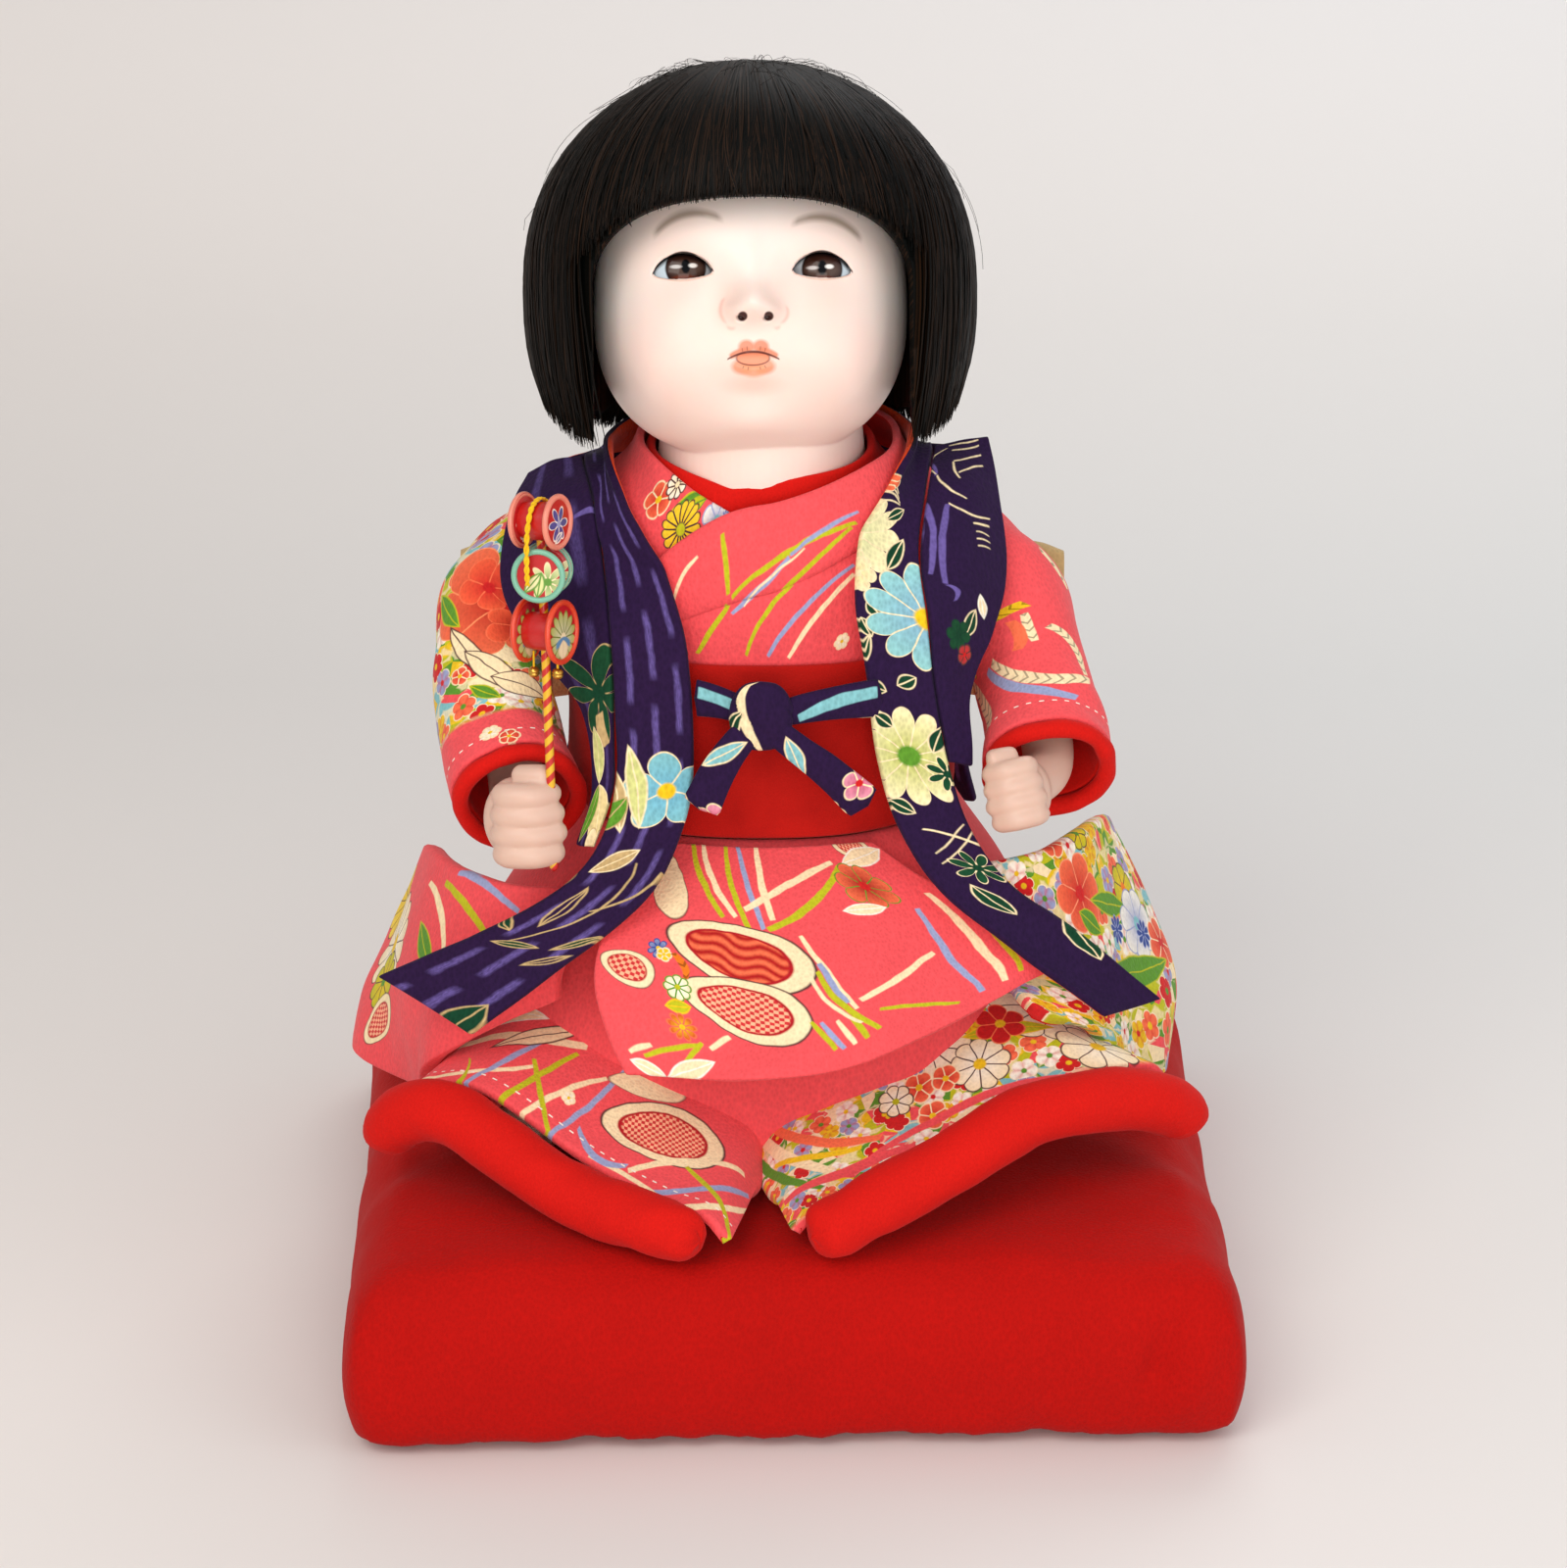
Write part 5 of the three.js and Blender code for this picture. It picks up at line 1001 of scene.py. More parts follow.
@dataclass(frozen=True)
class Shell:
    """A clam shell with a pale rim round a red centre."""

    start: Place
    end: Place
    half: float
    fill: Fill

    def draw(self, p: Print) -> None:
        """Draws the shell."""
        ahead, beside, long = p.along(self.start, self.end)
        half = (ahead * 0.5 + 0.75) * self.half
        out = ((ahead * 2 - 1) ** 2.0 + (beside / half) ** 2.0) ** 0.5
        fine = 0.3 / self.half
        p.lay(((1 - out) / fine + 0.5).clamp(), INK)
        p.lay(((0.96 - out) / fine + 0.5).clamp(), CREAM)
        if self.fill is Fill.PLAIN:
            return
        if self.fill is Fill.DOTTED:
            spots = ((ahead * (long * 3.0)).sin() * (beside * 3.4).sin()).above(0.0, 0.25)
            centre = p.tree.mix(spots, rgb(206, 50, 52), rgb(250, 178, 140))
        else:
            plume = (beside * 2.2 + (ahead * (long * 0.55)).sin() * 2.0).sin() * 0.5 + 0.5
            centre = p.tree.mix(plume, rgb(176, 26, 26), CORAL)
        p.lay(((0.72 - out) / fine + 0.5).clamp(), rgb(176, 26, 34))
        p.lay(((0.66 - out) / fine + 0.5).clamp(), centre)


@dataclass(frozen=True)
class Meadow:
    """Small flowers crowded over leaves, between two heights of the cloth."""

    size: float
    low: float
    high: float
    shift: float = 0.0
    blooms: tuple[Dye, ...] = (ROSE, SUN_YELLOW, WHITE, CORAL, PALE_BLUE, WHITE, SUN_YELLOW, ROSE)
    leaves: tuple[Dye, ...] = (
        CHARTREUSE, LEAF_GREEN, SUN_YELLOW, CHARTREUSE, SKY, CREAM, LEAF_GREEN, SALMON
    )

    def draw(self, p: Print) -> None:
        """Draws the field."""
        tree = p.tree
        spot = tree.vectors("ADD", p.spot, (self.shift, self.shift * 1.7, 0))
        region = tree.parts(p.spot)[1].near((self.low + self.high) / 2, (self.high - self.low) / 2, 1.0)
        flat = {"voronoi_dimensions": "2D"}
        blade = tree.node(
            "ShaderNodeTexVoronoi", flat,
            {"Vector": tree.stretch(spot, 1.0, 1.5, 1.0), "Scale": 1.6 / self.size}, "Color"
        )
        rows = tree.node(
            "ShaderNodeTexVoronoi", {**flat, "feature": "F2"},
            {"Vector": tree.stretch(spot, 1.0, 1.5, 1.0), "Scale": 1.6 / self.size}
        )
        leaf = tree.pick(tree.parts(blade)[0], self.leaves)
        p.lay(region, tree.mix(rows.above(0.78, 0.06) * 0.7, leaf, CREAM))
        cell = tree.node(
            "ShaderNodeTexVoronoi", flat, {"Vector": spot, "Scale": 1 / self.size, "Randomness": 0.85},
            "Color"
        )
        chance, second, _ = tree.parts(cell)
        away = tree.vectors("SUBTRACT", spot, cell.other("Position"))
        x, y, _ = tree.parts(away)
        out = tree.vectors("LENGTH", away, None, 1) / self.size
        wave = abs((y.math("ARCTAN2", x) * 2.5 + second * 6.0).cos())
        rim = wave**0.5 * 0.14 + 0.3 + second * 0.08 - out
        bloom = tree.pick(chance, self.blooms)
        petal = tree.mix(((wave * 0.9 + out) - 0.2).clamp(), tree.mix(0.55, bloom, ROSE), bloom)
        p.lay(region * (rim / 0.03).clamp(), tree.mix(0.3, CREAM, WHITE))
        p.lay(region * ((rim - 0.035) / 0.03).clamp(), petal)
        p.lay(region * out.below(0.1, 0.02), tree.pick(second, (SUN_YELLOW, ROSE, LEAF_GREEN, SUN_YELLOW)))


@dataclass(frozen=True)
class Dashes:
    """Brushed dashes in staggered columns down the cloth."""

    pitch: float
    long: float
    strength: float = 1.0

    def draw(self, p: Print) -> None:
        """Draws the columns."""
        tree = p.tree
        u, v, _ = tree.parts(p.spot)
        column = (u / self.pitch).math("FLOOR")
        chance = tree.node("ShaderNodeTexWhiteNoise", {"noise_dimensions": "1D"}, {"W": column})
        beside = abs(u / self.pitch - column - 0.5)
        ahead = (v / self.long + chance).math("FRACT")
        run = abs(ahead - 0.5).below(0.34, 0.05)
        brush = tree.noise(tree.stretch(p.spot, 4.0, 0.5, 1.0), 1.0, 2.0)
        p.lay(beside.below(0.13, 0.06) * run * (brush * 1.4).clamp() * self.strength, BRUSH)


@dataclass(frozen=True)
class RunningStitch:
    """A row of short white stitches across the cloth at one height."""

    height: float

    def draw(self, p: Print) -> None:
        """Draws the stitches."""
        u, v, _ = p.tree.parts(p.tree.stretch(p.tree.flat(), 1000, 1000, 0))
        p.lay(v.near(self.height, 0.22, 0.08) * (u * (2 * math.pi / 3.3)).sin().above(0.35, 0.2), WHITE)


# Base of every garment


@dataclass(frozen=True)
class Cloth:
    """A garment piece's cloth: its face, its lining, the CAD nodes that it stands for and its body."""

    name: str
    node: str
    slot: str
    face: bpy.types.Material
    lining: bpy.types.Material
    body: str = "doll"
    held: str = "draped"
    rests_on: tuple[str, ...] = ("torso",)

    def cut(
        self, grid: np.ndarray, wall: float, wrap: bool = False, flip: bool = False, levels: int = 1
    ) -> bpy.types.Object:
        """Makes the piece from its grid.

        Args:
            grid: Rows by columns of points.
            wall: The cloth's thickness.
            wrap: Whether the last column joins the first.
            flip: Whether the face looks the other way.
            levels: Subdivision levels.

        Returns:
            The piece, riding on its body.
        """
        obj = grid_object(self.name, grid, wrap, flip)
        dress(obj, self.face, self.lining)
        thicken(obj, wall, levels, True)
        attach(obj, self.body)
        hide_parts(self.node)
        as_sheet(self.held, self.rests_on)
        return obj


def pad(obj: bpy.types.Object, body: str, node: str, fill: float) -> bpy.types.Object:
    """Sets up a padded piece that stands for one node."""
    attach(obj, body)
    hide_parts(node)
    return obj


def hard(obj: bpy.types.Object, body: str, slot: str, *nodes: str) -> bpy.types.Object:
    """Sets up a stiff piece that stands for the given nodes."""
    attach(obj, body)
    if nodes:
        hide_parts(*nodes)
    return obj


# The cushion


@dataclass(frozen=True)
class Cushion:
    """The square floor cushion."""

    width: float = 254.0
    depth: float = 254.0
    thickness: float = 54.0
    draw_in: float = 3.0
    yaw: float = 0.03
    swell: float = 3.0
    rise: float = 0.8
    voxel: float = 4.6
    frames: int = 20
    fill: float = 0.85
    creases: tuple[tuple[float, float, float], ...] = (
        (96, 20, 3.2), (108, 12, -2.0), (-104, 16, 1.8), (70, 26, 1.2)
    )
    profile: tuple[tuple[float, float], ...] = (
        (0, 0.10), (0.03, 0.055), (0.09, 0.025), (0.25, 0), (0.52, 0), (0.76, 0.04), (0.90, 0.13),
        (0.975, 0.28), (0.995, 0.62), (1, 1.2),
    )

    def rings(self, inset: float) -> np.ndarray:
        """The cushion's rings from its underside to its crown."""
        t = np.linspace(-1, 1, 25)[:-1]
        heights = read_table(
            [(i, *row) for i, row in enumerate(self.profile)], np.linspace(0, len(self.profile) - 1, 28)
        )
        out = []
        for height, share in heights:
            row = []
            for quarter in range(4):
                half_along, half_out = (self.width / 2, self.depth / 2) if quarter % 2 == 0 else (
                    self.depth / 2, self.width / 2
                )
                s = share * self.thickness + inset
                corner = 1 - 0.035 * np.abs(t) ** 10
                x = (half_along - s) * t * corner
                y = (s + self.draw_in * (1 - t * t) - half_out) * corner
                a = quarter * math.pi / 2
                z = np.full_like(x, height * (self.thickness - inset * 2) + inset)
                row.append(
                    np.stack([x * math.cos(a) - y * math.sin(a), x * math.sin(a) + y * math.cos(a), z], -1)
                )
            out.append(np.concatenate(row))
        return np.array(out)

    def build(self, face: bpy.types.Material) -> bpy.types.Object:
        """Makes the cushion, swells it and lays its puckers."""
        obj = grid_object("cushion_cover", self.rings(1.5), True, False, True)
        skin = obj.modifiers.new("skin", "REMESH")
        skin.mode = "VOXEL"
        skin.voxel_size = self.voxel * MM
        settle(obj)
        self.inflate(obj)
        obj.modifiers.new("round", "SUBSURF").levels = 1
        settle(obj)
        self.pucker(obj)
        dress(obj, face)
        return pad(obj, "cushion", "cushion", self.fill)

    def inflate(self, obj: bpy.types.Object) -> None:
        """Blows the cover up with a short cloth simulation and caps how far it goes."""
        rest = np.array([v.co[:] for v in obj.data.vertices])
        cloth = obj.modifiers.new("air", "CLOTH")
        cloth.settings.use_pressure = True
        cloth.settings.uniform_pressure_force = 4.0
        cloth.settings.effector_weights.gravity = 0.0
        cloth.settings.quality = 4
        cloth.point_cache.frame_start, cloth.point_cache.frame_end = 1, self.frames
        scene = bpy.context.scene
        for frame in range(1, self.frames + 1):
            scene.frame_set(frame)
        depsgraph = bpy.context.evaluated_depsgraph_get()
        moved = np.array([v.co[:] for v in obj.evaluated_get(depsgraph).data.vertices])
        obj.modifiers.clear()
        scene.frame_set(1)
        step = moved - rest
        size = np.linalg.norm(step, axis=1, keepdims=True)
        step *= np.minimum(1, self.swell * MM / np.maximum(size, 1e-9))
        step[:, 2] = np.minimum(step[:, 2], self.rise * MM)
        points = rest + step
        points[:, 2] = np.where(rest[:, 2] < 0.004, np.clip(points[:, 2], 0.0001, 0.004), points[:, 2])
        obj.data.vertices.foreach_set("co", points.astype(np.float32).ravel())
        obj.data.update()

    def pucker(self, obj: bpy.types.Object) -> None:
        """Moves the surface into the soft folds and puckers of an old cushion."""
        count = len(obj.data.vertices)
        p = np.empty(count * 3)
        obj.data.vertices.foreach_get("co", p)
        p = p.reshape(-1, 3) / MM
        n = np.empty(count * 3)
        obj.data.vertices.foreach_get("normal", n)
        n = n.reshape(-1, 3)
        edge = np.minimum(self.width / 2 - np.abs(p[:, 0]), self.depth / 2 - np.abs(p[:, 1]))
        along = np.where(
            self.width / 2 - np.abs(p[:, 0]) < self.depth / 2 - np.abs(p[:, 1]), p[:, 1], p[:, 0]
        )
        low = np.exp(-((p[:, 2] - 5) / 8) ** 2)
        side = np.clip(1 - edge / 40, 0, 1)
        pleat = smooth_noise(along / 7 + 90, p[:, 2] / 60 + 30, 11) + 0.5 * smooth_noise(
            along / 3.2 + 90, p[:, 2] / 40 + 30, 12
        )
        push = pleat * low * 1.1 * side
        broad = smooth_noise(p[:, 0] / 34 + 20, p[:, 1] / 34 + 20, 13) + 0.5 * smooth_noise(
            p[:, 0] / 15 + 20, p[:, 1] / 15 + 20, 14
        )
        top = np.clip((p[:, 2] - 20) / 20, 0, 1)
        push += broad * 0.9 * top
        push += smooth_noise(along / 16 + 40, p[:, 2] / 14 + 40, 15) * 0.8 * side * (1 - low)
        for x, reach, deep in self.creases:
            away = np.abs(p[:, 0] - x - (p[:, 2] - 25) * 0.25) / 4.0
            upright = np.clip(1 - np.abs(p[:, 2] - 24) / (reach + 4), 0, 1)
            push -= deep * np.exp(-away**2) * upright * np.clip((-p[:, 1] - 88) / 20, 0, 1)
        p += n * push[:, None]
        p[:, 2] = np.where(p[:, 2] < 1.0, np.maximum(p[:, 2], 0.05), p[:, 2])
        c, s = math.cos(self.yaw), math.sin(self.yaw)
        p = np.stack(
            [
                p[:, 0] * c - p[:, 1] * s, p[:, 0] * s + p[:, 1] * c,
                np.minimum(p[:, 2], self.thickness + 0.2)
            ],
            -1
        )
        obj.data.vertices.foreach_set("co", (p * MM).astype(np.float32).ravel())
        obj.data.update()


# Kimono and sash


@dataclass(frozen=True)
class Finishes:
    """Every finish of the doll, made once."""

    crepe: bpy.types.Material
    collar_right: bpy.types.Material
    collar_left: bpy.types.Material
    sleeve_right: bpy.types.Material
    sleeve_left: bpy.types.Material
    lap: bpy.types.Material
    skirt_right: bpy.types.Material
    skirt_left: bpy.types.Material
    drop_right: bpy.types.Material
    drop_left: bpy.types.Material
    front: bpy.types.Material
    scarlet: bpy.types.Material
    felt: bpy.types.Material
    brocade: bpy.types.Material
    vest_right: bpy.types.Material
    vest_left: bpy.types.Material
    vest_outer_right: bpy.types.Material
    vest_outer_left: bpy.types.Material
    vest_back: bpy.types.Material
    vest_lining: bpy.types.Material
    tie: bpy.types.Material
    tie_tail: bpy.types.Material
    skin: bpy.types.Material
    face: bpy.types.Material
    eye: bpy.types.Material
    hair: bpy.types.Material
    cotton: bpy.types.Material
    pulp: bpy.types.Material
    lacquer: bpy.types.Material
    rims: tuple[bpy.types.Material, ...]
    silk: bpy.types.Material
    brass: bpy.types.Material
    cushion: bpy.types.Material
    hair_cap: bpy.types.Material


@dataclass(frozen=True)
class Kimono:
    """The upper kimono: red inner collar, two neck bands and the crossed fronts."""

    hem: float = 0.462
    inner: tuple[tuple[float, float, float], ...] = (
        (-100, 0.925, 0.875), (-80, 0.938, 0.885), (-40, 0.946, 0.900), (0, 0.950, 0.905),
        (90, 0.952, 0.905),
        (180, 0.950, 0.905), (220, 0.946, 0.900), (245, 0.936, 0.885), (260, 0.925, 0.875),
    )
    right: tuple[tuple[float, float, float], ...] = (
        (75, 0.955, 0.905), (120, 0.957, 0.900), (160, 0.960, 0.890), (190, 0.960, 0.885),
        (210, 0.956, 0.870),
        (228, 0.943, 0.845), (245, 0.924, 0.810), (260, 0.903, 0.775), (275, 0.870, 0.745),
        (290, 0.830, 0.715),
    )
    left: tuple[tuple[float, float, float], ...] = (
        (-126, 0.790, 0.715), (-112, 0.862, 0.748), (-100, 0.902, 0.772), (-86, 0.920, 0.800),
        (-70, 0.936, 0.838),
        (-52, 0.950, 0.870), (-35, 0.958, 0.885), (-10, 0.960, 0.890), (20, 0.960, 0.890),
        (60, 0.957, 0.900), (105, 0.955, 0.905),
    )

    def inner_edges(self, angle: np.ndarray) -> tuple[np.ndarray, np.ndarray]:
        """The inner collar's low and high edges."""
        read = read_table(self.inner, np.where(angle > 260, angle - 360, angle))
        return read[..., 1], read[..., 0]

    def band(self, table: Sequence[Sequence[float]], start: float, stop: float, grow: float) -> np.ndarray:
        """A neck band's grid, a little rounded across."""
        def edges(angle: np.ndarray) -> tuple[np.ndarray, np.ndarray]:
            """The band's low and high edges."""
            read = read_table(table, angle)
            return read[..., 1], read[..., 0]
        angle = np.linspace(start, stop, 121)
        low, high = edges(angle)
        t = np.linspace(0, 1, 11)[:, None]
        grow_here = grow + KIMONO_WALL + 0.5 * np.sin(t * math.pi) - 0.6 * (2 * t - 1) ** 6
        return outline_point(BODY_OUTLINE, np.radians(angle)[None], low + (high - low) * t, grow_here)

    def panel(self, table: Sequence[Sequence[float]], start: float, stop: float, grow: float) -> np.ndarray:
        """The front below a neck band."""
        def edges(angle: np.ndarray) -> tuple[Any, np.ndarray]:
            """From the hem to just under the band."""
            return self.hem, read_table(table, angle)[..., 1] + 0.012
        return wrap_grid(start, stop, edges, grow + KIMONO_WALL, 26, 60)

    def build(self, f: Finishes) -> None:
        """Makes the upper kimono."""
        angle = np.arange(144) / 144 * 360
        low, high = self.inner_edges(angle)
        t = np.linspace(0, 1, 9)[:, None]
        ring_grid = outline_point(
            BODY_OUTLINE, np.radians(angle)[None], low + (high - low) * t,
            LAYER_UNDER + KIMONO_WALL + 0.4 * np.sin(t * math.pi)
        )
        Cloth(
            "inner_collar_red", "inner_collar", "red_lining", f.scarlet, f.scarlet, held="folded"
        ).cut(ring_grid, KIMONO_WALL, True)
        t = np.linspace(0, 1, 20)[:, None]
        body = outline_point(
            BODY_OUTLINE, np.radians(angle)[None], self.hem + (low - 0.006 - self.hem) * t,
            LAYER_UNDER + KIMONO_WALL
        )
        Cloth("kimono_upper", "kimono_body", "pink_crepe", f.crepe, f.scarlet).cut(body, KIMONO_WALL, True)
        Cloth(
            "neck_band_right", "kimono_collar_right", "pink_crepe", f.collar_right, f.scarlet, held="folded"
        ).cut(self.band(self.right, 84, 288, LAYER_RIGHT + BAND_LIFT), KIMONO_WALL)
        Cloth("front_right", "kimono_front_right", "pink_crepe", f.crepe, f.scarlet).cut(
            self.panel(self.right, 204, 288, LAYER_RIGHT), KIMONO_WALL
        )
        Cloth(
            "neck_band_left", "kimono_collar_left", "pink_crepe", f.collar_left, f.scarlet, held="folded"
        ).cut(self.band(self.left, -132, 84, LAYER_LEFT + BAND_LIFT), KIMONO_WALL)
        Cloth("front_left", "kimono_front_left", "pink_crepe", f.front, f.scarlet).cut(
            Crumple(0.5, 12, 14, 21).push(self.panel(self.left, -132, -12, LAYER_LEFT)), KIMONO_WALL
        )


@dataclass(frozen=True)
class Sash:
    """The red sash and its brocade bow behind."""

    low: float = 0.458
    high: float = 0.705
    knot_lift: float = 0.59
    knot_radii: tuple[float, float, float] = (9.0, 7.0, 15.0)
    loop_reach: float = 88.0
    loops: tuple[tuple[float, float, float], ...] = (
        (0.1057, 0.020, 0.045), (0.25, 0.045, 0.075), (0.45, 0.070, 0.105), (0.70, 0.075, 0.120),
        (0.90, 0.065, 0.118), (0.98, 0.040, 0.108),
    )

    def build(self, f: Finishes) -> None:
        """Makes the sash and the bow."""
        angle = np.arange(150) / 150 * 360
        t = np.linspace(0, 1, 25)[:, None]
        grow = LAYER_OBI + OBI_WALL - 0.5 * (2 * t - 1) ** 8
        band = outline_point(
            BODY_OUTLINE, np.radians(angle)[None], self.low + (self.high - self.low) * t, grow
        )
        band = Crumple(0.55, 30, 7, 31).push(band, np.sin(t * math.pi), True)
        Cloth(
            "sash_band", "obi_band", "obi_felt", f.felt, f.felt, held="stretched"
        ).cut(band, OBI_WALL, True)
        back = outline_point(BODY_OUTLINE, math.radians(90), 0.6, LAYER_VEST)[1]
        knot = np.array([BODY_X, back + self.knot_radii[1], SEAT + self.knot_lift * CLOTH_HEIGHT])
        rows = []
        for s in np.linspace(-1, 1, 31):
            r = math.sqrt(max(1 - s * s, 0.0006)) ** 0.7
            around = np.arange(40) / 40 * math.tau
            pleat = 1 + 0.05 * np.cos(around * 9 + s * 2)
            wide, deep, tall = self.knot_radii
            x, y = np.cos(around) * wide * r * pleat, np.sin(around) * deep * r * pleat
            rows.append(knot + np.stack([x, y, np.full(40, s * tall)], -1))
        obj = dress(grid_object("bow_knot", np.array(rows), True, False, True), f.brocade)
        pad(obj, "doll", "obi_bow_knot", 0.8)
        for side, sign in (("right", -1), ("left", 1)):
            reach = np.linspace(self.loops[0][0], self.loops[-1][0], 40)
            read = read_table(self.loops, reach)
            middle = knot + np.stack(
                [sign * reach * self.loop_reach, reach * reach * CLOTH_HALF * -0.08, reach * 0], -1
            )
            around = np.arange(48) / 48 * math.tau
            fold = 1 - 0.10 * np.exp(-((np.sin(around)[None] - 0.15) / 0.3) ** 2) * np.exp(
                -((reach[:, None] - 0.3) / 0.25) ** 2
            )
            grid = np.stack([
                np.repeat(middle[:, 0:1], 48, 1),
                middle[:, 1:2] + power(np.cos(around), 2 / 3)[None] * read[:, 0:1] * CLOTH_HALF * fold,
                middle[:, 2:3] + power(np.sin(around), 2 / 3)[None] * read[:, 1:2] * CLOTH_HEIGHT,
            ], -1)
            grid = Crumple(0.7, 18, 26, 33 + sign).push(grid, 1.0, True)
            loop = dress(grid_object(f"bow_loop_{side}", grid, True, sign < 0, True), f.brocade)
            pad(loop, "doll", f"obi_bow_loop_{side}", 0.4)
            net = np.array(
                [
                    [[0.02, 0, -0.003], [0.13, 0.01, -0.003]], [[0.05, 0.03, 0.06], [0.19, 0.04, 0.06]],
                    [[0.09, 0.05, 0.12], [0.25, 0.06, 0.12]]
                ]
            )
            tail = knot + np.stack([sign * net[..., 0] * CLOTH_HALF, net[..., 1] * CLOTH_HALF,
                                    -self.knot_radii[2] - CLEARANCE - net[..., 2] * CLOTH_HEIGHT], -1)
            tail = tail if sign > 0 else tail[:, ::-1]
            sheet = Crumple(0.5, 6, 9, 35 + sign).push(net_grid(tail, 20, 12))
            Cloth(
                f"bow_tail_{side}", f"obi_bow_tail_{side}", "obi_brocade", f.brocade, f.brocade, held="hung"
            ).cut(sheet, KIMONO_WALL, flip=True)


# Skirt


TUBE_PLAN = {
    "right": ((-0.64, -0.20), (0.06, -0.55), (-0.990, -0.600), (-0.080, -1.200)),
    "left": ((0.68, -0.18), (-0.06, -0.55), (1.143, -0.517), (0.083, -1.147)),
}
TUBE_SECTION = (
    (0, 0.03, 0.04), (0.02, 0.16, 0.11), (0.10, 0.235, 0.138), (0.23, 0.27, 0.148), (0.36, 0.27, 0.128),
    (0.50, 0.24, 0.098), (0.64, 0.195, 0.075), (0.80, 0.14, 0.062), (0.94, 0.085, 0.054), (1, 0.03, 0.03),
)
HEM_PADS = {
    "right": (
        (-1.040, -0.655, 0.040, 0.75), (-1.015, -0.680, 0.062, 0.95), (-0.975, -0.710, 0.088, 1),
        (-0.910, -0.745, 0.106, 1),
        (-0.830, -0.795, 0.108, 1), (-0.745, -0.850, 0.092, 1), (-0.630, -0.925, 0.066, 1),
        (-0.520, -0.995, 0.044, 1),
        (-0.390, -1.075, 0.036, 1), (-0.260, -1.160, 0.033, 0.95), (-0.160, -1.225, 0.030, 0.80),
    ),
    "left": (
        (1.175, -0.580, 0.040, 0.75), (1.150, -0.600, 0.064, 0.95), (1.090, -0.640, 0.090, 1),
        (0.985, -0.705, 0.112, 1),
        (0.850, -0.785, 0.124, 1), (0.710, -0.865, 0.122, 1), (0.580, -0.940, 0.100, 1),
        (0.440, -1.020, 0.074, 1),
        (0.310, -1.095, 0.054, 1), (0.200, -1.165, 0.038, 0.95), (0.135, -1.205, 0.032, 0.80),
    ),
}


def tube_grid_points(side: str, across: np.ndarray, along: np.ndarray, grow: float = 0.0) -> np.ndarray:
    """Points on the skirt's leg: across from the outer end to the tip, along from the body to the hem."""
    body_outer, body_tip, hem_outer, hem_tip = (np.array(p) for p in TUBE_PLAN[side])
    a = across[None, :, None]
    s = along[:, None, None]
    plan = (body_outer * (1 - s) + hem_outer * s) * (1 - a) + (body_tip * (1 - s) + hem_tip * s) * a
    read = read_table(TUBE_SECTION, across)[None]
    k = np.clip(along, 0, 1)[:, None] ** 0.8
    height = read[..., 0] * (1 - k) + read[..., 1] * k
    points = place(np.concatenate([plan, height[..., None]], -1))
    points[..., 2] += grow
    return points


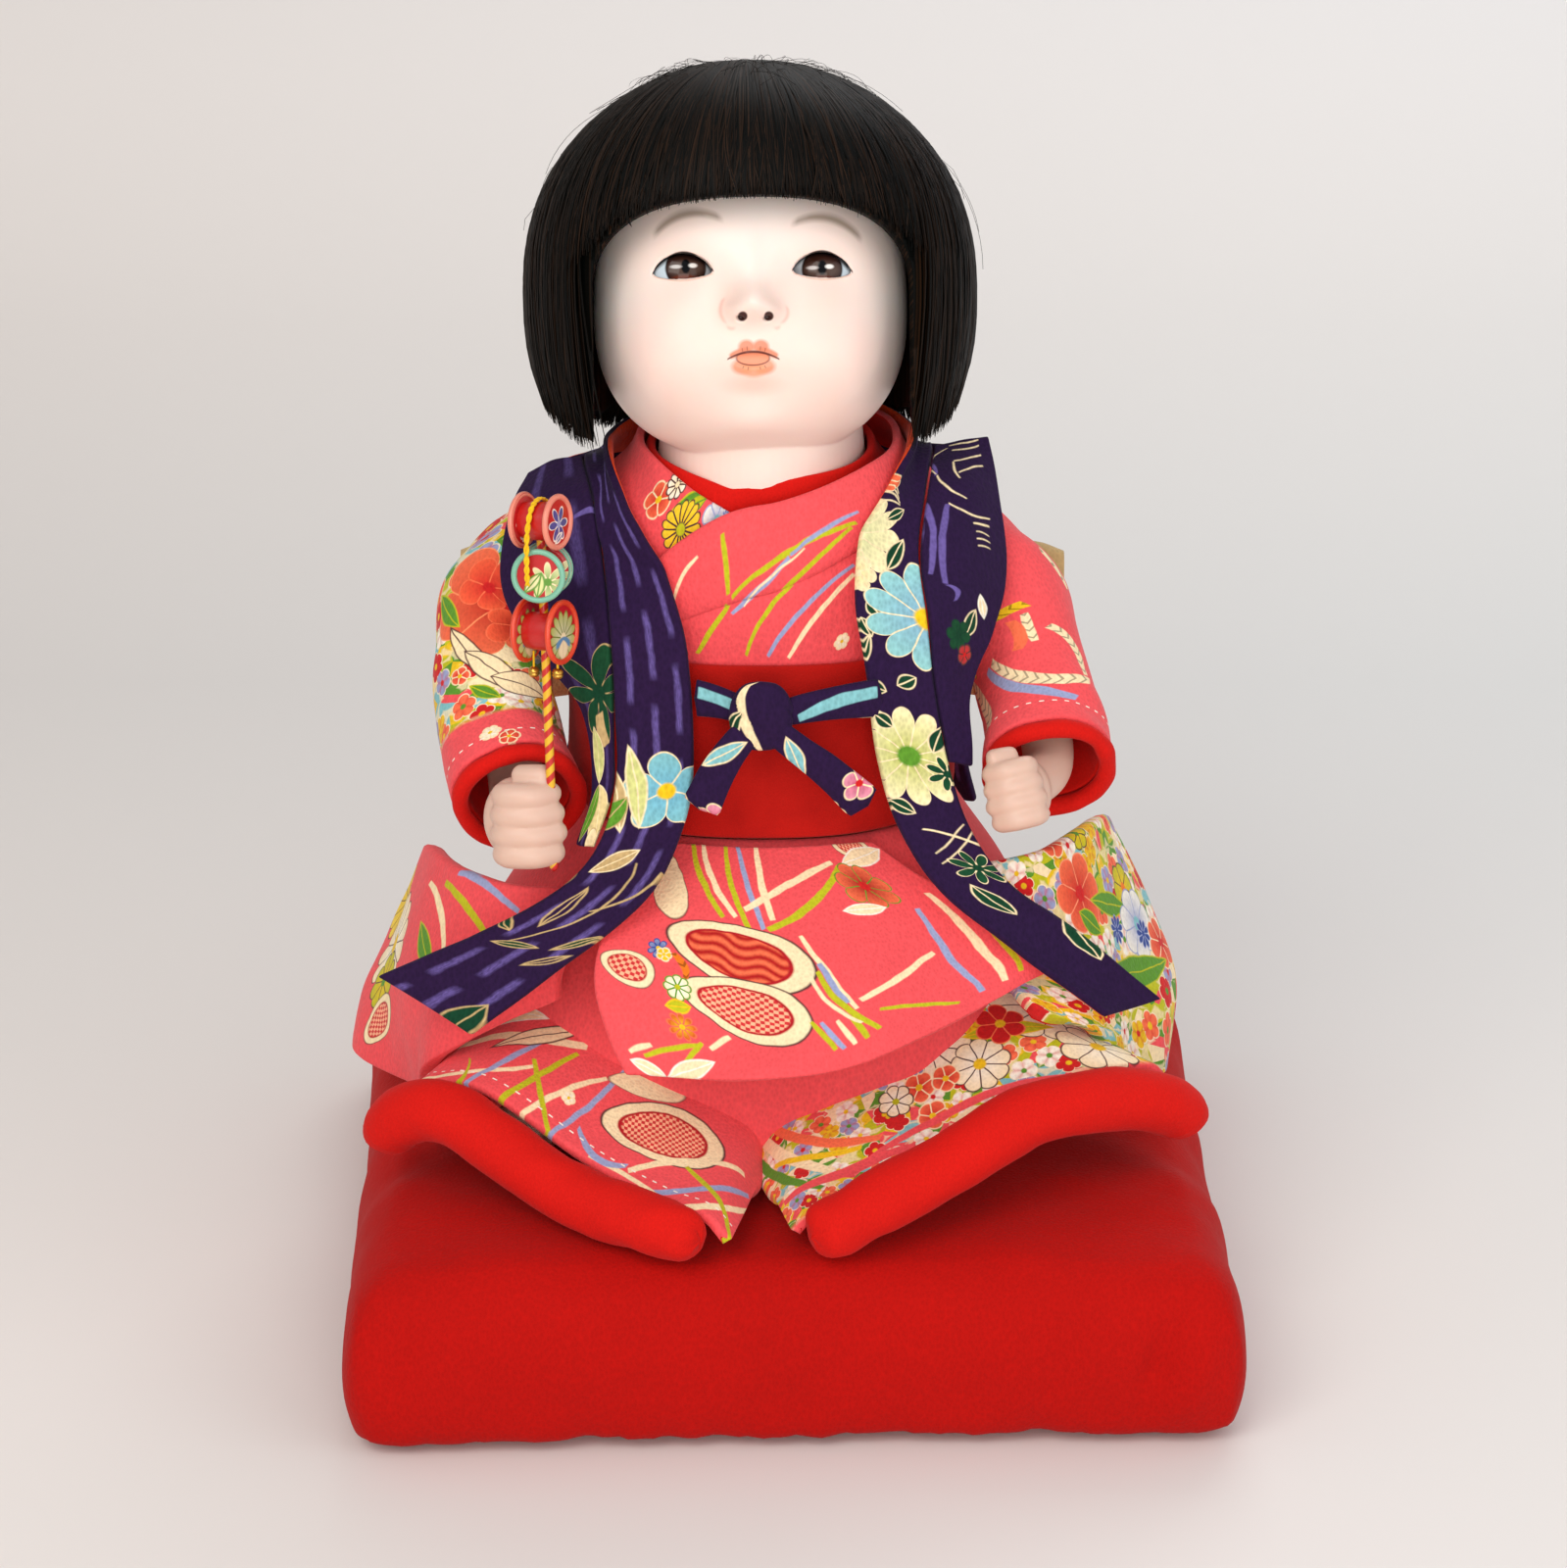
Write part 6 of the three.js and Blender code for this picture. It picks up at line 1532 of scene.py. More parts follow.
@dataclass(frozen=True)
class Skirt:
    """The wadded skirt: its seat, the two legs, their hem rolls and the lap panel."""

    lap: tuple[Any, ...] = (
        ((-0.28, -0.46, 0.450), (0.01, -0.50, 0.450), (0.30, -0.46, 0.450)),
        ((-0.35, -0.57, 0.418), (0.02, -0.62, 0.415), (0.44, -0.54, 0.415)),
        ((-0.42, -0.69, 0.378), (0.06, -0.74, 0.362), (0.62, -0.56, 0.376)),
        ((-0.45, -0.80, 0.320), (0.11, -0.85, 0.305), (0.75, -0.57, 0.336)),
        ((-0.41, -0.89, 0.258), (0.16, -0.92, 0.256), (0.80, -0.58, 0.312)),
        ((-0.36, -0.95, 0.214), (0.16, -0.98, 0.222), (0.80, -0.60, 0.288)),
    )
    lap_waves: float = 1.6
    hem_radius: float = 8.6
    hem_lift: float = 1.2

    def leg(self, side: str, f: Finishes) -> None:
        """One leg of the skirt."""
        t = np.linspace(0, 1, 73)
        across = 0.5 - 0.5 * np.cos(t * math.pi)
        along = np.linspace(-0.22, 1, 49)
        grid = tube_grid_points(side, across, along)
        fade = np.clip(along / 0.3, 0.15, 1)[:, None] * np.sin(t * math.pi)[None] ** 0.5
        grid = Crumple(1.3, 19, 30, 41 if side == "right" else 51, 0.5).push(grid, fade)
        grid[..., 2] = np.maximum(grid[..., 2], SEAT + 0.4)
        face = f.skirt_right if side == "right" else f.skirt_left
        rests = ("cushion_cover", "thigh_cloth_" + side)
        Cloth(
            f"skirt_leg_cloth_{side}", f"skirt_leg_{side}", "pink_crepe", face, f.scarlet, rests_on=rests
        ).cut(grid, SKIRT_WALL, flip=side == "right")

    def roll(self, side: str, f: Finishes) -> None:
        """The padded roll that edges the leg."""
        course = np.array(HEM_PADS[side])
        path = place(spline(course[:, :3], 90))
        girth = np.interp(
            np.linspace(0, len(course) - 1, 91), np.arange(len(course)), course[:, 3]
        ) * self.hem_radius * round_ends(90, 0.05)
        path[:, 2] = np.maximum(path[:, 2] + self.hem_lift, SEAT + girth)
        grid = tube_grid(path, girth, 28, (0, 0, 1))
        grid = Crumple(0.45, 6, 8, 61 if side == "right" else 62).push(grid, 1.0, True)
        obj = dress(grid_object(f"hem_roll_{side}", grid, True, False, True), f.scarlet)
        pad(obj, "doll", f"hem_pad_{side}", 0.7)

    def build(self, f: Finishes) -> None:
        """Makes the skirt."""
        heights = np.linspace(SKIRT_OUTLINE[0][0], SKIRT_OUTLINE[-1][0], 44)[:, None]
        angle = np.arange(160) / 160 * math.tau
        seat = outline_point(SKIRT_OUTLINE, angle[None], heights, 0.0)
        fade = np.sin(np.linspace(0.05, 1, 44) * math.pi)[:, None]
        seat = Crumple(1.1, 22, 30, 45).push(seat, fade, True)
        Cloth(
            "skirt_seat_cloth", "skirt_seat", "pink_crepe", f.crepe, f.scarlet, rests_on=("cushion_cover",)
        ).cut(seat, SKIRT_WALL, True)
        for side in ("right", "left"):
            self.leg(side, f)
            self.roll(side, f)
        lap = net_grid(place(self.lap), 54, 60)
        t = np.linspace(0, 1, 55)[:, None]
        s = np.linspace(0, 1, 61)[None]
        waves = self.lap_waves * np.sin(math.tau * 2 * (s + 0.5 * t)) * t
        lap = lap + normals(lap) * waves[..., None]
        lap = Crumple(0.7, 12, 16, 47, 0.3).push(lap, t)
        Cloth(
            "lap_panel", "skirt_overlap", "pink_crepe", f.lap, f.scarlet,
            rests_on=("skirt_leg_cloth_right", "skirt_leg_cloth_left")
        ).cut(lap, KIMONO_WALL, flip=True)


@dataclass(frozen=True)
class SleeveDrops:
    """The long drops of the sleeves, lying at the doll's sides."""

    right: tuple[Any, ...] = (
        (
            (-0.50, -0.52, 0.395), (-0.68, -0.50, 0.395), (-0.85, -0.33, 0.385), (-0.94, -0.06, 0.360),
            (-0.97, 0.20, 0.300)
        ),
        (
            (-0.52, -0.60, 0.325), (-0.75, -0.58, 0.290), (-0.93, -0.38, 0.245), (-1.04, -0.08, 0.210),
            (-1.06, 0.20, 0.180)
        ),
        (
            (-0.55, -0.64, 0.305), (-0.80, -0.60, 0.240), (-0.97, -0.38, 0.150), (-1.11, -0.08, 0.120),
            (-1.12, 0.20, 0.100)
        ),
        (
            (-0.57, -0.67, 0.255), (-0.84, -0.58, 0.165), (-0.99, -0.36, 0.050), (-1.15, -0.06, 0.030),
            (-1.16, 0.22, 0.030)
        ),
    )
    left: tuple[Any, ...] = (
        (
            (0.60, -0.48, 0.420), (0.76, -0.44, 0.430), (0.90, -0.26, 0.430), (0.97, -0.02, 0.400),
            (0.99, 0.22, 0.330)
        ),
        (
            (0.62, -0.58, 0.310), (0.84, -0.52, 0.290), (1.00, -0.30, 0.260), (1.10, -0.02, 0.240),
            (1.10, 0.24, 0.210)
        ),
        (
            (0.70, -0.62, 0.265), (0.92, -0.54, 0.220), (1.07, -0.32, 0.160), (1.17, -0.02, 0.140),
            (1.17, 0.24, 0.110)
        ),
        (
            (0.74, -0.64, 0.235), (0.96, -0.54, 0.170), (1.08, -0.32, 0.060), (1.17, -0.02, 0.030),
            (1.17, 0.24, 0.030)
        ),
    )
    waves: float = 3.0
    wall: float = 5.0

    def build(self, f: Finishes) -> None:
        """Makes both drops."""
        for side, net, face in (("right", self.right, f.drop_right), ("left", self.left, f.drop_left)):
            grid = net_grid(place(net), 44, 84)
            t = np.linspace(0, 1, 45)[:, None]
            s = np.linspace(0, 1, 85)[None]
            waves = self.waves * np.sin(math.tau * 2 * (s + 0.3 * t)) * t
            grid = grid + normals(grid) * waves[..., None]
            grid = Crumple(0.9, 13, 20, 71 if side == "right" else 75, 0.3).push(grid, 0.3 + 0.7 * t)
            grid[..., 2] = np.maximum(grid[..., 2], SEAT + 2.6)
            rests = ("cushion_cover", f"skirt_leg_cloth_{side}")
            Cloth(
                f"sleeve_drop_cloth_{side}", f"sleeve_drop_{side}", "pink_crepe", face, f.scarlet,
                rests_on=rests
            ).cut(grid, self.wall, flip=side == "left")


# Arms and legs


@dataclass(frozen=True)
class Legs:
    """The cloth thighs and the shell-white lower legs with their feet."""

    thigh: float = 14.0
    foot: float = 10.4
    stations: tuple[tuple[float, float], ...] = (
        (0, 0.70), (0.06, 0.95), (0.25, 1), (0.42, 0.92), (0.52, 0.80), (0.62, 0.84), (0.72, 0.78)
    )
    split: float = 0.42
    sole: float = 0.92
    hip: tuple[float, float, float] = (0.29, -0.10, 0.115)
    ankle: tuple[float, float, float] = (0.62, -0.60, 0.06)
    toes: tuple[float, ...] = (-1, -0.45, 0.05, 0.5, 0.9)

    def build(self, f: Finishes) -> None:
        """Makes both legs."""
        for name, side in (("right", -1), ("left", 1)):
            hip = place((side * self.hip[0], *self.hip[1:]))
            ankle = place((side * self.ankle[0], *self.ankle[1:]))
            ahead, length = unit(ankle - hip), float(np.linalg.norm(ankle - hip))
            t = np.linspace(0, self.split, 30)
            radii = read_table(self.stations, t)[:, 0] * self.thigh - 0.3
            upper = tube_grid(
                hip + np.outer(t * length, ahead), radii * round_ends(29, 0.03), 32, (0, 0, 1)
            )
            cloth = dress(
                grid_object(
                    f"thigh_cloth_{name}", Crumple(0.3, 6, 6, 81).push(upper, 1.0, True), True, False, True
                ),
                f.cotton
            )
            pad(cloth, f"{name}_leg", f"thigh_{name}", 0.9)
            t = np.linspace(self.split + 0.008, 0.80, 24)
            radii = read_table(self.stations, t)[:, 0] * self.thigh - 0.3
            calf = tube_grid(hip + np.outer(t * length, ahead), radii * round_ends(23, 0.04), 32, (0, 0, 1))
            parts = [grid_object("calf", calf, True, False, True)]
            across = np.array([-ahead[1], ahead[0], 0])
            flat = unit((ahead[0], ahead[1], 0))
            heel = hip + ahead * length * self.sole
            s = np.linspace(-1, 1, 24)
            shape = np.sqrt(np.maximum(1 - s * s, 0.0004))
            rings = [
                ring(
                    heel + flat * k * self.foot * 1.5, across, np.array([0, 0, 1.0]), self.foot * w,
                    self.foot * 0.85 * w, 32
                )
                for k, w in zip(s, shape)
            ]
            parts.append(grid_object("foot", np.array(rings), True, False, True))
            for i, k in enumerate(self.toes):
                size = self.foot * (0.30 if i == (4 if side > 0 else 0) else 0.22)
                tip = heel + flat * self.foot * (1.35 - 0.25 * abs(k)) + across * k * self.foot * 0.62
                rings = [
                    ring(
                        tip + flat * q * size * 1.5, across, np.array([0, 0, 1.0]), size * 1.2 * w,
                        size * 1.4 * w, 16
                    )
                    for q, w in zip(s, shape)
                ]
                parts.append(grid_object("toe", np.array(rings), True, False, True))
            lower = fuse(join_objects(f"lower_leg_skin_{name}", parts), 0.7, 5)
            hard(dress(lower, f.skin), f"{name}_leg", "shell_white", f"lower_leg_{name}")


@dataclass(frozen=True)
class Fist:
    """A closed fist in shares of its size: across, ahead and up."""

    size: float = 10.0
    palm: tuple[float, float, float] = (0.15, -0.45, 0)
    palm_radii: tuple[float, float, float] = (0.96, 0.72, 1.18)
    finger: float = 0.37
    pitch: float = 0.54
    course: tuple[tuple[float, float], ...] = (
        (0.75, -0.1), (0.45, 0.3), (-0.3, 0.44), (-0.85, 0.12), (-1.12, -0.1)
    )
    girth: tuple[float, ...] = (0.8, 1, 1, 0.95, 0.5)
    thumb: float = 0.33
    elbow: float = 8.6

    def build(
        self, name: str, centre: np.ndarray, side: np.ndarray, ahead: np.ndarray, up: np.ndarray,
        wrist: Sequence[np.ndarray]
    ) -> bpy.types.Object:
        """Makes a hand and forearm as one skin.

        Args:
            name: The object's name.
            centre: The grip's middle.
            side: Towards the back of the hand's outer side.
            ahead: Away from the arm.
            up: Along the grip.
            wrist: Points of the forearm.

        Returns:
            The fused hand.
        """
        def at(x: float, y: float, z: float) -> np.ndarray:
            """A place in the fist."""
            return centre + (side * x + ahead * y + up * z) * self.size

        def blob(middle: np.ndarray, radii: Sequence[float]) -> bpy.types.Object:
            """An oval lump."""
            s = np.linspace(-1, 1, 24)
            shape = np.sqrt(np.maximum(1 - s * s, 0.0004))
            rings = [
                ring(
                    middle + up * k * radii[2] * self.size, side, ahead, radii[0] * self.size * w,
                    radii[1] * self.size * w, 28
                )
                for k, w in zip(s, shape)
            ]
            return grid_object("lump", np.array(rings), True, False, True)

        parts = [blob(at(*self.palm), self.palm_radii)]
        for k in (1.5, 0.5, -0.5, -1.5):
            shorter = 1 - 0.08 * abs(k + 0.3)
            path = spline([at(x * shorter, y, k * self.pitch) for x, y in self.course], 24)
            radii = np.interp(
                np.linspace(0, 4, 25), range(5), self.girth
            ) * self.finger * self.size * round_ends(24, 0.1)
            parts.append(grid_object("finger", tube_grid(path, radii, 18, up), True, False, True))
        path = spline([at(0.25, -0.25, 1.2), at(-0.25, 0.0, 1.26), at(-0.80, 0.14, 1.28)], 16)
        parts.append(
            grid_object(
                "thumb", tube_grid(path, self.thumb * self.size * round_ends(16, 0.22), 18, up), True,
                False, True
            )
        )
        path = spline([at(0.3, -0.6, 0), *wrist], 30)
        radii = np.linspace(0.76 * self.size, self.elbow * 0.9, 31) * round_ends(30, 0.06)
        parts.append(grid_object("forearm", tube_grid(path, radii, 26, up), True, False, True))
        return fuse(join_objects(name, parts), 0.55, 5)


RIGHT_SLEEVE = (
    ((-0.505, -0.01, 0.795), (0.135, 0.140)), ((-0.600, -0.02, 0.775), (0.155, 0.165)),
    ((-0.720, -0.03, 0.722), (0.165, 0.190)),
    ((-0.735, -0.12, 0.640), (0.160, 0.195)), ((-0.715, -0.27, 0.560), (0.165, 0.205)),
    ((-0.665, -0.42, 0.515), (0.175, 0.215)),
)
LEFT_SLEEVE = (
    ((0.537, -0.01, 0.795), (0.135, 0.140)), ((0.600, -0.02, 0.775), (0.150, 0.160)),
    ((0.690, -0.05, 0.724), (0.152, 0.175)),
    ((0.735, -0.12, 0.650), (0.158, 0.180)), ((0.765, -0.25, 0.590), (0.168, 0.190)),
    ((0.780, -0.38, 0.550), (0.180, 0.195)),
)
FISTS = {"right": (-0.635, -0.665, 0.520), "left": (0.690, -0.605, 0.550)}


@dataclass(frozen=True)
class Arm:
    """One arm: its sleeve, lining, cuff roll, hand and hidden upper arm."""

    side: str
    shares: tuple[Any, ...]
    sides: int = 64
    steps: int = 63
    lining: float = 1.2
    left_fist: float = 8.2

    @property
    def sign(self) -> int:
        """-1 on the doll's right."""
        return -1 if self.side == "right" else 1

    def sleeve(self, grow: float) -> np.ndarray:
        """The sleeve's rings from the shoulder to the cuff."""
        centres = place([p for p, _ in self.shares])
        path = spline(centres, self.steps)
        step = max(self.steps // 7, 1)
        rings = []
        t = np.linspace(0, len(self.shares) - 1, self.steps + 1)
        radii = np.stack(
            [np.interp(t, range(len(self.shares)), [r[k] for _, r in self.shares]) for k in (0, 1)], -1
        ) * CLOTH_HALF
        for i, p in enumerate(path):
            before, after = path[max(i - step, 0)], path[min(i + step, self.steps)]
            level = np.array([float(self.sign), 0, 0])
            blend = min(i / (3 * step), 1.0)
            ahead = unit(level * (1 - blend) + unit(after - before) * blend)
            side = unit(np.cross(ahead, (0, -1, 0.15)))
            other = unit(np.cross(side, ahead))
            rings.append(ring(p, side, other, radii[i, 0] + grow, radii[i, 1] + grow, self.sides, 2.2))
        return np.array(rings)

    def build(self, f: Finishes) -> None:
        """Makes the arm."""
        body = f"{self.side}_arm"
        right = self.side == "right"
        t = np.linspace(0, 1, self.steps + 1)[:, None]
        fade = np.clip(t * 5, 0, 1) * np.clip((1 - t) * 8, 0, 1)
        sleeve = Crumple(1.5, 14, 11, 91 if right else 97).push(self.sleeve(0), fade, True)
        face = f.sleeve_right if right else f.sleeve_left
        Cloth(f"sleeve_cloth_{self.side}", f"sleeve_{self.side}", "pink_crepe", face, f.scarlet, body).cut(
            sleeve, SLEEVE_WALL, True, flip=True
        )
        inner = self.sleeve(-SLEEVE_WALL - CLEARANCE * 2)[-24:]
        inner = Crumple(0.5, 9, 9, 93).push(inner, 1.0, True)
        Cloth(
            f"sleeve_red_{self.side}", f"sleeve_lining_{self.side}", "red_lining", f.scarlet, f.scarlet,
            body
        ).cut(inner, self.lining, True, flip=True)
        self.cuff(f, body)
        shoulder = self.sleeve(-SLEEVE_WALL - CLEARANCE * 2 - 0.3)[8:34]
        arm = dress(grid_object(f"upper_arm_cloth_{self.side}", shoulder, True, right, True), f.cotton)
        pad(arm, body, f"upper_arm_{self.side}", 0.9)
        self.hand(f, body)

    def cuff(self, f: Finishes, body: str) -> None:
        """The padded roll at the sleeve's opening."""
        rings = self.sleeve(0)
        last = spline(np.concatenate([rings[-1], rings[-1][:1]]), 160)[:-1]
        centre = last.mean(0)
        out = unit(centre - rings[-6].mean(0))
        inward = unit(centre - last)
        angle = np.arange(18) / 18 * math.tau
        grid = np.array(
            [
                last + inward * SLEEVE_WALL * (0.9 + 1.1 * math.cos(a)) + out
                * (CLEARANCE + SLEEVE_WALL * (1.0 + 1.1 * math.sin(a))) for a in angle
            ]
        )
        grid = np.concatenate([grid, grid[:1]])
        grid = Crumple(0.35, 5, 40, 95).push(grid, 1.0, True)
        grid[-1] = grid[0]
        obj = weld(grid_object(f"cuff_roll_{self.side}", grid, True, self.side == "left"), 0.01)
        dress(obj, f.scarlet)
        pad(obj, body, f"cuff_pad_{self.side}", 0.8)

    def hand(self, f: Finishes, body: str) -> None:
        """The fist and forearm."""
        coarse = self.sleeve(0)
        elbow = coarse[round(self.steps * 4 / 7)].mean(0)
        grip = place(FISTS[self.side])
        if self.side == "right":
            up = -Rattle().down
        else:
            up = unit((-0.25, 0.35, 1))
        side = unit(np.array([self.sign, 0, 0]) - up * self.sign * up[0])
        ahead = unit(np.cross(up, side))
        if ahead[1] > 0:
            ahead = -ahead
        fist = Fist() if self.side == "right" else Fist(size=self.left_fist)
        obj = fist.build(
            f"hand_skin_{self.side}", grip, side, ahead, up, [place(self.shares[-1][0]), elbow]
        )
        hard(dress(obj, f.skin), body, "shell_white", f"hand_{self.side}")


# Coat and its tie


@dataclass(frozen=True)
class Vest:
    """The open sleeveless coat: back, two neck bands and two fronts."""

    collar_right: tuple[Any, ...] = (
        ((-0.02, 0.35, 0.943), (-0.02, 0.39, 0.883)), ((-0.24, 0.3, 0.943), (-0.3, 0.34, 0.883)),
        ((-0.38, 0.12, 0.938), (-0.46, 0.16, 0.898)),
        ((-0.375, -0.05, 0.943), (-0.48, -0.03, 0.928)), ((-0.33, -0.24, 0.913), (-0.45, -0.22, 0.903)),
        ((-0.28, -0.39, 0.848), (-0.42, -0.36, 0.838)),
        ((-0.21, -0.505, 0.758), (-0.4, -0.49, 0.748)), ((-0.19, -0.54, 0.658), (-0.39, -0.525, 0.658)),
        ((-0.19, -0.58, 0.558), (-0.39, -0.56, 0.553)),
        ((-0.23, -0.64, 0.484), (-0.44, -0.62, 0.474)), ((-0.31, -0.72, 0.423), (-0.56, -0.69, 0.419)),
        ((-0.52, -0.77, 0.339), (-0.79, -0.69, 0.354)),
        ((-0.79, -0.78, 0.234), (-1.05, -0.61, 0.279)),
    )
    collar_left: tuple[Any, ...] = (
        ((0.02, 0.35, 0.943), (0.02, 0.39, 0.883)), ((0.24, 0.3, 0.953), (0.3, 0.35, 0.898)),
        ((0.36, 0.12, 0.948), (0.45, 0.16, 0.913)),
        ((0.355, -0.05, 0.958), (0.46, -0.03, 0.943)), ((0.31, -0.24, 0.928), (0.44, -0.22, 0.913)),
        ((0.27, -0.4, 0.873), (0.42, -0.37, 0.853)),
        ((0.26, -0.495, 0.798), (0.44, -0.47, 0.778)), ((0.29, -0.525, 0.703), (0.46, -0.5, 0.688)),
        ((0.32, -0.56, 0.589), (0.5, -0.535, 0.579)),
        ((0.38, -0.61, 0.498), (0.57, -0.58, 0.484)), ((0.485, -0.66, 0.423), (0.68, -0.62, 0.414)),
        ((0.68, -0.68, 0.344), (0.87, -0.6, 0.339)),
        ((0.94, -0.68, 0.239), (1.1, -0.54, 0.229)),
    )
    front_right: tuple[Any, ...] = (
        ((-0.492, -0.03, 0.931), (-0.57, -0.02, 0.923), (-0.64, -0.01, 0.903)),
        ((-0.462, -0.22, 0.906), (-0.58, -0.18, 0.888), (-0.7, -0.13, 0.857)),
        ((-0.432, -0.36, 0.838), (-0.56, -0.32, 0.818), (-0.71, -0.24, 0.773)),
        ((-0.412, -0.49, 0.748), (-0.51, -0.44, 0.728), (-0.60, -0.37, 0.703)),
        ((-0.402, -0.525, 0.658), (-0.445, -0.505, 0.650), (-0.485, -0.475, 0.643)),
        ((-0.402, -0.56, 0.553), (-0.43, -0.552, 0.549), (-0.455, -0.54, 0.545)),
        ((-0.452, -0.62, 0.474), (-0.475, -0.615, 0.474), (-0.50, -0.605, 0.474)),
    )
    front_left: tuple[Any, ...] = (
        ((0.472, -0.03, 0.946), (0.55, -0.02, 0.953), (0.62, 0, 0.953)),
        ((0.452, -0.22, 0.916), (0.56, -0.19, 0.908), (0.66, -0.14, 0.878)),
        ((0.432, -0.37, 0.856), (0.55, -0.33, 0.838), (0.67, -0.25, 0.793)),
        ((0.452, -0.47, 0.781), (0.54, -0.42, 0.758), (0.63, -0.35, 0.728)),
        ((0.472, -0.5, 0.688), (0.525, -0.475, 0.678), (0.57, -0.435, 0.663)),
        ((0.512, -0.535, 0.579), (0.545, -0.525, 0.574), (0.57, -0.51, 0.569)),
    )
    back: tuple[Any, ...] = (
        (
            (-0.61, 0.06, 0.883), (-0.49, 0.22, 0.882), (-0.24, 0.36, 0.880), (0, 0.40, 0.8795),
            (0.24, 0.37, 0.891), (0.48, 0.22, 0.896), (0.58, 0.08, 0.923)
        ),
        (
            (-0.64, 0.34, 0.813), (-0.48, 0.46, 0.803), (-0.24, 0.54, 0.788), (0, 0.57, 0.778),
            (0.24, 0.54, 0.788), (0.48, 0.46, 0.803), (0.63, 0.34, 0.818)
        ),
        (
            (-0.61, 0.6, 0.723), (-0.48, 0.63, 0.723), (-0.24, 0.68, 0.713), (0, 0.71, 0.703),
            (0.24, 0.68, 0.713), (0.48, 0.63, 0.723), (0.61, 0.6, 0.723)
        ),
        (
            (-0.59, 0.63, 0.589), (-0.48, 0.67, 0.579), (-0.24, 0.72, 0.569), (0, 0.74, 0.558),
            (0.24, 0.72, 0.569), (0.48, 0.67, 0.579), (0.59, 0.63, 0.589)
        ),
        (
            (-0.57, 0.65, 0.469), (-0.48, 0.7, 0.454), (-0.24, 0.76, 0.439), (0, 0.78, 0.428),
            (0.24, 0.76, 0.439), (0.48, 0.7, 0.454), (0.58, 0.65, 0.469)
        ),
        (
            (-0.58, 0.71, 0.359), (-0.48, 0.75, 0.339), (-0.24, 0.82, 0.319), (0, 0.84, 0.308),
            (0.24, 0.82, 0.319), (0.48, 0.75, 0.339), (0.59, 0.71, 0.359)
        ),
        (
            (-0.64, 0.77, 0.259), (-0.5, 0.83, 0.239), (-0.24, 0.89, 0.219), (0, 0.91, 0.209),
            (0.24, 0.89, 0.219), (0.5, 0.83, 0.239), (0.64, 0.77, 0.259)
        ),
    )

    def build(self, f: Finishes) -> None:
        """Makes the coat."""
        back = outside_body(net_grid(place(self.back), 70, 90))
        t = np.linspace(0, 1, 71)[:, None]
        s = np.linspace(0, 1, 91)[None]
        back = back + normals(back) * (2.5 * np.sin(math.tau * 3 * (s + 0.25 * t)) * t)[..., None]
        back = Crumple(0.9, 16, 26, 101, 0.2).push(back, t)
        Cloth(
            "coat_back", "vest_back", "vest_crepe", f.vest_back, f.vest_lining, held="hung"
        ).cut(back, VEST_WALL, flip=True)
        for side, collar, front, band_face, front_face in (
            ("right", self.collar_right, self.front_right, f.vest_right, f.vest_outer_right),
            ("left", self.collar_left, self.front_left, f.vest_left, f.vest_outer_left),
        ):
            turned = side == "left"
            grid = outside_body(net_grid(place(collar), 180, 26))
            across = np.linspace(0, 1, 27)[None]
            away = -1.0 if turned else 1.0
            grid = grid + normals(grid) * away * (
                0.7 * np.sin(across * math.pi) - 0.4 * (2 * across - 1) ** 6
            )[..., None] * -1
            grid = Crumple(0.5, 14, 24, 103 if turned else 105, 0.4).push(
                grid, np.linspace(0.3, 1, 181)[:, None]
            )
            Cloth(
                f"coat_band_{side}", f"vest_collar_{side}", "vest_crepe", band_face, f.vest_lining,
                held="hung"
            ).cut(grid, VEST_WALL, flip=turned)
            grid = outside_body(net_grid(place(front), 90, 26))
            grid = Crumple(0.6, 14, 18, 107 if turned else 109, 0.4).push(grid)
            Cloth(
                f"coat_front_{side}", f"vest_front_{side}", "vest_crepe", front_face, f.vest_lining,
                held="hung"
            ).cut(grid, VEST_WALL, flip=turned)


